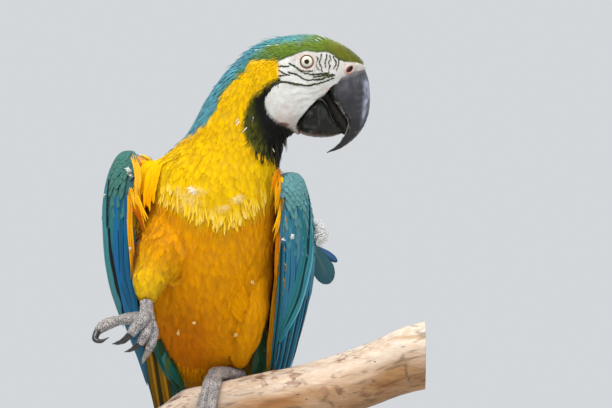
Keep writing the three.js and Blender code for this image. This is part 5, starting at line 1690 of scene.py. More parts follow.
def hidden(P):
    """Places under the wings or inside the bill, where no feather shows."""
    x, y, z = P.T
    under = (np.abs(x) > 50) & (z < 150) & (y > -22) & (y < 52)
    billside = (sd_poly(ZONE, *side_view(P)) < 1.0) & (x > 60)
    low = z < -4
    return under & (z > 10) | billside | low


def labels_fast(c):
    return CEN_PART if len(c) == len(CEN_PART) else labels_of(c)


def body_coat():
    soft = Coat("coat_yellow_vanes", M_SOFT, "plumage_yellow")
    yellow = Coat("coat_yellow", M_YELLOW, "plumage_yellow")
    green = Coat("coat_green", M_GREEN, "plumage_green")
    dark = Coat("coat_bib", M_DARK, "plumage_green")
    pale = Coat("coat_down", M_DOWN, "plumage_yellow")

    def tone(R, tip, r):
        q = mix(R, tip, 0.55)
        c, _, _, _, _ = markings(q, 1.2, naked=False, part=labels_of(q))
        return c

    def sel(P, part):
        _, bare, d, bib, face = markings(P, 0.0)
        back = (d > 4) & (P[:, 2] < 196)
        return IS_BODY(part) & (bare < 0.5) & ~hidden(P) & ~back & (face > 0.2)

    # broad soft feathers that close the yellow coat
    def broad(P, part):
        _, _, d, bib, face = markings(P, 0.0)
        onbib = (bib < 0.2) & (P[:, 0] > 22) & (P[:, 2] > 168)
        return sel(P, part) & (d < 0.5) & ~onbib & (face > 1.5)

    def coarse(P):
        """0 on the head and neck, 1 on the body."""
        return smooth(P[:, 2], 206, 168)
    P, N, part = scatter(broad, lambda c: 3.2 + 2.5 * coarse(c), 12)
    D = lie(P, N, part)
    r = np.random.default_rng(6)
    D = unit(D + np.cross(N, D) * (noise3(P, 61, 18.0) * 0.14 + r.normal(0, 0.07, len(P)))[:, None])
    thigh = np.char.startswith(part, "thigh")
    k = coarse(P) * (1 - 0.35 * thigh)
    L = (8.5 + 9.0 * k) * (1 + 0.10 * noise3(P, 62, 12.0)) * r.uniform(0.92, 1.08, len(P))
    W = (5.6 + 4.8 * k) * r.uniform(0.9, 1.1, len(P))
    H = 1.1 + 0.35 * k + 0.2 * noise3(P, 63, 12.0)
    low_in = (part == "thigh_right") & (P[:, 2] - L < 84) & (P[:, 0] > -38)
    L = np.where(low_in, 0.5 * L, L)
    end = P + D * (0.92 * L)[:, None]
    dz = end[:, 2] - fringe(end[:, 0])
    loose = (dz > -1) & (dz < 13) & (P[:, 1] < 0) & (part == "trunk") & (np.abs(P[:, 0]) < 46)
    H = H - 0.5 * (dz < -1) * (dz > -14)

    def tinted(P_, E_, L_):
        def vane_tone(R, F, A, rr):
            near, _, _, _, _ = markings(R, 1.0, naked=False, part=labels_of(R))
            far, _, _, _, _ = markings(mix(R, E_, 0.85), 1.0, naked=False, part=labels_of(R))
            below = (E_[:, 2] - fringe(E_[:, 0]) > -1) | (R[:, 2] < fringe(R[:, 0]))
            near = np.where(below[:, None], near, far)
            t = 1 + rr.uniform(-0.025, 0.02, (len(R), 1))
            near, far = near * t, far * t
            c = mix(near[:, None, None, :], far[:, None, None, :], smooth(F, 0.1, 0.8)[None, ..., None])
            lit = L_ * rr.uniform(0.2, 1.0, len(R))
            tip = smooth(F, 0.4, 1.0)[None] * lit[:, None, None]
            c = mix(c, C["tip"], tip[..., None])
            return c * (1 + 0.03 * np.sin(A * 9 + F * 2))[None, ..., None]
        return vane_tone
    lit_ = 0.95 * smooth(np.abs(dz - 5), 14, 4) * (P[:, 1] < 0) * loose
    kk = ~loose
    scales(soft, P[kk], N[kk], D[kk], L[kk], W[kk], H[kk], part[kk], tinted(P[kk], end[kk], lit_[kk]), n=6, m=5, blunt=0.85, root_w=0.5, th=0.10, camber=0.08,
           seed=33, ragged=0.30, shade=(0.97, 1.0), soft=0.95, cup=0.25)
    kk = loose
    scales(soft, P[kk], N[kk], D[kk], 0.95 * L[kk], 0.62 * W[kk], H[kk] + 0.9 * smooth(dz[kk], 13, 4), part[kk], tinted(P[kk], end[kk], lit_[kk]), n=8, m=5, blunt=1.0,
           root_w=0.5, th=0.12, camber=0.2, seed=34, ragged=0.2, shade=(0.96, 1.03), soft=0.8)
    # soft vanes laid straight over the seam where the left thigh joins the belly, painted a little darker as the shade
    # in the seam
    for _ in range(70):
        z0 = r.uniform(50, 92)
        x0 = np.interp(z0, [46, 54, 69, 77, 84, 92], [21.5, 23, 30.4, 34.5, 37.5, 40]) + r.uniform(-3.4, 2.6)
        ln_ = r.uniform(11, 15)
        x1_ = x0 - ln_ * r.uniform(0.10, 0.32)
        E0, M0 = surface_of(np.array([[x0, -60 + 0.35 * (92 - z0), z0], [x1_, -60 + 0.35 * (92 - z0 + ln_), z0 - ln_]]))
        A0, B0 = E0[0] + M0[0] * 0.4, E0[1] + M0[1] * r.uniform(1.3, 1.9)
        c0, _, _, _, _ = markings(E0, 1.0, naked=False, part=np.array(["trunk", "trunk"]))
        c0 = c0.mean(0) * r.uniform(0.78, 0.86) * np.array([1.0, 0.96, 1.0])
        lobe(soft, [A0, (A0 + B0) / 2 + 0.7 * unit(M0.mean(0)), B0], unit(M0.mean(0)), r.uniform(3.4, 5.0),
             (lambda F, A, top, c0=c0: np.broadcast_to(c0, F.shape + (3,)) * 1.0), unwrap(E0[:1], np.array(["trunk"]))[0], r, n=7, m=5, blunt=0.9, root=0.5,
             camber=0.35, th=0.10, ragged=0.25)
    # pointed tips that hang over the belly
    spots = [(-29, 138, 10, 4), (-19, 131, 15, 4.6), (-8.7, 126, 13, 3.8), (5.6, 120.5, 14, 4.6), (25.6, 127, 13, 4.4), (41, 134, 13, 4.6),
             (-3, 127, 12, 4), (13.5, 121, 12, 4.4), (19, 125, 11, 3.6), (33, 131, 12, 4.2), (-25, 135, 12, 4.4), (-14, 130, 12, 4.2),
             (30, 136, 12, 4), (36, 139, 10, 4), (1.5, 124, 12, 3.8), (-37, 142, 11, 4), (9.5, 117.5, 12, 3.8), (22, 119, 11, 3.6)]
    more = []
    for x, z, ln, wd in spots:
        for j in range(3):
            more.append((x + r.normal(0, 2.2), z + r.uniform(-0.5, 4.5), ln * r.uniform(0.8, 1.15), wd * r.uniform(0.35, 0.62)))
    spots = more
    T = []
    for x, z, ln, wd in spots:
        z = z + 0.96 * ln
        row = at(TRUNK, z)[0]
        u = np.clip((x - (row[1] + row[2]) / 2) / ((row[2] - row[1]) / 2), -0.98, 0.98)
        T.append((x, (row[3] + row[4]) / 2 - (row[4] - row[3]) / 2 * np.sqrt(1 - u * u), z))
    Q, M = surface_of(np.array(T))
    pt = labels_of(Q)
    Dn = lie(Q, M, pt)
    Dn = unit(Dn + np.cross(M, Dn) * r.normal(0, 0.2, (len(Q), 1)))
    ln, wd = np.array([v[2] for v in spots], float), np.array([v[3] for v in spots], float)

    def bright(R, F, A, rr):
        c = mix(C["breast"], C["tip"], 0.05 + 0.6 * smooth(F, 0.3, 1.0)[None, ..., None] * rr.uniform(0.0, 1, (len(R), 1, 1, 1)))
        return c * (1 - 0.10 * smooth(np.abs(A), 0.7, 1.0))[None, ..., None]
    scales(soft, Q, M, Dn, ln, wd, np.full(len(Q), 3.5), pt, bright, n=9, m=5, blunt=1.0, root_w=0.5, th=0.13, camber=0.3, seed=35,
           ragged=0.2, shade=(0.94, 1.04), soft=0.7)

    def spacing(c):
        return region_sizes(c, labels_fast(c))[3]
    P, N, part = scatter(sel, spacing, 11)
    L, W, H, S = region_sizes(P, part)
    _, bare, d, bib, face = markings(P, 0.0)
    D = lie(P, N, part)
    r = np.random.default_rng(5)
    swirl = noise3(P, 61, 18.0) * 0.14 + r.normal(0, 0.07, len(P))
    D = unit(D + np.cross(N, D) * swirl[:, None])
    L = L * (1 + 0.12 * noise3(P, 62, 12.0))
    H = H * (1 + 0.12 * noise3(P, 63, 12.0))
    z = P[:, 2]
    dz = z - fringe(P[:, 0])
    H = H + 1.3 * smooth(dz, 2, 6) * smooth(dz, 18, 10) * (P[:, 1] < 0) * (part == "trunk") * smooth(np.abs(P[:, 0]), 50, 42)
    onbib = (bib < 0.6) & (P[:, 0] > 22) & (z > 168)
    up = (d > 0) & ~onbib
    yl = ~onbib & ~up
    lit = np.clip(0.10 + 0.30 * smooth(noise3(P, 64, 7.0), 0.0, 0.8) * smooth(z, 80, 130), 0, 0.7)
    k = yl & (face > 2.2)
    strands(yellow, P[k], N[k], D[k], L[k], W[k], H[k], part[k], tone, per=9, rings=4, fan=0.40, slim=0.13, seed=21,
            tip_col=C["tip"], tip_amount=lit[k], dark=0.99, soft=0.12, ridge=0.05, vary=0.45)
    k = yl & (face <= 2.2)
    if k.any():
        strands(yellow, P[k], N[k], D[k], L[k], W[k], H[k], part[k], tone, per=5, rings=4, fan=0.5, slim=0.3, seed=22)
    k = up

    def crown_tone(R, tip, r):
        c = tone(R, tip, r)
        # long thin streaks of light and shade along the feathers
        q = mix(R, tip, 0.5)
        st = noise3(q * np.array([0.22, 1.0, 0.55]), 67, 1.6)
        c = c * (1 + 0.22 * st)[:, None]
        # a pale painted sheen on the crown's top
        top = smooth(q[:, 2] + 0.25 * (q[:, 0] - 60), 262, 274) * smooth(q[:, 0], 104, 90)
        return mix(c, srgb(176, 206, 206), (0.16 * smooth(noise3(q * np.array([0.25, 1.0, 1.0]), 68, 2.2), 0.15, 0.7) * top)[:, None])
    # pale tips on the crown's top are a painted sheen
    sheen = 0.16 * smooth(noise3(P, 65, 5.0), 0.2, 0.8) * smooth(z, 258, 274) * (P[:, 0] < 100)
    strands(green, P[k], N[k], D[k], 1.25 * L[k], W[k], H[k], part[k], crown_tone, per=5, rings=4, fan=0.26, slim=0.40, seed=23,
            tip_col=srgb(196, 220, 206), tip_amount=sheen[k], vary=1.6)
    # feather tips that break the line of the nape, and a few pale ones on the crown
    ridge = catmull([[60, -12, 277], [46, -12, 274], [34, -10, 268], [22, -6, 258], [12, 0, 246], [3, 4, 233], [-6, 8, 217], [-15, 12, 204], [-24, 15, 192]], 30)[0]
    ridge = ridge + np.stack([r.normal(0, 0.8, 30), r.normal(0, 4.0, 30), r.normal(0, 0.6, 30)], -1)
    Q, M = surface_of(ridge)
    pt = labels_of(Q)
    Dn = lie(Q, M, pt)
    n = len(Q)

    def napes(R, F, A, rr):
        c = mix(C["hind"], C["pale"], rr.uniform(0, 0.8, (len(R), 1)))
        return c[:, None, None, :] * (0.8 + 0.3 * smooth(F, 0.2, 1.0))[None, ..., None]
    scales(green, Q, M, Dn, r.uniform(8, 13, n), r.uniform(2.0, 3.4, n), r.uniform(2.6, 4.8, n), pt, napes, n=7, m=3, blunt=1.0, root_w=0.5,
           th=0.12, camber=0.3, seed=36)
    Q, M = surface_of(np.array([(95, -20, 276), (91, -24, 275.5), (90.5, -17, 278), (88, -26, 274), (50, -28, 271), (40, -26, 268), (56, -30, 272)], float))
    pt = labels_of(Q)

    def pale_crown_vanes(R, F, A, rr):
        return np.broadcast_to(srgb(216, 226, 222), (len(R),) + F.shape + (3,)) * (0.75 + 0.3 * F)[None, ..., None]
    n = len(Q)
    scales(green, Q, M, lie(Q, M, pt), np.array([6, 5, 5, 4, 5, 5, 4.0]), np.array([1.7, 1.5, 1.4, 1.2, 1.0, 1.0, 1.0]), np.full(n, 2.5), pt, pale_crown_vanes,
           n=6, m=3, blunt=0.9, root_w=0.5, th=0.10, camber=0.2, seed=37)
    k = onbib
    low = smooth(P[:, 2], 200, 184)
    strands(dark, P[k], N[k], D[k], (L * (1 + 0.55 * low))[k], W[k], (H + 0.8 * low)[k], part[k], tone, per=5, rings=4, fan=0.36, seed=24,
            vary=2.0)
    # ragged lower end of the bib, standing off the throat
    T, Ln, Hh = [], [], []
    for i in range(46):
        g = r.random()
        x = 36 + 26 * g + r.normal(0, 1.2)
        z = np.interp(x, [34, 45, 55, 62], [189, 186, 186, 192]) + r.uniform(-1, 7)
        T.append((x, HEAD_Y - r.uniform(4, 26), z))
        Ln.append(r.uniform(9, 15))
        Hh.append(2.6 + 3.0 * smooth(x, 48, 60))
    Q, M = surface_of(np.array(T, float))
    pt = labels_of(Q)
    n = len(Q)

    def sooty(R, F, A, rr):
        c = mix(C["bib"], C["bibedge"], 0.9 * smooth(R[:, 0], 54, 42)[:, None] * rr.uniform(0, 1, (n, 1)))
        return np.broadcast_to(c[:, None, None, :], (n,) + F.shape + (3,)).copy()
    scales(dark, Q, M, lie(Q, M, pt), np.array(Ln), r.uniform(2.0, 3.4, n), np.array(Hh), pt, sooty, n=9, m=3, blunt=1.0, root_w=0.5, th=0.12,
           camber=0.3, seed=38)
    # fluffy pale clumps lower on the breast
    tufts, ways, whites = [], [], []
    for cx, cz, wd, cnt, way, wh in ((-11.0, 156.0, 2.6, 10, (-0.70, 0, -0.7), 1.0), (-18, 153, 5, 8, (-0.9, 0, -0.5), 0.35), (-6, 157, 4, 6, (-0.2, 0, -0.9), 0.4), (-20, 145, 4, 6, (-0.6, 0, -0.8), 0.35), (-12, 149.5, 5, 9, (-0.4, 0, -0.9), 0.45),
                                     (20.5, 152, 2.6, 5, (0.3, 0, -1), 0.6), (10.5, 144, 3.2, 5, (0.3, 0, -1), 0.5), (-7.6, 136, 2.0, 3, (-0.15, 0, -1), 0.5),
                                     (30, 146, 5, 4, (0.55, 0, -0.8), 0.12), (0, 140, 6, 5, (-0.1, 0, -1), 0.15)):
        for _ in range(cnt):
            x, z_ = cx + r.normal(0, wd * 0.5), cz + r.normal(0, wd * 0.4)
            row = at(TRUNK, z_)[0]
            u = np.clip((x - (row[1] + row[2]) / 2) / ((row[2] - row[1]) / 2), -0.98, 0.98)
            tufts.append((x, (row[3] + row[4]) / 2 - (row[4] - row[3]) / 2 * np.sqrt(1 - u * u), z_))
            ways.append(way)
            whites.append(wh)
    T = np.array(tufts)
    Q, M = surface_of(T)
    Dn = np.array(ways) + 0.15 * r.normal(0, 1, (len(Q), 3))
    Dn = unit(Dn - (Dn * M).sum(-1, keepdims=True) * M)
    n = len(Q)
    wh_ = np.array(whites)
    strands(pale, Q, M, Dn, np.where(wh_ > 0.9, 6.0, 9.5), np.where(wh_ > 0.9, 1.5, 1.9), np.where(wh_ > 0.9, 2.6, 2.3), labels_of(Q),
            lambda R, t, rr: mix(np.broadcast_to(srgb(255, 208, 36), R.shape), srgb(255, 246, 226), np.repeat(np.array(whites), len(R) // n)[:, None] ** 2), per=11, rings=5,
            fan=0.55, slim=0.12, seed=25, spread=1.2, tip_col=srgb(255, 250, 240), tip_amount=0.75 * wh_, fluff=0.10, dark=1.0, soft=0.10)
    for c in (soft, yellow, green, dark, pale):
        c.build()
    print("body coat", soft.count(), yellow.count(), green.count(), dark.count(), pale.count())


body_coat()


def back_coat():
    """Blue mantle, rump and scapulars as broad overlapping vanes."""
    coat = Coat("coat_back", M_SCALE, "plumage_blue")

    def sel(P, part):
        _, _, d, _, _ = markings(P, 0.0)
        body = (part == "trunk") & (d > 2.5) & (P[:, 2] < 198)
        sh = np.char.startswith(part, "shoulder") & (P[:, 1] > -2) & (P[:, 2] > 140)
        wt = np.char.startswith(part, "wing") & (P[:, 2] > 112) & (P[:, 1] > 14)
        wt = wt | (np.char.startswith(part, "wing") & (P[:, 2] > 60) & (P[:, 2] < 118) & (P[:, 1] > rear_of(P) - np.interp(P[:, 2], [60, 112], [12, 30])))
        return (body | sh | wt) & (P[:, 2] > 4)
    P, N, part = scatter(sel, lambda c: 5.0 + 3.4 * smooth(c[:, 2], 185, 120), 31)
    D = lie(P, N, part)
    side = np.sign(P[:, 0])
    D = unit(D + np.stack([0.18 * side * smooth(P[:, 2], 150, 185), 0.25 + 0 * side, 0 * side], -1) * 1.0)
    D = unit(D - (D * N).sum(-1, keepdims=True) * N)
    z = P[:, 2]
    L = 12 + 12 * smooth(z, 190, 120)
    W = 7.5 + 5 * smooth(z, 190, 120)
    H = 3.0 + 0.6 * noise3(P, 71, 10.0)

    def tone(R, F, A, r):
        c = np.broadcast_to(C["mantle"], R.shape)
        c = mix(c, C["hind"], smooth(R[:, 2], 176, 196)[:, None])
        c = mix(c, C["teal"], (0.5 * smooth(noise3(R, 72, 14.0), -0.1, 0.7))[:, None])
        c = c * r.uniform(0.85, 1.15, len(R))[:, None]
        edge = 1 + 0.25 * smooth(F, 0.7, 1.0) - 0.25 * (np.abs(A) > 0.9)
        return c[:, None, None, :] * edge[None, ..., None]
    scales(coat, P, N, D, L, W, H, part, tone, n=7, m=5, seed=32)
    coat.build()
    print("back coat", coat.count())


back_coat()


def rump_and_vent():
    """Yellow and teal feathers round the tail's root, and the dark green ones on both sides of the belly's end."""
    coat = Coat("coat_vent", M_YELLOW, "plumage_yellow")

    def sel(P, part):
        return (part == "trunk") & (P[:, 2] < 26) & (P[:, 2] > -4) & (P[:, 1] > 10)
    P, N, part = scatter(sel, lambda c: 0 * c[:, 0] + 3.4, 41)
    D = lie(P, N, part)
    # a darker orange further back under the body is painted shade, before the teal
    col = lambda R, t, r: mix(mix(np.broadcast_to(C["mid"], R.shape), srgb(196, 122, 8), smooth(R[:, 1], 18, 30)[:, None]), C["vent"], smooth(R[:, 1], 30, 44)[:, None])
    n = len(P)
    strands(coat, P, N, D, np.full(n, 12.0), np.full(n, 3.4), np.full(n, 3.0), part, col, per=5, rings=4, seed=42)
    coat.build()
    side = Coat("coat_vent_sides", M_SCALE, "plumage_teal")
    r = np.random.default_rng(43)
    tones = (srgb(30, 62, 36), srgb(22, 84, 72), srgb(40, 74, 34), srgb(44, 116, 112), srgb(26, 70, 52), srgb(70, 84, 20))

    def fan(a0, a1, b0, b1, n, w, bulge):
        for k in range(n):
            g = (k + 0.5) / n
            a = np.array(a0) * (1 - g) + np.array(a1) * g + r.normal(0, 0.8, 3)
            b = np.array(b0) * (1 - g) + np.array(b1) * g + r.normal(0, 1.2, 3)
            m_ = (a + b) / 2 + np.array([bulge, -1.5, 0])
            c = mix(tones[k % 6], tones[(k * 5 + 2) % 6], 0.5 * r.random())
            lobe(side, np.array([a, m_, b]), [0.1 * np.sign(bulge), -1, 0.1], w * r.uniform(0.8, 1.2), plain(c, mix(c, C["teal"], 0.5), 1, mix(c, C["teal"], 0.4), 0.5, 0.5),
                 unwrap(a[None], np.array(["trunk"]))[0], r, n=16, m=5, blunt=0.6, root=0.5, camber=0.6, ragged=0.12)
    for x0, w, c in ((-50.0, 3.6, srgb(120, 92, 20)), (-47.2, 3.4, srgb(176, 126, 22)), (-44.4, 3.2, srgb(64, 54, 20)), (-41.5, 3.6, srgb(150, 112, 22)),
                     (-38.8, 3.4, srgb(196, 142, 26)), (-36.2, 3.2, srgb(90, 74, 22))):
        q = np.array([(x0 - 4.5, 18, 40), (x0 - 1.5, 22, 24), (x0 + 0.8, 27, 8), (x0 + 3.4, 34, -10), (x0 + 7.0, 44, -32)], float)
        lobe(side, q, [-0.15, -1, 0.15], w, plain(c, srgb(36, 32, 14), 1, None, 0.9, 0.35), unwrap(q[:1], np.array(["trunk"]))[0], r, n=24, m=5, blunt=0.5,
             root=0.6, camber=0.5, ragged=0.06)
    fan((-45, 12, 46), (-28, 20, 14), (-40, 24, 14), (-20, 30, -14), 13, 7.5, -1.5)
    fan((-43, 6, 36), (-30, 12, 12), (-37, 14, 16), (-22, 20, -6), 9, 6.5, -1.0)
    fan((49, 10, 40), (40, 14, 10), (46, 22, 4), (30, 26, -12), 8, 7.0, 1.0)
    fan((44, 9, 46), (37, 12, 26), (40, 20, 8), (32, 22, 0), 6, 6.5, 0.8)
    side.build()
    print("vent sides", side.count())


rump_and_vent()


# ------------------------------------------------------------------ the face's rows of tiny feathers
def face_rows():
    coat = Coat("coat_face_rows", M_DARK, "plumage_green")
    r = np.random.default_rng(51)
    pts, ways, thick, sd = [], [], [], []
    for li, line in enumerate(LINES):
        P, T = catmull(line, 200)
        s = np.concatenate([[0], np.cumsum(np.linalg.norm(np.diff(P, axis=0), axis=1))])
        near = li <= 5
        step = 0.72 if not near else 0.84
        if near and P[0, 1] < P[-1, 1]:
            P, T, s = P[::-1], -T[::-1], s[-1] - s[::-1]
        for d in np.arange(0.3, s[-1] * (0.86 if near else 1.0), step):
            i = min(np.searchsorted(s, d), 199)
            for side in (-1, 1):
                jit = r.normal(0, 0.22, 2)
                pts.append((P[i, 0] + jit[0], P[i, 1] + jit[1]))
                t = T[i]
                # the tiny vanes lie along their row, back and down
                back = np.array([-0.75, -0.45]) if not near else np.array([-0.35, -0.9])
                if (t * back).sum() < 0:
                    t = -t
                w = unit(0.65 * t + 0.35 * back + r.normal(0, 0.12, 2))
                ways.append(w)
                thick.append(1.6 - 0.7 * d / s[-1] if li == 12 else 1.05 if not near else 0.92 - 0.3 * d / s[-1])
                sd.append(side)
    P, Wy, th, sd = np.array(pts), np.array(ways), np.array(thick), np.array(sd)
    P = np.stack([76.8 + (P[:, 0] - 76.8) / 1.0085, 143.2 + (P[:, 1] - 143.2) / 1.0085], -1)
    L = 2.2 * th * r.uniform(0.8, 1.2, len(P))
    Wd = 1.0 * th * r.uniform(0.75, 1.2, len(P))
    for side in (-1, 1):
        k = sd == side
        p, w, l, wd = P[k], Wy[k], L[k], Wd[k]
        n = len(p)
        rings = 4
        C = []
        for f in np.linspace(0, 1, rings + 1):
            c, nn = on_side(p[:, 0] + w[:, 0] * l * f, p[:, 1] + w[:, 1] * l * f, side, np.full(n, -0.25 + 0.75 * f))
            C.append((c, nn))
        V = np.empty((n, rings * 3 + 1, 3))
        prof = [0.7, 1.0, 0.95, 0.6]
        for i in range(rings):
            t = unit(C[i + 1][0] - C[i][0])
            s = unit(np.cross(C[i][1], t))
            hw = (wd * prof[i] * 0.5)[:, None]
            V[:, i * 3] = C[i][0] - s * hw
            V[:, i * 3 + 1] = C[i][0] + s * hw
            V[:, i * 3 + 2] = C[i][0] + C[i][1] * hw * 0.8
        V[:, -1] = C[rings][0]
        Q, T = tube_faces(rings, 3, n)
        root = C[0][0]
        uv = unwrap(root, np.full(n, "head"))
        fr = np.concatenate([np.repeat(np.linspace(0, 0.8, rings), 3), [1.0]])
        ac = np.concatenate([np.tile([0.0, 1.0, 0.5], rings), [0.5]])
        W = np.broadcast_to(np.stack([ac, fr], -1), (n, len(fr), 2))
        tone = mix(srgb(36, 38, 27), srgb(74, 80, 42), r.uniform(0, 1, n)[:, None])
        K = np.broadcast_to(tone[:, None], V.shape)
        coat.add(V.reshape(-1, 3), Q, T, K.reshape(-1, 3), (uv[:, None] + 0.003 * (W - 0.5)).reshape(-1, 2), W.reshape(-1, 2))
    coat.build()
    print("face rows", coat.count())


face_rows()


# ------------------------------------------------------------------ wings
# the left wing's colours are painted lighter and the right wing's darker, as light and shade on the same plumage
W_TOP = {1: srgb(112, 164, 170), -1: srgb(70, 120, 114)}
W_MID = {1: srgb(78, 138, 146), -1: srgb(48, 112, 114)}
W_LOW = {1: srgb(8, 92, 112), -1: srgb(8, 78, 96)}


def wing_colours(kind, side, r, place=None):
    """A colour function for one feather: kind sets how blue, teal or golden it is."""
    tone = r.uniform(0.9, 1.1)
    hue = r.uniform(0, 1)

    def col(F, A, top):
        # the underside is gold and olive, and painted darker as shade
        if top < 0:
            c = np.broadcast_to(mix(C["gold"], C["olive"], 0.35), F.shape + (3,))
            return c * (0.7 * tone)
        if kind == "flight":
            c = mix(W_LOW[side], C["blue"], (0.15 + 0.45 * hue) * np.ones(F.shape + (1,)))
            c = mix(W_MID[side], c, smooth(F, 0.05, 0.45)[..., None])
            c = mix(c, C["deep"], (0.7 * smooth(A * side, 0.0, 0.9))[..., None])
            c = mix(c, C["pale"], (0.22 * smooth(-A * side, 0.5, 1.0))[..., None])
            c = mix(c, srgb(10, 20, 34), (0.45 * smooth(F, 0.86, 1.0))[..., None])
        elif kind == "outer":
            c = mix(np.broadcast_to(mix(W_LOW[side], C["deep"], 0.45), F.shape + (3,)), srgb(8, 26, 40), (0.8 * smooth(F, 0.1, 0.4) + 0 * A)[..., None])
            c = mix(c, C["blue"], (0.35 * smooth(A * side, 0.2, -0.6))[..., None])
        elif kind == "blue":
            c = mix(np.broadcast_to(srgb(24, 120, 168), F.shape + (3,)), srgb(8, 92, 130), smooth(F, 0.3, 1.0)[..., None])
            c = mix(c, C["violet"], (0.6 * smooth(A * side, 0.6, 1.0))[..., None])
        elif kind == "greater":
            c = mix(W_MID[side], mix(C["blue"], W_LOW[side], 0.5 * hue), (0.75 * smooth(F, 0.3, 0.95))[..., None])
            c = mix(c, C["violet"], (0.3 * smooth(-A * side, 0.55, 1.0) * smooth(F, 0.3, 0.8))[..., None])
        else:
            c = np.broadcast_to(mix(W_MID[side], C["nape"], 0.3 * hue), F.shape + (3,))
        e = 0.82 + 0.22 * smooth(F, 0.0, 0.35) - 0.22 * smooth(np.abs(A), 0.8, 1.0) + 0.08 * smooth(F, 0.75, 1.0)
        return c * (tone * e)[..., None]
    return col


def wing_find(T, sign, pts):
    """(u, v) on the wing for points given by distance out and height, on its front half."""
    vv = np.linspace(0, len(T) - 1, 160)
    zz = through(T, vv)[:, 0]
    o = np.argsort(zz)
    out = []
    uu = np.linspace(0.0, 0.75, 76)
    for x, z in pts:
        v = float(np.interp(z, zz[o], vv[o]))
        P = wing_point(T, sign, uu, np.full(76, v))
        k = int(np.argmin(np.abs(P[:, 0] * sign - x) + 0.02 * uu * 40))
        out.append((uu[k], v))
    return np.array(out)


def sweep(coat, T, sign, pts, width, lift, colour, r, n=40, m=9, blunt=0.3, root=0.5, camber=0.5, th=0.26, ragged=0.04, uv0=(0.3, 0.3), skew=0.0):
    """A long vane laid on the wing through points seen from the front."""
    UV = wing_find(T, sign, pts)
    C0, _ = catmull(np.column_stack([UV, np.zeros(len(UV))]), n)
    f = np.linspace(0, 1, n)
    a = np.linspace(-1, 1, m)
    uc, vc = C0[:, 0], C0[:, 1]
    hw = width / 2 * vane_outline(f, blunt, root) * (1 + ragged * r.uniform(-1, 0.3, n))
    e = 0.02
    gx = np.abs(wing_point(T, sign, uc + e, vc)[:, 0] - wing_point(T, sign, uc - e, vc)[:, 0]) / (2 * e)
    gx = np.maximum(gx, 16)
    uu = uc[:, None] + hw[:, None] * (a[None] + skew * (1 - a[None] ** 2)) / gx[:, None]
    vv = np.broadcast_to(vc[:, None], uu.shape)
    P = wing_point(T, sign, uu, vv)
    N, _, _ = wing_normal(T, sign, uu, vv)
    h = lift[0] + (lift[1] - lift[0]) * f[:, None] ** 0.8 + camber * (1 - a[None] ** 2)
    P = P + N * h[..., None]
    tt = th * (1 - 0.75 * a[None] ** 2) * (1 - 0.5 * f[:, None])
    blade(P, N, np.broadcast_to(tt, h.shape), colour, uv0, coat, uv_size=(0.08, 0.9))


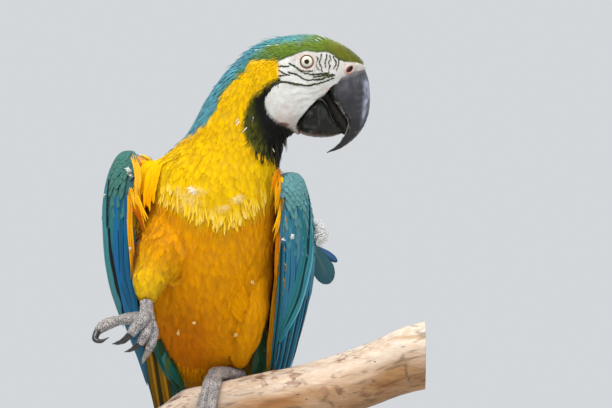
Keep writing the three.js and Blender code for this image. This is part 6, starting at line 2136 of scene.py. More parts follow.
def sweeping_left(coat, T, r):
    """The long feathers that sweep down the left wing, seen in front of the primaries."""
    blue, teal = srgb(20, 116, 160), srgb(40, 124, 132)
    cyan, dark = srgb(120, 200, 220), srgb(4, 54, 58)
    for x0, x1, w in ((58.0, 52.6, 5.0), (62.3, 54.4, 5.4), (66.6, 56.4, 5.4)):
        sweep(coat, T, 1, [(x0 + 0.5, 138), (x0, 122), (x0 + 0.4, 104), (x0 - 0.8, 82), (x1 + 4.5, 58), (x1 + 1.0, 38)], w, (-0.9, 0.1),
              plain(mix(W_MID[1], blue, 0.6) * r.uniform(0.85, 1.1), C["violet"], 1, srgb(8, 84, 116), 0.4, 0.7), r, uv0=(0.1, 0.02))
        # a thin darker strip along each is painted shade between the feathers
        sweep(coat, T, 1, [(x0 + 2.3, 112), (x0 + 2.2, 98), (x0 + 0.8, 80), (x1 + 6.0, 58), (x1 + 2.6, 40)], 1.0, (-0.2, 0.25),
              plain(srgb(12, 66, 104)), r, uv0=(0.5, 0.02), camber=0.05)
    sweep(coat, T, 1, [(72.5, 142), (74.5, 125), (75.2, 106), (73.4, 94), (70.4, 82), (66.5, 68), (62, 56), (56.5, 43), (53.5, 32)], 7.6, (-0.8, 0.4),
          plain(teal, C["violet"], -1, srgb(10, 92, 106), 0.85, 0.62), r, uv0=(0.2, 0.02))
    # its outer edge carries a painted cyan highlight
    sweep(coat, T, 1, [(78.0, 156), (80.4, 134), (81.4, 116), (80.6, 100), (77.8, 87), (74.0, 72), (69.0, 58), (61, 43), (55, 31.5)], 5.6, (-0.7, 0.3),
          plain(srgb(52, 140, 156), cyan, 1, srgb(24, 122, 140), 0.85, 0.35), r, uv0=(0.3, 0.02), camber=0.15)
    # a near-black strip under its outer edge is painted shade
    sweep(coat, T, 1, [(83.0, 98), (81.6, 88), (78.6, 77), (74.6, 66), (69.6, 55), (64.0, 46), (58.5, 38)], 3.4, (-1.0, -0.4),
          plain(srgb(34, 26, 30)), r, uv0=(0.45, 0.02), camber=0.1)
    # the narrowest and darkest of these three is painted shade beside the other two
    for j_, (w_, c_) in enumerate(((3.2, srgb(34, 108, 122)), (2.6, srgb(20, 92, 110)), (1.2, srgb(8, 44, 60)))):
        q_ = np.array([(56.6, -37, 112), (55.8, -34, 92), (54.8, -27, 68), (52.4, -13, 44), (50.2, 2, 24), (49.0, 10, 12)], float)
        q_[:, 0] += (0.2, 1.8, 0.9)[j_]
        q_[:, 1] -= (0.0, 0.3, 0.9)[j_]
        lobe(coat, q_, [0.1, -1, 0.1], w_, plain(c_, C["pale"], -1, None, 0.3, 0.6), np.array([0.5, 0.02]), r, n=30, m=5, blunt=0.5, root=0.4, camber=0.4,
             ragged=0.03)
    # along each of these feathers a thin light strip is a painted highlight and a thin dark strip painted shade
    for k, off in enumerate((0.0, -4.8, -9.4, -13.8)):
        line_ = [(77.5 + off, 66 + 1.0 * off), (74.4 + off, 50), (70.6 + off * 0.96, 34), (66.4 + off * 0.9, 17), (61.6 + off * 0.85, -1), (57.0 + off * 0.8, -16)]
        for dx, w, c, li in ((-2.6, 3.6, mix(W_LOW[1], blue, (0.5, 0.2, 0.6, 0.3)[k]), -1.1), (-0.6, 1.0, srgb(64, 150, 186), -0.8), (0.9, 1.2, srgb(4, 28, 42), -1.0)):
            sweep(coat, T, 1, [(x + dx, z) for x, z in line_], w, (li, li + 0.4), plain(c), r, uv0=(0.5, 0.02), camber=0.05)
    # a dark strip between the two long teal feathers is painted shade where they meet
    sweep(coat, T, 1, [(79.2, 150), (79.8, 134), (79.2, 118), (78.2, 104), (75.4, 90), (71.2, 72), (65.8, 57), (58.6, 42)], 2.0, (-0.3, 0.5),
          plain(dark), r, uv0=(0.4, 0.02), camber=0.05)


def sweeping_right(coat, T, r):
    """Long feathers of the right wing: blue ones under the coverts, a dark vane painted as the shadow in a gap, and a
    teal one on the outer edge.
    """
    blue = srgb(22, 106, 156)
    for x0, x1, w in ((75.0, 66.5, 5.4), (70.6, 62.5, 5.4), (66.4, 59.5, 5.0)):
        sweep(coat, T, -1, [(x0, 150), (x0, 132), (x0 - 0.2, 112), (x0 - 2.2, 88), (x1, 58), (x1 - 5, 34)], w, (-0.9, 0.1),
              plain(mix(W_LOW[-1], blue, 0.55 + 0.35 * (x0 > 74)) * r.uniform(0.9, 1.15), C["violet"], 1, srgb(6, 68, 78), 0.85 if x0 > 74 else 0.6, 0.5), r, uv0=(0.1, 0.02))
        # a thin dark strip beside each is painted shade between the feathers
        sweep(coat, T, -1, [(x0 - 2.4, 122), (x0 - 2.5, 104), (x0 - 4.4, 82), (x1 - 2.6, 58)], 0.9, (-0.2, 0.25),
              plain(srgb(6, 58, 82)), r, uv0=(0.5, 0.02), camber=0.05)
    # the teal one's pale edge is a painted highlight
    sweep(coat, T, -1, [(83.5, 172), (84.6, 150), (84.4, 124), (82.8, 100), (80.6, 84), (76.2, 64), (70, 44)], 5.4, (-0.6, 0.4),
          plain(srgb(58, 134, 140), srgb(120, 186, 190), 1, srgb(16, 92, 110), 0.7, 0.5), r, uv0=(0.3, 0.02), camber=0.15)
    # a near-black vane painted as the shadow in the gap, and a thin dark strip above it painted shade
    sweep(coat, T, -1, [(80.4, 124), (79.7, 110), (78.0, 97), (75.4, 84), (71.0, 66)], 2.6, (-0.1, 0.5), plain(srgb(14, 20, 16)), r, uv0=(0.4, 0.02), camber=0.05)
    sweep(coat, T, -1, [(80.0, 163), (80.8, 148), (81.6, 135), (81.2, 124)], 1.3, (0.3, 0.7), plain(srgb(18, 52, 56)), r, uv0=(0.6, 0.02), camber=0.05)


def lobes_between(coat, side, r):
    """Yellow feathers of the flank and the wing's lining that fill the gap beside the belly; the darker orange, rust
    and olive ones are painted shade in that gap.
    """
    gold, orange, rust, olive = srgb(250, 178, 16), srgb(226, 140, 10), srgb(176, 84, 4), srgb(150, 112, 20)
    pale = srgb(255, 222, 130)
    if side > 0:
        # the darker orange lobes here are painted shade in the gap beside the wing
        rows = (([(56.0, -36, 170), (54.0, -39, 162), (52.6, -41, 150)], 6.0, srgb(206, 122, 6), None, 0.5),
                ([(55.4, -39, 163), (54.6, -43, 154), (53.8, -44.5, 145), (52.8, -44, 137)], 4.2, srgb(226, 150, 12), pale, 0.5),
                ([(57.5, -40, 145), (56, -43, 134), (54, -43.5, 126), (51.5, -43, 119)], 3.6, gold, pale, 0.8),
                ([(55.8, -38, 128), (54.4, -41, 112), (53.6, -40, 98), (53.0, -37, 82)], 3.4, srgb(196, 116, 8), None, 0.5),
                ([(54.4, -34, 94), (51.6, -26, 68), (49.6, -15, 46), (47.8, -3, 28), (46.4, 8, 11)], 3.8, srgb(150, 100, 14), orange, 0.5))
    else:
        # the rust and olive lobes among these are painted shade between wing and belly
        rows = (([(-43.5, -29, 178), (-48.5, -36, 171), (-51.8, -40.5, 160), (-51.0, -42.5, 147)], 11.0, srgb(255, 186, 6), "body", 0.4),
                ([(-40, -36, 176), (-44, -41.5, 167), (-47.2, -44, 154), (-47.0, -45, 143)], 9.0, srgb(255, 186, 4), "body", 0.4),
                ([(-50.5, -27, 177), (-53.5, -35, 170), (-55.5, -39, 160), (-54.5, -41, 149)], 6.0, srgb(250, 170, 8), "body", 0.4),
                ([(-62.5, -40, 154), (-62.8, -42, 142), (-62.0, -41, 126), (-61.0, -40, 106), (-60.5, -36, 90)], 4.2, srgb(236, 156, 16), gold, 0.6),
                ([(-60, -43, 146), (-56.5, -45, 136), (-52.2, -45, 123.4)], 5.0, rust, orange, 0.5),
                ([(-60.5, -43, 156), (-56, -45, 143), (-50.9, -45.5, 127.4)], 6.6, gold, pale, 0.6),
                ([(-60.0, -38, 183), (-57.2, -43, 173), (-55.9, -45, 162), (-56.2, -45.5, 150)], 4.6, srgb(250, 184, 44), pale, 0.7),
                ([(-58.5, -37, 158), (-55, -39, 146), (-51.5, -40, 132)], 7.0, srgb(150, 66, 4), rust, 0.6),
                ([(-60, -33, 100), (-57, -28, 84), (-53, -22, 66)], 5.0, olive, orange, 0.6))
    for pts, w, base, edge, amount in rows:
        K = 7
        for j in range(K):
            q = np.array(pts, float)
            o = ((j * 3) % K + 0.5 - K / 2) / K * w * 0.9
            q[:, 0] += o * side + r.normal(0, 0.5, len(q))
            q[:, 1] += 0.35 * ((j * 3) % K) - 0.8
            q[-1, 2] += r.uniform(-7.0, 9.0)
            q[0, 2] += r.uniform(-5.0, 1.0)
            if side > 0:
                q[:, 0] = np.minimum(q[:, 0], 56.2)
            c = mix(base, C["rust"], 0.22 * r.random()) * r.uniform(0.90, 1.05)
            far = o > 0.25 * w
            if isinstance(edge, str):
                # these carry on the coat of the breast, without edges of their own
                q[:, 1] -= 0.27 * ((j * 3) % K)

                def even(F, A, top, c=base * r.uniform(0.97, 1.0)):
                    return mix(np.broadcast_to(c, F.shape + (3,)), C["mid"] * 0.92, smooth(F, 0.35, 0.95)[..., None]) * (1 - 0.04 * np.abs(A))[..., None]
                lobe(coat, q, [-0.25, -1, 0.15], w * r.uniform(0.45, 0.6), even, unwrap(q[:1], np.array(["trunk"]))[0], r, n=18, m=5, blunt=1.0, root=0.25,
                     camber=0.15, th=0.12, ragged=0.15)
                continue
            lobe(coat, q, [r.uniform(-0.15, 0.3) * side, -1, 0.1], w * r.uniform(0.30, 0.42), plain(c, edge if far else mix(base, C["gold"], 0.3), side, None, amount, 0.3),
                 unwrap(np.array([pts[0]], float), np.array(["trunk"]))[0], r, n=18, m=5, blunt=1.0, root=0.55, camber=0.5, ragged=0.22)


def build_wing(name, T, sign, seed):
    r = np.random.default_rng(seed)
    prim = Coat(f"{name}_primary_feathers", M_BLUE, "plumage_blue")
    sec = Coat(f"{name}_secondary_feathers", M_BLUE, "plumage_blue")
    cov = Coat(f"{name}_coverts", M_SCALE, "plumage_teal")
    line = Coat(f"{name}_lining", M_YELLOW, "plumage_yellow")
    ends = [8.0, 8.9, 9.6, 10.2, 10.6, 11.0]
    # primaries: from the outermost, at the front edge, to the longest
    n = 9
    for k in range(n):
        g = (k + 0.5) / n
        e = np.interp(g, np.linspace(0, 1, 6), ends) - 0.05
        lift = -4.2 + 0.55 * (k % 2) + 0.12 * k
        wing_vane(prim, T, sign, 0.10 + 0.80 * g, 5.3, 0.06 + 0.88 * g, e, 13.0, (lift, lift + 0.3), wing_colours("outer" if k < 3 else "flight", sign, r),
                  (0.02 + 0.1 * k, 0.02), r, n=44, m=9, blunt=0.16, camber=0.7, th=0.34, root=0.75, ragged=0.03, uv_size=(0.08, 0.9))
    # secondaries over them
    n = 9
    for k in range(n - 1, -1, -1):
        g = (k + 0.5) / n
        e = np.interp(g, np.linspace(0, 1, 7), [7.6, 7.6, 7.45, 7.25, 7.05, 6.85, 6.6])
        lift = -2.0 + 0.9 * (1 - g) + 2.8 * smooth(g, 0.5, 0.72)
        wing_vane(sec, T, sign, 0.05 + 0.88 * g, 3.4, 0.06 + 0.88 * g, e, 12.0, (lift - 1.2, lift + 0.2), wing_colours("flight", sign, r),
                  (0.02 + 0.1 * k, 0.02), r, n=30, m=9, blunt=0.22, camber=0.6, th=0.3, root=0.7, ragged=0.03, uv_size=(0.08, 0.9))
    # greater coverts
    v0, v1 = (2.6, 5.3) if sign > 0 else (2.5, 5.0)
    n = 11
    for k in range(n - 1, -1 if sign > 0 else 0, -1):
        g = (k + 0.5) / n
        lift = -0.5 + 0.4 * (1 - g) + 2.4 * smooth(g, 0.5, 0.7)
        wing_vane(cov, T, sign, 0.0 + 0.98 * g, v0, 0.03 + 0.95 * g, v1 - 0.5 * g + r.uniform(-0.12, 0.12), 10.0, (lift - 1.2, lift - 0.2),
                  wing_colours("greater", sign, r), unwrap(wing_point(T, sign, np.array([0.98 * g]), np.array([v0])), np.array([name]))[0], r,
                  n=20, m=7, blunt=0.3, camber=0.3, th=0.26, root=0.5, ragged=0.04)
    # median and lesser coverts in rows, each over the next
    rows = []
    v = v0 + (0.50 if sign > 0 else 0.12)
    while v > -0.3:
        rows.append(v)
        v -= 0.24 if v > 2 else 0.17
    for i, v in enumerate(rows):
        z = through(T, [max(v, 0)])[0, 0]
        wd = 7.4 if i < 2 else 6.2 - 1.9 * smooth(2.2 - v, 0, 2.2)
        span = 62 if v > 0.6 else 44
        cnt = int(span / (wd * 0.62))
        u = (np.arange(cnt) + 0.5 * (i % 2)) / cnt + r.normal(0, 0.008, cnt)
        u = u * 1.12 - 0.06
        if v > 1.6:
            u = u[u > (0.10 if sign < 0 else 0.04)]
            cnt = len(u)
        R = wing_point(T, sign, np.clip(u, -0.05, 1.02), np.full(cnt, max(v, -0.1)))
        Q, N = surface_of(R)
        D = np.tile(np.array([0.0, 0.10, -1.0]), (cnt, 1)) + r.normal(0, 0.05, (cnt, 3))
        D[:, 0] += sign * (0.25 * smooth(1.0 - v, 0, 1))
        D = unit(D - (D * N).sum(-1, keepdims=True) * N)
        big = smooth(v, 1.2, 3.2)
        L = np.full(cnt, 9.0 + 12 * big) * r.uniform(0.9, 1.1, cnt)
        mixb = 0.5 * smooth(v, 2.0, 3.4)

        def tone(R_, F, A, rr, mixb=mixb):
            c = mix(W_TOP[sign], W_MID[sign], smooth(R_[:, 2], 165, 120)[:, None])
            c = mix(c, C["nape"], (0.25 * rr.uniform(0, 1, len(R_)))[:, None])
            c = mix(c, C["blue"], (mixb * rr.uniform(0.4, 1, len(R_)))[:, None])
            c = c * rr.uniform(0.92, 1.08, len(R_))[:, None] * (1 + 0.12 * noise3(R_, 83, 9.0))[:, None]
            e = 0.93 + 0.10 * smooth(F, 0.35, 0.9) - 0.12 * smooth(np.abs(A), 0.8, 1.0) + 0.06 * np.sin(9 * A + 2 * F)
            return c[:, None, None, :] * e[None, ..., None]
        scales(cov, Q, N, D, L, np.full(cnt, wd) * r.uniform(0.9, 1.1, cnt), np.full(cnt, 2.0 + 0.45 * big), np.full(cnt, name), tone,
               n=7, m=5, blunt=0.75, seed=seed + i, ragged=0.22, shade=(0.90, 1.02), soft=0.82, camber=0.15, cup=0.2)
    (sweeping_left if sign > 0 else sweeping_right)(sec, T, r)
    lobes_between(line, sign, r)
    # yellow lining on the inner side and along the front edge
    s = sign

    def sel(P, part):
        inner = (part == name) & (np.abs(P[:, 0]) < 57.5) & (P[:, 2] < 168) & (P[:, 2] > 22)
        return inner
    P, N, part = scatter(sel, lambda c: 0 * c[:, 0] + 4.2, seed + 90)
    k = (N[:, 0] * s < 0.2) & (N[:, 1] < 0.45) & (N[:, 2] > -0.5) & (P[:, 1] < rear_of(P) - 9)
    P, N, part = P[k], N[k], part[k]
    D = unit(np.array([0, 0.15, -1.0]) - (N * np.array([0, 0.15, -1.0])).sum(-1, keepdims=True) * N)

    def gold(R, t, rr):
        c = mix(C["gold"], C["olive"], rr.uniform(0, 0.5, len(R))[:, None])
        # the brown patches are painted shade among the lining's feathers
        return mix(c, C["brown"], (0.5 * smooth(noise3(R, 81, 8.0), 0.1, 0.7))[:, None])
    n = len(P)
    strands(line, P, N, D, np.full(n, 15.0), np.full(n, 4.6), np.full(n, 2.6), part, gold, per=5, rings=4, seed=seed + 91)
    out = []
    for c, nodes in ((prim, [name + "_primaries"]), (sec, [name + "_secondaries"]), (cov, []), (line, [])):
        obs = c.build()
        if nodes and obs:
            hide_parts(*nodes)
        out += obs
    print(name, prim.count(), sec.count(), cov.count(), line.count())


build_wing("wing_left", WING_L, 1, 100)
build_wing("wing_right", WING_R, -1, 300)


# ------------------------------------------------------------------ tail
t_way = unit(np.array([-0.05, 0.27, -0.96]))
t_root = np.array([-6.0, 52, 34])
t_side = unit(np.array([1.0, 0, 0]) - t_way * t_way[0])
t_back = np.cross(t_side, t_way)


def on_tail(s, across, up):
    s, across, up = np.broadcast_arrays(s, across, up)
    return t_root + t_way * s[..., None] + t_side * across[..., None] + t_back * up[..., None]


def build_tail():
    coat = Coat("tail_feathers", M_BLUE, "plumage_blue")
    r = np.random.default_rng(7)
    pairs = [0.46, 0.57, 0.69, 0.81, 0.93, 1.0]
    ends = [p * TAIL_LENGTH for p in pairs + pairs[::-1]]
    n, m = 60, 9
    for k, e in enumerate(ends):
        c = (k + 0.5) / 12 * 2 - 1
        s = 2 + (e - 2) * np.linspace(0, 1, n)
        f = s / TAIL_LENGTH
        w = 14 + 17 * np.minimum(1, f * 3.2)
        g = np.linspace(0, 1, n)
        hw = 8.6 * np.interp(g, [0, 0.06, 0.5, 0.82, 0.95, 1.0], [0.35, 0.8, 1.0, 0.82, 0.42, 0.05]) * (1 + 0.03 * r.uniform(-1, 0.3, n))
        a = np.linspace(-1, 1, m)
        across = c * (w - 5)[:, None] + hw[:, None] * a[None]
        lay = 1.5 - 6.6 * c * c + 0.9 * (1 - abs(c)) - 0.9
        up = lay - 0.42 * abs(c) * 0 + 0.7 * (1 - a[None] ** 2) * np.sin(np.pi * np.minimum(g + 0.1, 1))[:, None] ** 0.5 - 0.10 * np.sign(c) * a[None] * 4.2
        P = on_tail(s[:, None], across, up + 0 * across)
        N = np.broadcast_to(unit(t_back + t_side * 0.3 * c), P.shape)
        th = np.broadcast_to(0.34 * (1 - 0.8 * a[None] ** 2) * (1 - 0.7 * g[:, None]), P.shape[:2])
        tone = r.uniform(0.88, 1.12)

        def col(F, A, top, c=c, tone=tone):
            if top < 0:
                k_ = np.broadcast_to(mix(srgb(196, 138, 14), srgb(120, 86, 10), 0.4), F.shape + (3,))
                return k_ * tone * (0.75 + 0.3 * smooth(np.abs(A), 0.9, 0.2))[..., None]
            k_ = mix(C["blue"], C["deep"], (0.6 * smooth(np.abs(A), 0.3, 1.0))[..., None])
            k_ = mix(k_, C["teal"], (0.5 * smooth(F, 0.25, 0.0))[..., None])
            return k_ * tone * (1 - 0.25 * smooth(np.abs(A), 0.8, 1.0))[..., None]
        blade(P, N, th, col, (0.01 + 0.08 * k, 0.02), coat, uv_size=(0.07, 0.94))
    obs = coat.build()
    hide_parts("tail")
    # coverts over and under the root
    for nm, length, w0, th0, up, start, node, slot, c0, c1 in (
            ("tail_coverts_top", 140, 23, 4.6, 1, -4, "tail_coverts_upper", "plumage_blue", C["mantle"], C["blue"]),
            ("tail_coverts_below", 132, 27, 9.0, -1, 22, "tail_coverts_under", "plumage_teal", C["vent"], C["teal"])):
        cc = Coat(nm, M_SCALE, slot)
        rows = 15
        for i in range(rows - 1, -1, -1):
            f0 = (i / rows) * 0.78
            cnt = max(3, int(9 - 5 * f0))
            for j in range(cnt):
                q = (j + 0.5 * (1 + (i % 2)) * 0.66) / cnt * 2 - 1
                q = np.clip(q + r.normal(0, 0.05), -0.96, 0.96)
                ln = 34 + 14 * f0
                nn, mm = 10, 5
                g = np.linspace(0, 1, nn)
                s = start + (length - start) * f0 + ln * g
                f = np.clip((s - start) / (length - start), 0, 1)
                wd = w0 * np.sqrt(np.maximum(0.02, 1 - f ** 2.4))
                th = th0 * (1 - 0.82 * f)
                lift = 3.6 if up > 0 else -7.2 + 5 * f
                a = np.linspace(-1, 1, mm)
                hw = 5.6 * vane_outline(g, 0.5, 0.4)
                ac = q * wd * 0.86
                across = ac[:, None] + hw[:, None] * a[None]
                x = np.clip(across / np.maximum(wd[:, None], 3), -1, 1)
                dome = np.sqrt(np.maximum(0, 1 - x * x))
                upv = (lift + up * th + 0 * s)[:, None] + up * th[:, None] * dome
                upv = upv + up * (-1.2 + 1.0 * g[:, None] + 0.5 * (1 - a[None] ** 2))
                P = on_tail(s[:, None] + 0 * across, across, upv)
                N = unit(np.broadcast_to(t_back * up, P.shape) + t_side * x[..., None] * 0.8)
                tt = np.broadcast_to(0.2 * (1 - 0.8 * a[None] ** 2) * (1 - 0.6 * g[:, None]), P.shape[:2])
                base = mix(c0, c1, r.uniform(0, 1)) * r.uniform(0.8, 1.15)
                if up < 0 and abs(q) < 0.5 and f0 < 0.25 and r.random() < 0.5:
                    base = mix(base, C["orange"], 0.6)

                def col(F, A, top, base=base):
                    return base * (0.68 + 0.4 * smooth(F, 0.2, 0.9) - 0.25 * smooth(np.abs(A), 0.75, 1.0))[..., None]
                blade(P, N, tt, col, (0.05 + 0.9 * f0 + 0.002 * j, 0.08 + 0.84 * (q + 1) / 2), cc)
        obs = cc.build()
        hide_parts(node)
        print(nm, cc.count())


build_tail()


# ------------------------------------------------------------------ ruffled coverts and down by the left wing
def loose_feathers():
    specs = (([81.2, 16, 112], [0.43, 0.10, -0.90], 36.5, 17.6, [0.25, -1, 0], "wing_left_loose_feather_1"),
             ([81, 19, 111], [0.85, 0.12, -0.51], 26, 6.4, [0.25, -1, 0.2], "wing_left_loose_feather_2"))
    r = np.random.default_rng(9)
    for root, way, length, width, face, node in specs:
        coat = Coat(node + "_vane", M_SCALE, "plumage_teal")
        t = unit(np.array(way))
        side = unit(np.cross(t, np.array(face, float)))
        up = np.cross(side, t)
        n, m = 34, 11
        g = np.linspace(0, 1, n)
        a = np.linspace(-1, 1, m)
        w = width / 2 * (0.22 + 0.78 * np.minimum(1, g / 0.62) ** 0.9) * np.sqrt(np.maximum(0.02, 1 - np.maximum(0, (g - 0.6) / 0.4) ** 2.4)) + 0.2
        w = w * (1 + 0.03 * r.uniform(-1, 0.2, n))
        C0 = np.array(root, float) + t * (length * g)[:, None] - up * (4 * g * g)[:, None]
        P = C0[:, None] + side * (w[:, None] * a[None])[..., None] - up * (0.8 * a[None] ** 2 * np.ones((n, 1)))[..., None]
        N = np.broadcast_to(up, P.shape)
        th = np.broadcast_to(0.35 * (1 - 0.8 * a[None] ** 2) * (1 - 0.5 * g[:, None]), (n, m))
        narrow = node.endswith("2")

        def col(F, A, top):
            base, deep = (srgb(70, 112, 160), srgb(40, 84, 126)) if narrow else (srgb(66, 110, 118), srgb(44, 88, 98))
            c = mix(base, deep, (0.7 * smooth(F, 0.3, 1.0))[..., None])
            c = mix(c, srgb(120, 130, 124), (0.35 * smooth(F, 0.25, 0.0))[..., None])
            # pale shaft
            c = mix(c, srgb(120, 156, 156), (0.5 * smooth(np.abs(A), 0.12, 0.02) * smooth(F, 0.95, 0.5))[..., None])
            if narrow:
                c = mix(c, srgb(30, 56, 84), (0.7 * smooth(A, 0.1, 0.8))[..., None])
            # the lower side is painted darker, as shade
            return c * (1 - 0.2 * smooth(np.abs(A), 0.8, 1.0))[..., None] * (1.0 if top > 0 else 0.8)
        blade(P, N, th, col, (0.1, 0.05), coat, uv_size=(0.5, 0.9))
        obs = coat.build()
        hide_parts(node)
    # white down pushed out from under the coverts
    down = Coat("coat_down_tuft", M_DOWN, "plumage_teal")
    n = 120
    g = r.random(n)
    roots = np.stack([84.4 + r.normal(0, 0.8, n), -2 + r.normal(0, 3.0, n), 124.0 - 9 * g], -1)
    Q, N = surface_of(roots)
    c = np.array([87.2, 2.0, 119.0])
    D = unit((Q - (c - np.array([7.0, 0, 0]))) * np.array([1.0, 1.0, 0.75]) + r.normal(0, 1.8, (n, 3)))
    D = unit(D + np.array([0.75, -0.30, 0.0]))
    free_strands(down, Q, N, D, 8.2, 0.75, srgb(244, 244, 242), r, per=10, part="wing_left")
    Q, N = surface_of(np.array([[84.5, 2, 114.0], [84.5, 2, 116.0]]))
    free_strands(down, Q, N, unit(np.array([[1.0, -0.1, -0.1], [1.0, 0, 0.05]])), 11, 0.4, srgb(236, 234, 232), r, per=3, part="wing_left")
    # specks of down elsewhere on the coat
    spots = [((65.2, -36, 118.5), 7, 2.4, (0.1, -0.5, -1)), ((58.9, -40, 115.7), 3, 2.0, (0, -0.5, -1)), ((-66.2, -42, 169.5), 8, 3.4, (-0.5, -0.5, 0.6)),
             ((-68.4, -42, 172), 4, 2.6, (-0.5, -0.5, 0.6)), ((-62.8, -40, 108.8), 3, 2.2, (0, -0.5, -1)), ((-85.4, -20, 151), 3, 2.2, (-0.4, -0.6, -0.8)),
             ((-63.6, -42, 165.2), 3, 2.6, (-0.3, -0.5, 0.8))]
    for c, cnt, ln, way in spots:
        q, nn = surface_of(np.array([c], float) + r.normal(0, 0.45, (cnt, 3)))
        q = q + nn * 2.4
        d = unit(np.array(way, float) + r.normal(0, 0.35, (cnt, 3)))
        free_strands(down, q, nn, d, ln, 0.62, srgb(238, 236, 232), r, per=5, part="wing_left" if c[0] > 0 else "wing_right")
    for x_, z_, ln in ((33.4, 83, 3.6), (-24, 43, 3.2), (24, 42, 3.4), (-12, 50, 2.0)):
        row = at(TRUNK, z_)[0]
        u_ = np.clip((x_ - (row[1] + row[2]) / 2) / ((row[2] - row[1]) / 2), -0.98, 0.98)
        q, nn = surface_of(np.array([[x_, (row[3] + row[4]) / 2 - (row[4] - row[3]) / 2 * math.sqrt(1 - u_ * u_), z_]]) + r.normal(0, 0.5, (3, 3)))
        free_strands(down, q + nn * 1.6, nn, unit(np.tile([0.05, -0.35, -1.0], (3, 1)) + r.normal(0, 0.45, (3, 3))), 0.8 * ln, 0.32, srgb(250, 222, 140), r, per=9, part="trunk")
    # pin feathers on the neck, and thin white whiskers at the bib's edge
    q = np.array([(20.2, -44, 208.4), (21.1, -44, 205.9), (26.4, -44, 200.2)], float)
    q, nn = surface_of(q)
    free_strands(down, q, nn, unit(np.tile([0.62, -0.25, 0.72], (3, 1))), 7.5, 0.8, srgb(240, 236, 226), r, per=1, part="trunk")
    q = np.array([(44, -44, 226), (52, -44, 232), (36, -44, 214), (60, -40, 186), (50, -44, 182)], float)
    q, nn = surface_of(q)
    free_strands(down, q, nn, unit(np.tile([-0.3, -0.35, -0.9], (5, 1)) + r.normal(0, 0.2, (5, 3))), 6.0, 0.3, srgb(220, 214, 204), r, per=2, part="head")
    down.build()


def free_strands(coat, R, N, D, length, width, colour, r, per=5, part="trunk"):
    """Loose filaments that leave the skin in their own direction."""
    idx = np.repeat(np.arange(len(R)), per)
    n = len(idx)
    rings = 5
    d = unit(D[idx] + r.normal(0, 0.28 if per > 1 else 0.05, (n, 3)))
    L = length * r.uniform(0.6, 1.15, n)
    bend = r.normal(0, 0.35, (n, 3)) * (0.3 if per == 1 else 1)
    V = np.empty((n, rings * 3 + 1, 3))
    prev = None
    Cs = []
    for k in range(rings + 1):
        f = k / rings
        Cs.append(R[idx] + N[idx] * (0.6 + 2.0 * f * (per > 1)) + (d + bend * f * 0.5) * (L * f)[:, None])
    for k in range(rings):
        t = unit(Cs[k + 1] - Cs[k])
        s = unit(np.cross(N[idx] + 0.01, t))
        u = np.cross(t, s)
        w = width * (0.5 + 0.6 * np.sin(np.pi * (k / rings * 0.7 + 0.15)))
        V[:, k * 3] = Cs[k] - s * w * 0.5
        V[:, k * 3 + 1] = Cs[k] + s * w * 0.5
        V[:, k * 3 + 2] = Cs[k] + u * w * 0.5
    V[:, -1] = Cs[-1]
    Q, T = tube_faces(rings, 3, n)
    fr = np.concatenate([np.repeat(np.arange(rings) / rings, 3), [1.0]])
    ac = np.concatenate([np.tile([0.0, 1.0, 0.5], rings), [0.5]])
    W = np.broadcast_to(np.stack([ac, fr], -1), (n, len(fr), 2))
    uv = unwrap(R, np.full(len(R), part))[idx]
    K = np.broadcast_to(colour, V.shape) * r.uniform(0.85, 1.1, (n, 1, 1))
    coat.add(V.reshape(-1, 3), Q, T, K.reshape(-1, 3), (uv[:, None] + 0.003 * (W - 0.5)).reshape(-1, 2), W.reshape(-1, 2))


loose_feathers()


# ------------------------------------------------------------------ feet
def branch_at(x):
    return at(BRANCH, x)


TOE_R = 4.3


def grip(x0, x1, way, reach, r):
    out = []
    for i in range(6):
        f = i / 5
        x = x0 + (x1 - x0) * f
        a = 0.16 + (reach - 0.16) * f
        _, top, rad = branch_at(x)[0]
        d = rad + 1.2 + r * (1.08 - 0.22 * f)
        out.append([x, way * d * math.sin(a), top - rad + d * math.cos(a)])
    return out


def claw_from(path, r, length, bend):
    p, q, o = (np.array(path[-i], float) for i in (1, 2, 3))
    t, u = unit(p - q), unit(q - o)
    toward = t - u
    toward = np.array([0, 0, -1.0]) if np.linalg.norm(toward) < 1e-3 else unit(toward)
    return [list(p + t * length * (i / 3 - 0.12) + toward * bend * length * (i / 3) ** 2) for i in range(4)]


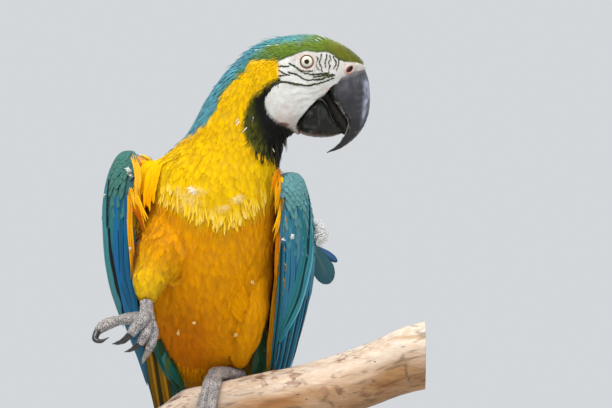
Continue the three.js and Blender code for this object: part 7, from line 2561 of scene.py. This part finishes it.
TOES = {
    "left": {
        "toe2": (grip(1.4, -11, -1, 2.0, TOE_R), TOE_R * 0.9, 13, 0.55, None),
        "toe3": (grip(6.2, -2.2, -1, 2.25, TOE_R), TOE_R * 1.06, 15, 0.55, None),
        "toe1": (grip(0.5, -9.5, 1, 1.7, TOE_R), TOE_R * 0.86, 12, 0.55, None),
        "toe4": (grip(9.5, 13.5, 1, 2.1, TOE_R), TOE_R, 14, 0.55, None)},
    "right": {
        "toe3": ([[-47.8, -74, 57], [-52, -80.5, 51.5], [-57, -83.5, 46], [-60.6, -84, 40.6]], TOE_R * 1.1, 0, 0,
                 [[-61, -83.4, 41], [-65.5, -82.5, 36.6], [-70, -80, 34.4], [-75, -76.5, 33.4]]),
        "toe2": ([[-46.5, -73, 51.5], [-47.6, -78.5, 44.5], [-50.6, -80, 38.5], [-53.4, -79, 33.6]], TOE_R * 0.92, 0, 0,
                 [[-53.4, -79, 34], [-57.4, -77.5, 30.6], [-61, -75, 28.4], [-65.6, -71.6, 27]]),
        "toe4": ([[-44.6, -70.5, 50], [-43.4, -74.5, 42.6], [-44, -76, 35.6], [-46.4, -75.6, 28.6]], TOE_R * 0.98, 0, 0,
                 [[-46.3, -75.6, 29.4], [-48.4, -74.6, 25], [-50.4, -73.4, 21.8], [-51.8, -72, 17.6]]),
        "toe1": ([[-50.5, -68, 54.5], [-60, -61, 53.4], [-71, -58.4, 51.4], [-81, -61.5, 48], [-87, -67, 43.4]], TOE_R * 1.04, 0, 0,
                 [[-87.4, -67.6, 42.8], [-88.8, -71.4, 37.4], [-84.6, -75, 35.4], [-78, -77.4, 38.4]])}}
SHANK = {"left": ([[25, 19.5, 5], [18, 13, 7.2], [11, 5.5, 7.9], [5, -2, 7.4], [3.5, -9, 5.6]], [5.6, 5.6, 6.2, 6.6, 5.2], 0.86),
         "right": ([[-48.8, -64, 66], [-48.6, -68, 60], [-48.2, -71.5, 55], [-47, -73, 51]], [5.2, 5.4, 6.4, 6.0], 0.9)}


def beads(P, seed):
    """Raised scales: height from two layers of smooth noise."""
    return 0.16 * noise3(P, seed, 1.1) + 0.10 * noise3(P, seed + 1, 2.4)


def build_feet():
    for side in ("left", "right"):
        pts, rad, flat = SHANK[side]
        P = limb(pts, rad, 48, 60, flat)
        c = P.mean(1, keepdims=True)
        P = P + unit(P - c) * (beads(P, 90) - 0.1)[..., None]
        V, F = loft(P)
        K = np.broadcast_to(srgb(214, 207, 204), V.shape) * (0.86 + 0.3 * noise3(V, 92, 3.0))[:, None]
        piece(f"shank_{side}_skin", V, F, M_FOOT, ["shank_" + side], K)
        for name, (path, r, length, bend, nail) in TOES[side].items():
            k = len(path)
            radii = [r * (0.78 if i == k - 1 else 1.08 if i % 2 else 0.94) for i in range(k)]
            P = limb(path, radii, 44, 70)
            c = P.mean(1, keepdims=True)
            d = unit(P - c)
            # creases across the joints, beads between
            s = np.linspace(0, k - 1, 70)
            crease = -0.28 * np.exp(-((s - np.round(s)) / 0.10) ** 2) * ((s > 0.6) & (s < k - 1.4))
            P = P + d * (beads(P, 95) + crease[:, None] - 0.05)[..., None]
            V, F = loft(P)
            K = np.broadcast_to(srgb(218, 211, 208), V.shape) * (0.86 + 0.3 * noise3(V, 97, 3.0))[:, None]
            piece(f"{side}_{name}_skin", V, F, M_FOOT, [f"foot_{side}_{name}"], K)
            claw = nail or claw_from(path, r, length, bend)
            P = limb(claw, [r * 0.62, r * 0.55, r * 0.38, 0.45], 26, 34)
            c = P.mean(1, keepdims=True)
            a = np.arange(26) / 26 * 2 * np.pi
            P = c + (P - c) * (1 + 0.04 * np.cos(2 * a))[None, :, None]
            V, F = loft(P)
            piece(f"{side}_{name}_claw", V, F, M_CLAW_PALE if (side, name) == ("right", "toe4") else M_CLAW, [f"claw_{side}_{name}"])


build_feet()


# ------------------------------------------------------------------ perch
def build_perch():
    n, m = 260, 120
    x = np.linspace(BRANCH[0, 0], BRANCH[-1, 0], n)
    r = branch_at(x)
    top, rad = r[:, 1], r[:, 2]
    a = np.arange(m) / m * 2 * np.pi
    c = np.cos(a)
    lump = np.where((c[None] < 0) & (np.abs(x[:, None] - 5) > 22), 0.7 * np.sin(3 * a[None] + x[:, None] * 0.05), 0)
    R = rad[:, None] + lump
    q = np.stack([x[:, None] * 0.35 + 0 * c, R * np.sin(a), R * c], -1)
    h = 0.35 * noise3(q, 111, 9.0) + 0.32 * noise3(q, 112, 3.4) + 0.2 * noise3(q, 113, 1.4)
    # peeling edges of bark run along the branch
    ridge = np.abs(noise3(q * [0.5, 1, 1], 114, 5.0))
    h = h - 0.55 * smooth(0.12, ridge, 0.0) * smooth(ridge, 0.12, 0.0)
    h = h - 0.28
    R = R + h
    P = np.stack([np.broadcast_to(x[:, None], R.shape), R * np.sin(a), top[:, None] - rad[:, None] + R * c], -1)
    shade = 1 + 0.16 * noise3(q, 115, 12.0) - 0.5 * smooth(ridge, 0.10, 0.0)
    # cut ends: turned in over a small chamfer, with rings
    rows_v, rows_c = [], []
    for end in (0, -1):
        cen = np.array([x[end], 0, top[end] - rad[end]])
        ring = []
        cols = []
        for k_, f in enumerate(np.linspace(0.985, 0.02, 26)):
            p = cen + (P[end] - cen) * f
            p[:, 0] = x[end] + (0.0 if end == 0 else 0.0) + (1 if end == 0 else -1) * (0.12 * (k_ % 2))
            ring.append(p)
            tone = srgb(206, 170, 124) * (0.86 + 0.16 * np.sin(f * 70)) if k_ > 0 else srgb(120, 86, 60)
            cols.append(np.broadcast_to(tone * (1 - 0.15 * (k_ % 2)), (m, 3)))
        rows_v.append(np.array(ring))
        rows_c.append(np.array(cols))
    allP = np.concatenate([rows_v[0][::-1], P, rows_v[1]])
    # painted light above and painted shade below: pale on top, tan underneath
    low = smooth(c, 0.85, -0.15)[None, :, None] * (0.85 + 0.3 * noise3(q, 116, 10.0)[..., None])
    body = np.clip(shade, 0.5, 1.15)[..., None] * mix(srgb(248, 244, 240), srgb(176, 138, 94), np.clip(low, 0, 1))
    allC = np.concatenate([rows_c[0][::-1], body, rows_c[1]])
    V, F = loft(allP)
    K = np.vstack([allC.reshape(-1, 3), allC[0].mean(0), allC[-1].mean(0)])
    ob = piece("perch_branch", V, F, M_BARK, ["perch"], K)
    return ob


build_perch()


# ------------------------------------------------------------------ stand
def lathe(profile, centre, m=96):
    p = np.array(profile, float)
    a = np.arange(m) / m * 2 * np.pi
    P = np.stack([p[:, 0, None] * np.cos(a), p[:, 0, None] * np.sin(a), p[:, 1, None] * np.ones(m)], -1) + np.array(centre)
    return loft(P)


def build_stand():
    lo, hi = [np.array(v) * 1000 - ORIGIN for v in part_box("stand_base")]
    cx, cy = (lo[0] + hi[0]) / 2, (lo[1] + hi[1]) / 2
    R, h, z0 = (hi[0] - lo[0]) / 2, hi[2] - lo[2], lo[2]
    prof = [(0.5, 0), (R - 1.5, 0), (R - 0.4, 0.5), (R, 1.6), (R, 5.5), (R - 0.5, 6.4), (R - 2.0, 7.0), (R - 2.2, 8.0), (R - 1.6, 9.0),
            (R - 1.5, h - 7.0), (R - 2.2, h - 4.6), (R - 4.2, h - 2.2), (R - 8, h - 0.9), (R - 14, h - 0.35), (R * 0.5, h - 0.1), (22, h), (15, h),
            (14.0, h + 1.2), (12.4, h + 1.9), (8.5, h + 2.1), (7.2, h + 2.0), (6.7, h + 1.4), (6.6, h - 6), (0.5, h - 6)]
    V, F = lathe(prof, (cx, cy, z0))
    piece("stand_base_turned", V, F, M_WOOD, ["stand_base"])
    lo, hi = [np.array(v) * 1000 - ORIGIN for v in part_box("stand_rod")]
    rr = (hi[0] - lo[0]) / 2
    zb, zt = lo[2], hi[2]
    prof = [(0.3, zb), (rr, zb), (rr, zb + 14), (rr, zb + 60), (rr - 0.02, (zb + zt) / 2), (rr, zt - 40)]
    # a narrow collar grips the perch from below
    prof += [(rr, zt - 22), (rr + 0.9, zt - 21), (rr + 1.3, zt - 19.5), (rr + 1.3, zt - 14.5), (rr + 0.9, zt - 13), (rr, zt - 12), (rr, zt), (0.3, zt)]
    V, F = lathe(prof, (cx, cy, 0), 64)
    piece("stand_rod_steel", V, F, M_METAL, ["stand_rod"])


build_stand()


# ------------------------------------------------------------------ floor, light, camera
def stage():
    m = Mat("floor_pale", Roughness=0.85)
    pos = m.place()
    m.set("Base Color", m.ramp(m.noise(pos, 2.0, 3), (0.3, (0.60, 0.59, 0.58)), (0.7, (0.66, 0.65, 0.64))))
    a = np.arange(96) / 96 * 2 * np.pi
    V = np.stack([7000 * np.cos(a), 7000 * np.sin(a), -ORIGIN[2] - 1.0 + 0 * a], -1)
    V[:, :2] -= ORIGIN[:2]
    V = np.vstack([V, [[-ORIGIN[0], -ORIGIN[1], -ORIGIN[2] - 1.0]]])
    j = np.arange(96)
    ob = make_mesh("floor", V, [np.stack([np.full(96, 96), j, (j + 1) % 96], -1)], m.m)
    w = bpy.data.worlds.new("studio")
    bpy.context.scene.world = w
    w.use_nodes = True
    nt = w.node_tree
    bg = nt.nodes["Background"]
    bg.inputs["Color"].default_value = (0.80, 0.83, 0.86, 1)
    bg.inputs["Strength"].default_value = 0.82

    def area(name, loc, size, power_, colour, target=(0.0, 0.0, 0.58)):
        l = bpy.data.lights.new(name, "AREA")
        l.shape = "RECTANGLE"
        l.size, l.size_y = size
        l.energy = power_
        l.color = colour
        o = bpy.data.objects.new(name, l)
        COLL.objects.link(o)
        o.location = loc
        o.rotation_euler = (Vector(target) - Vector(loc)).to_track_quat("-Z", "Y").to_euler()
    area("key", (-0.55, -1.2, 2.2), (1.9, 1.5), 49, (1.0, 0.985, 0.95))
    area("fill", (1.6, -1.6, 0.9), (1.4, 1.4), 8, (0.95, 0.98, 1.0))
    area("rim", (0.4, 1.5, 1.9), (1.4, 0.8), 16, (1.0, 0.99, 0.97))
    cam = bpy.data.cameras.new("camera")
    cam.sensor_width = 36
    cam.lens = 36 * 4.0 / 0.4896
    cam.clip_end = 60
    o = bpy.data.objects.new("camera", cam)
    COLL.objects.link(o)
    o.location = (0.0418, -4.0, 0.5982)
    o.rotation_euler = (math.pi / 2, 0, 0)
    bpy.context.scene.camera = o
    vs = bpy.context.scene.view_settings
    vs.view_transform = "Standard"
    vs.look = "None"
    vs.exposure = 0
    vs.gamma = 1


stage()
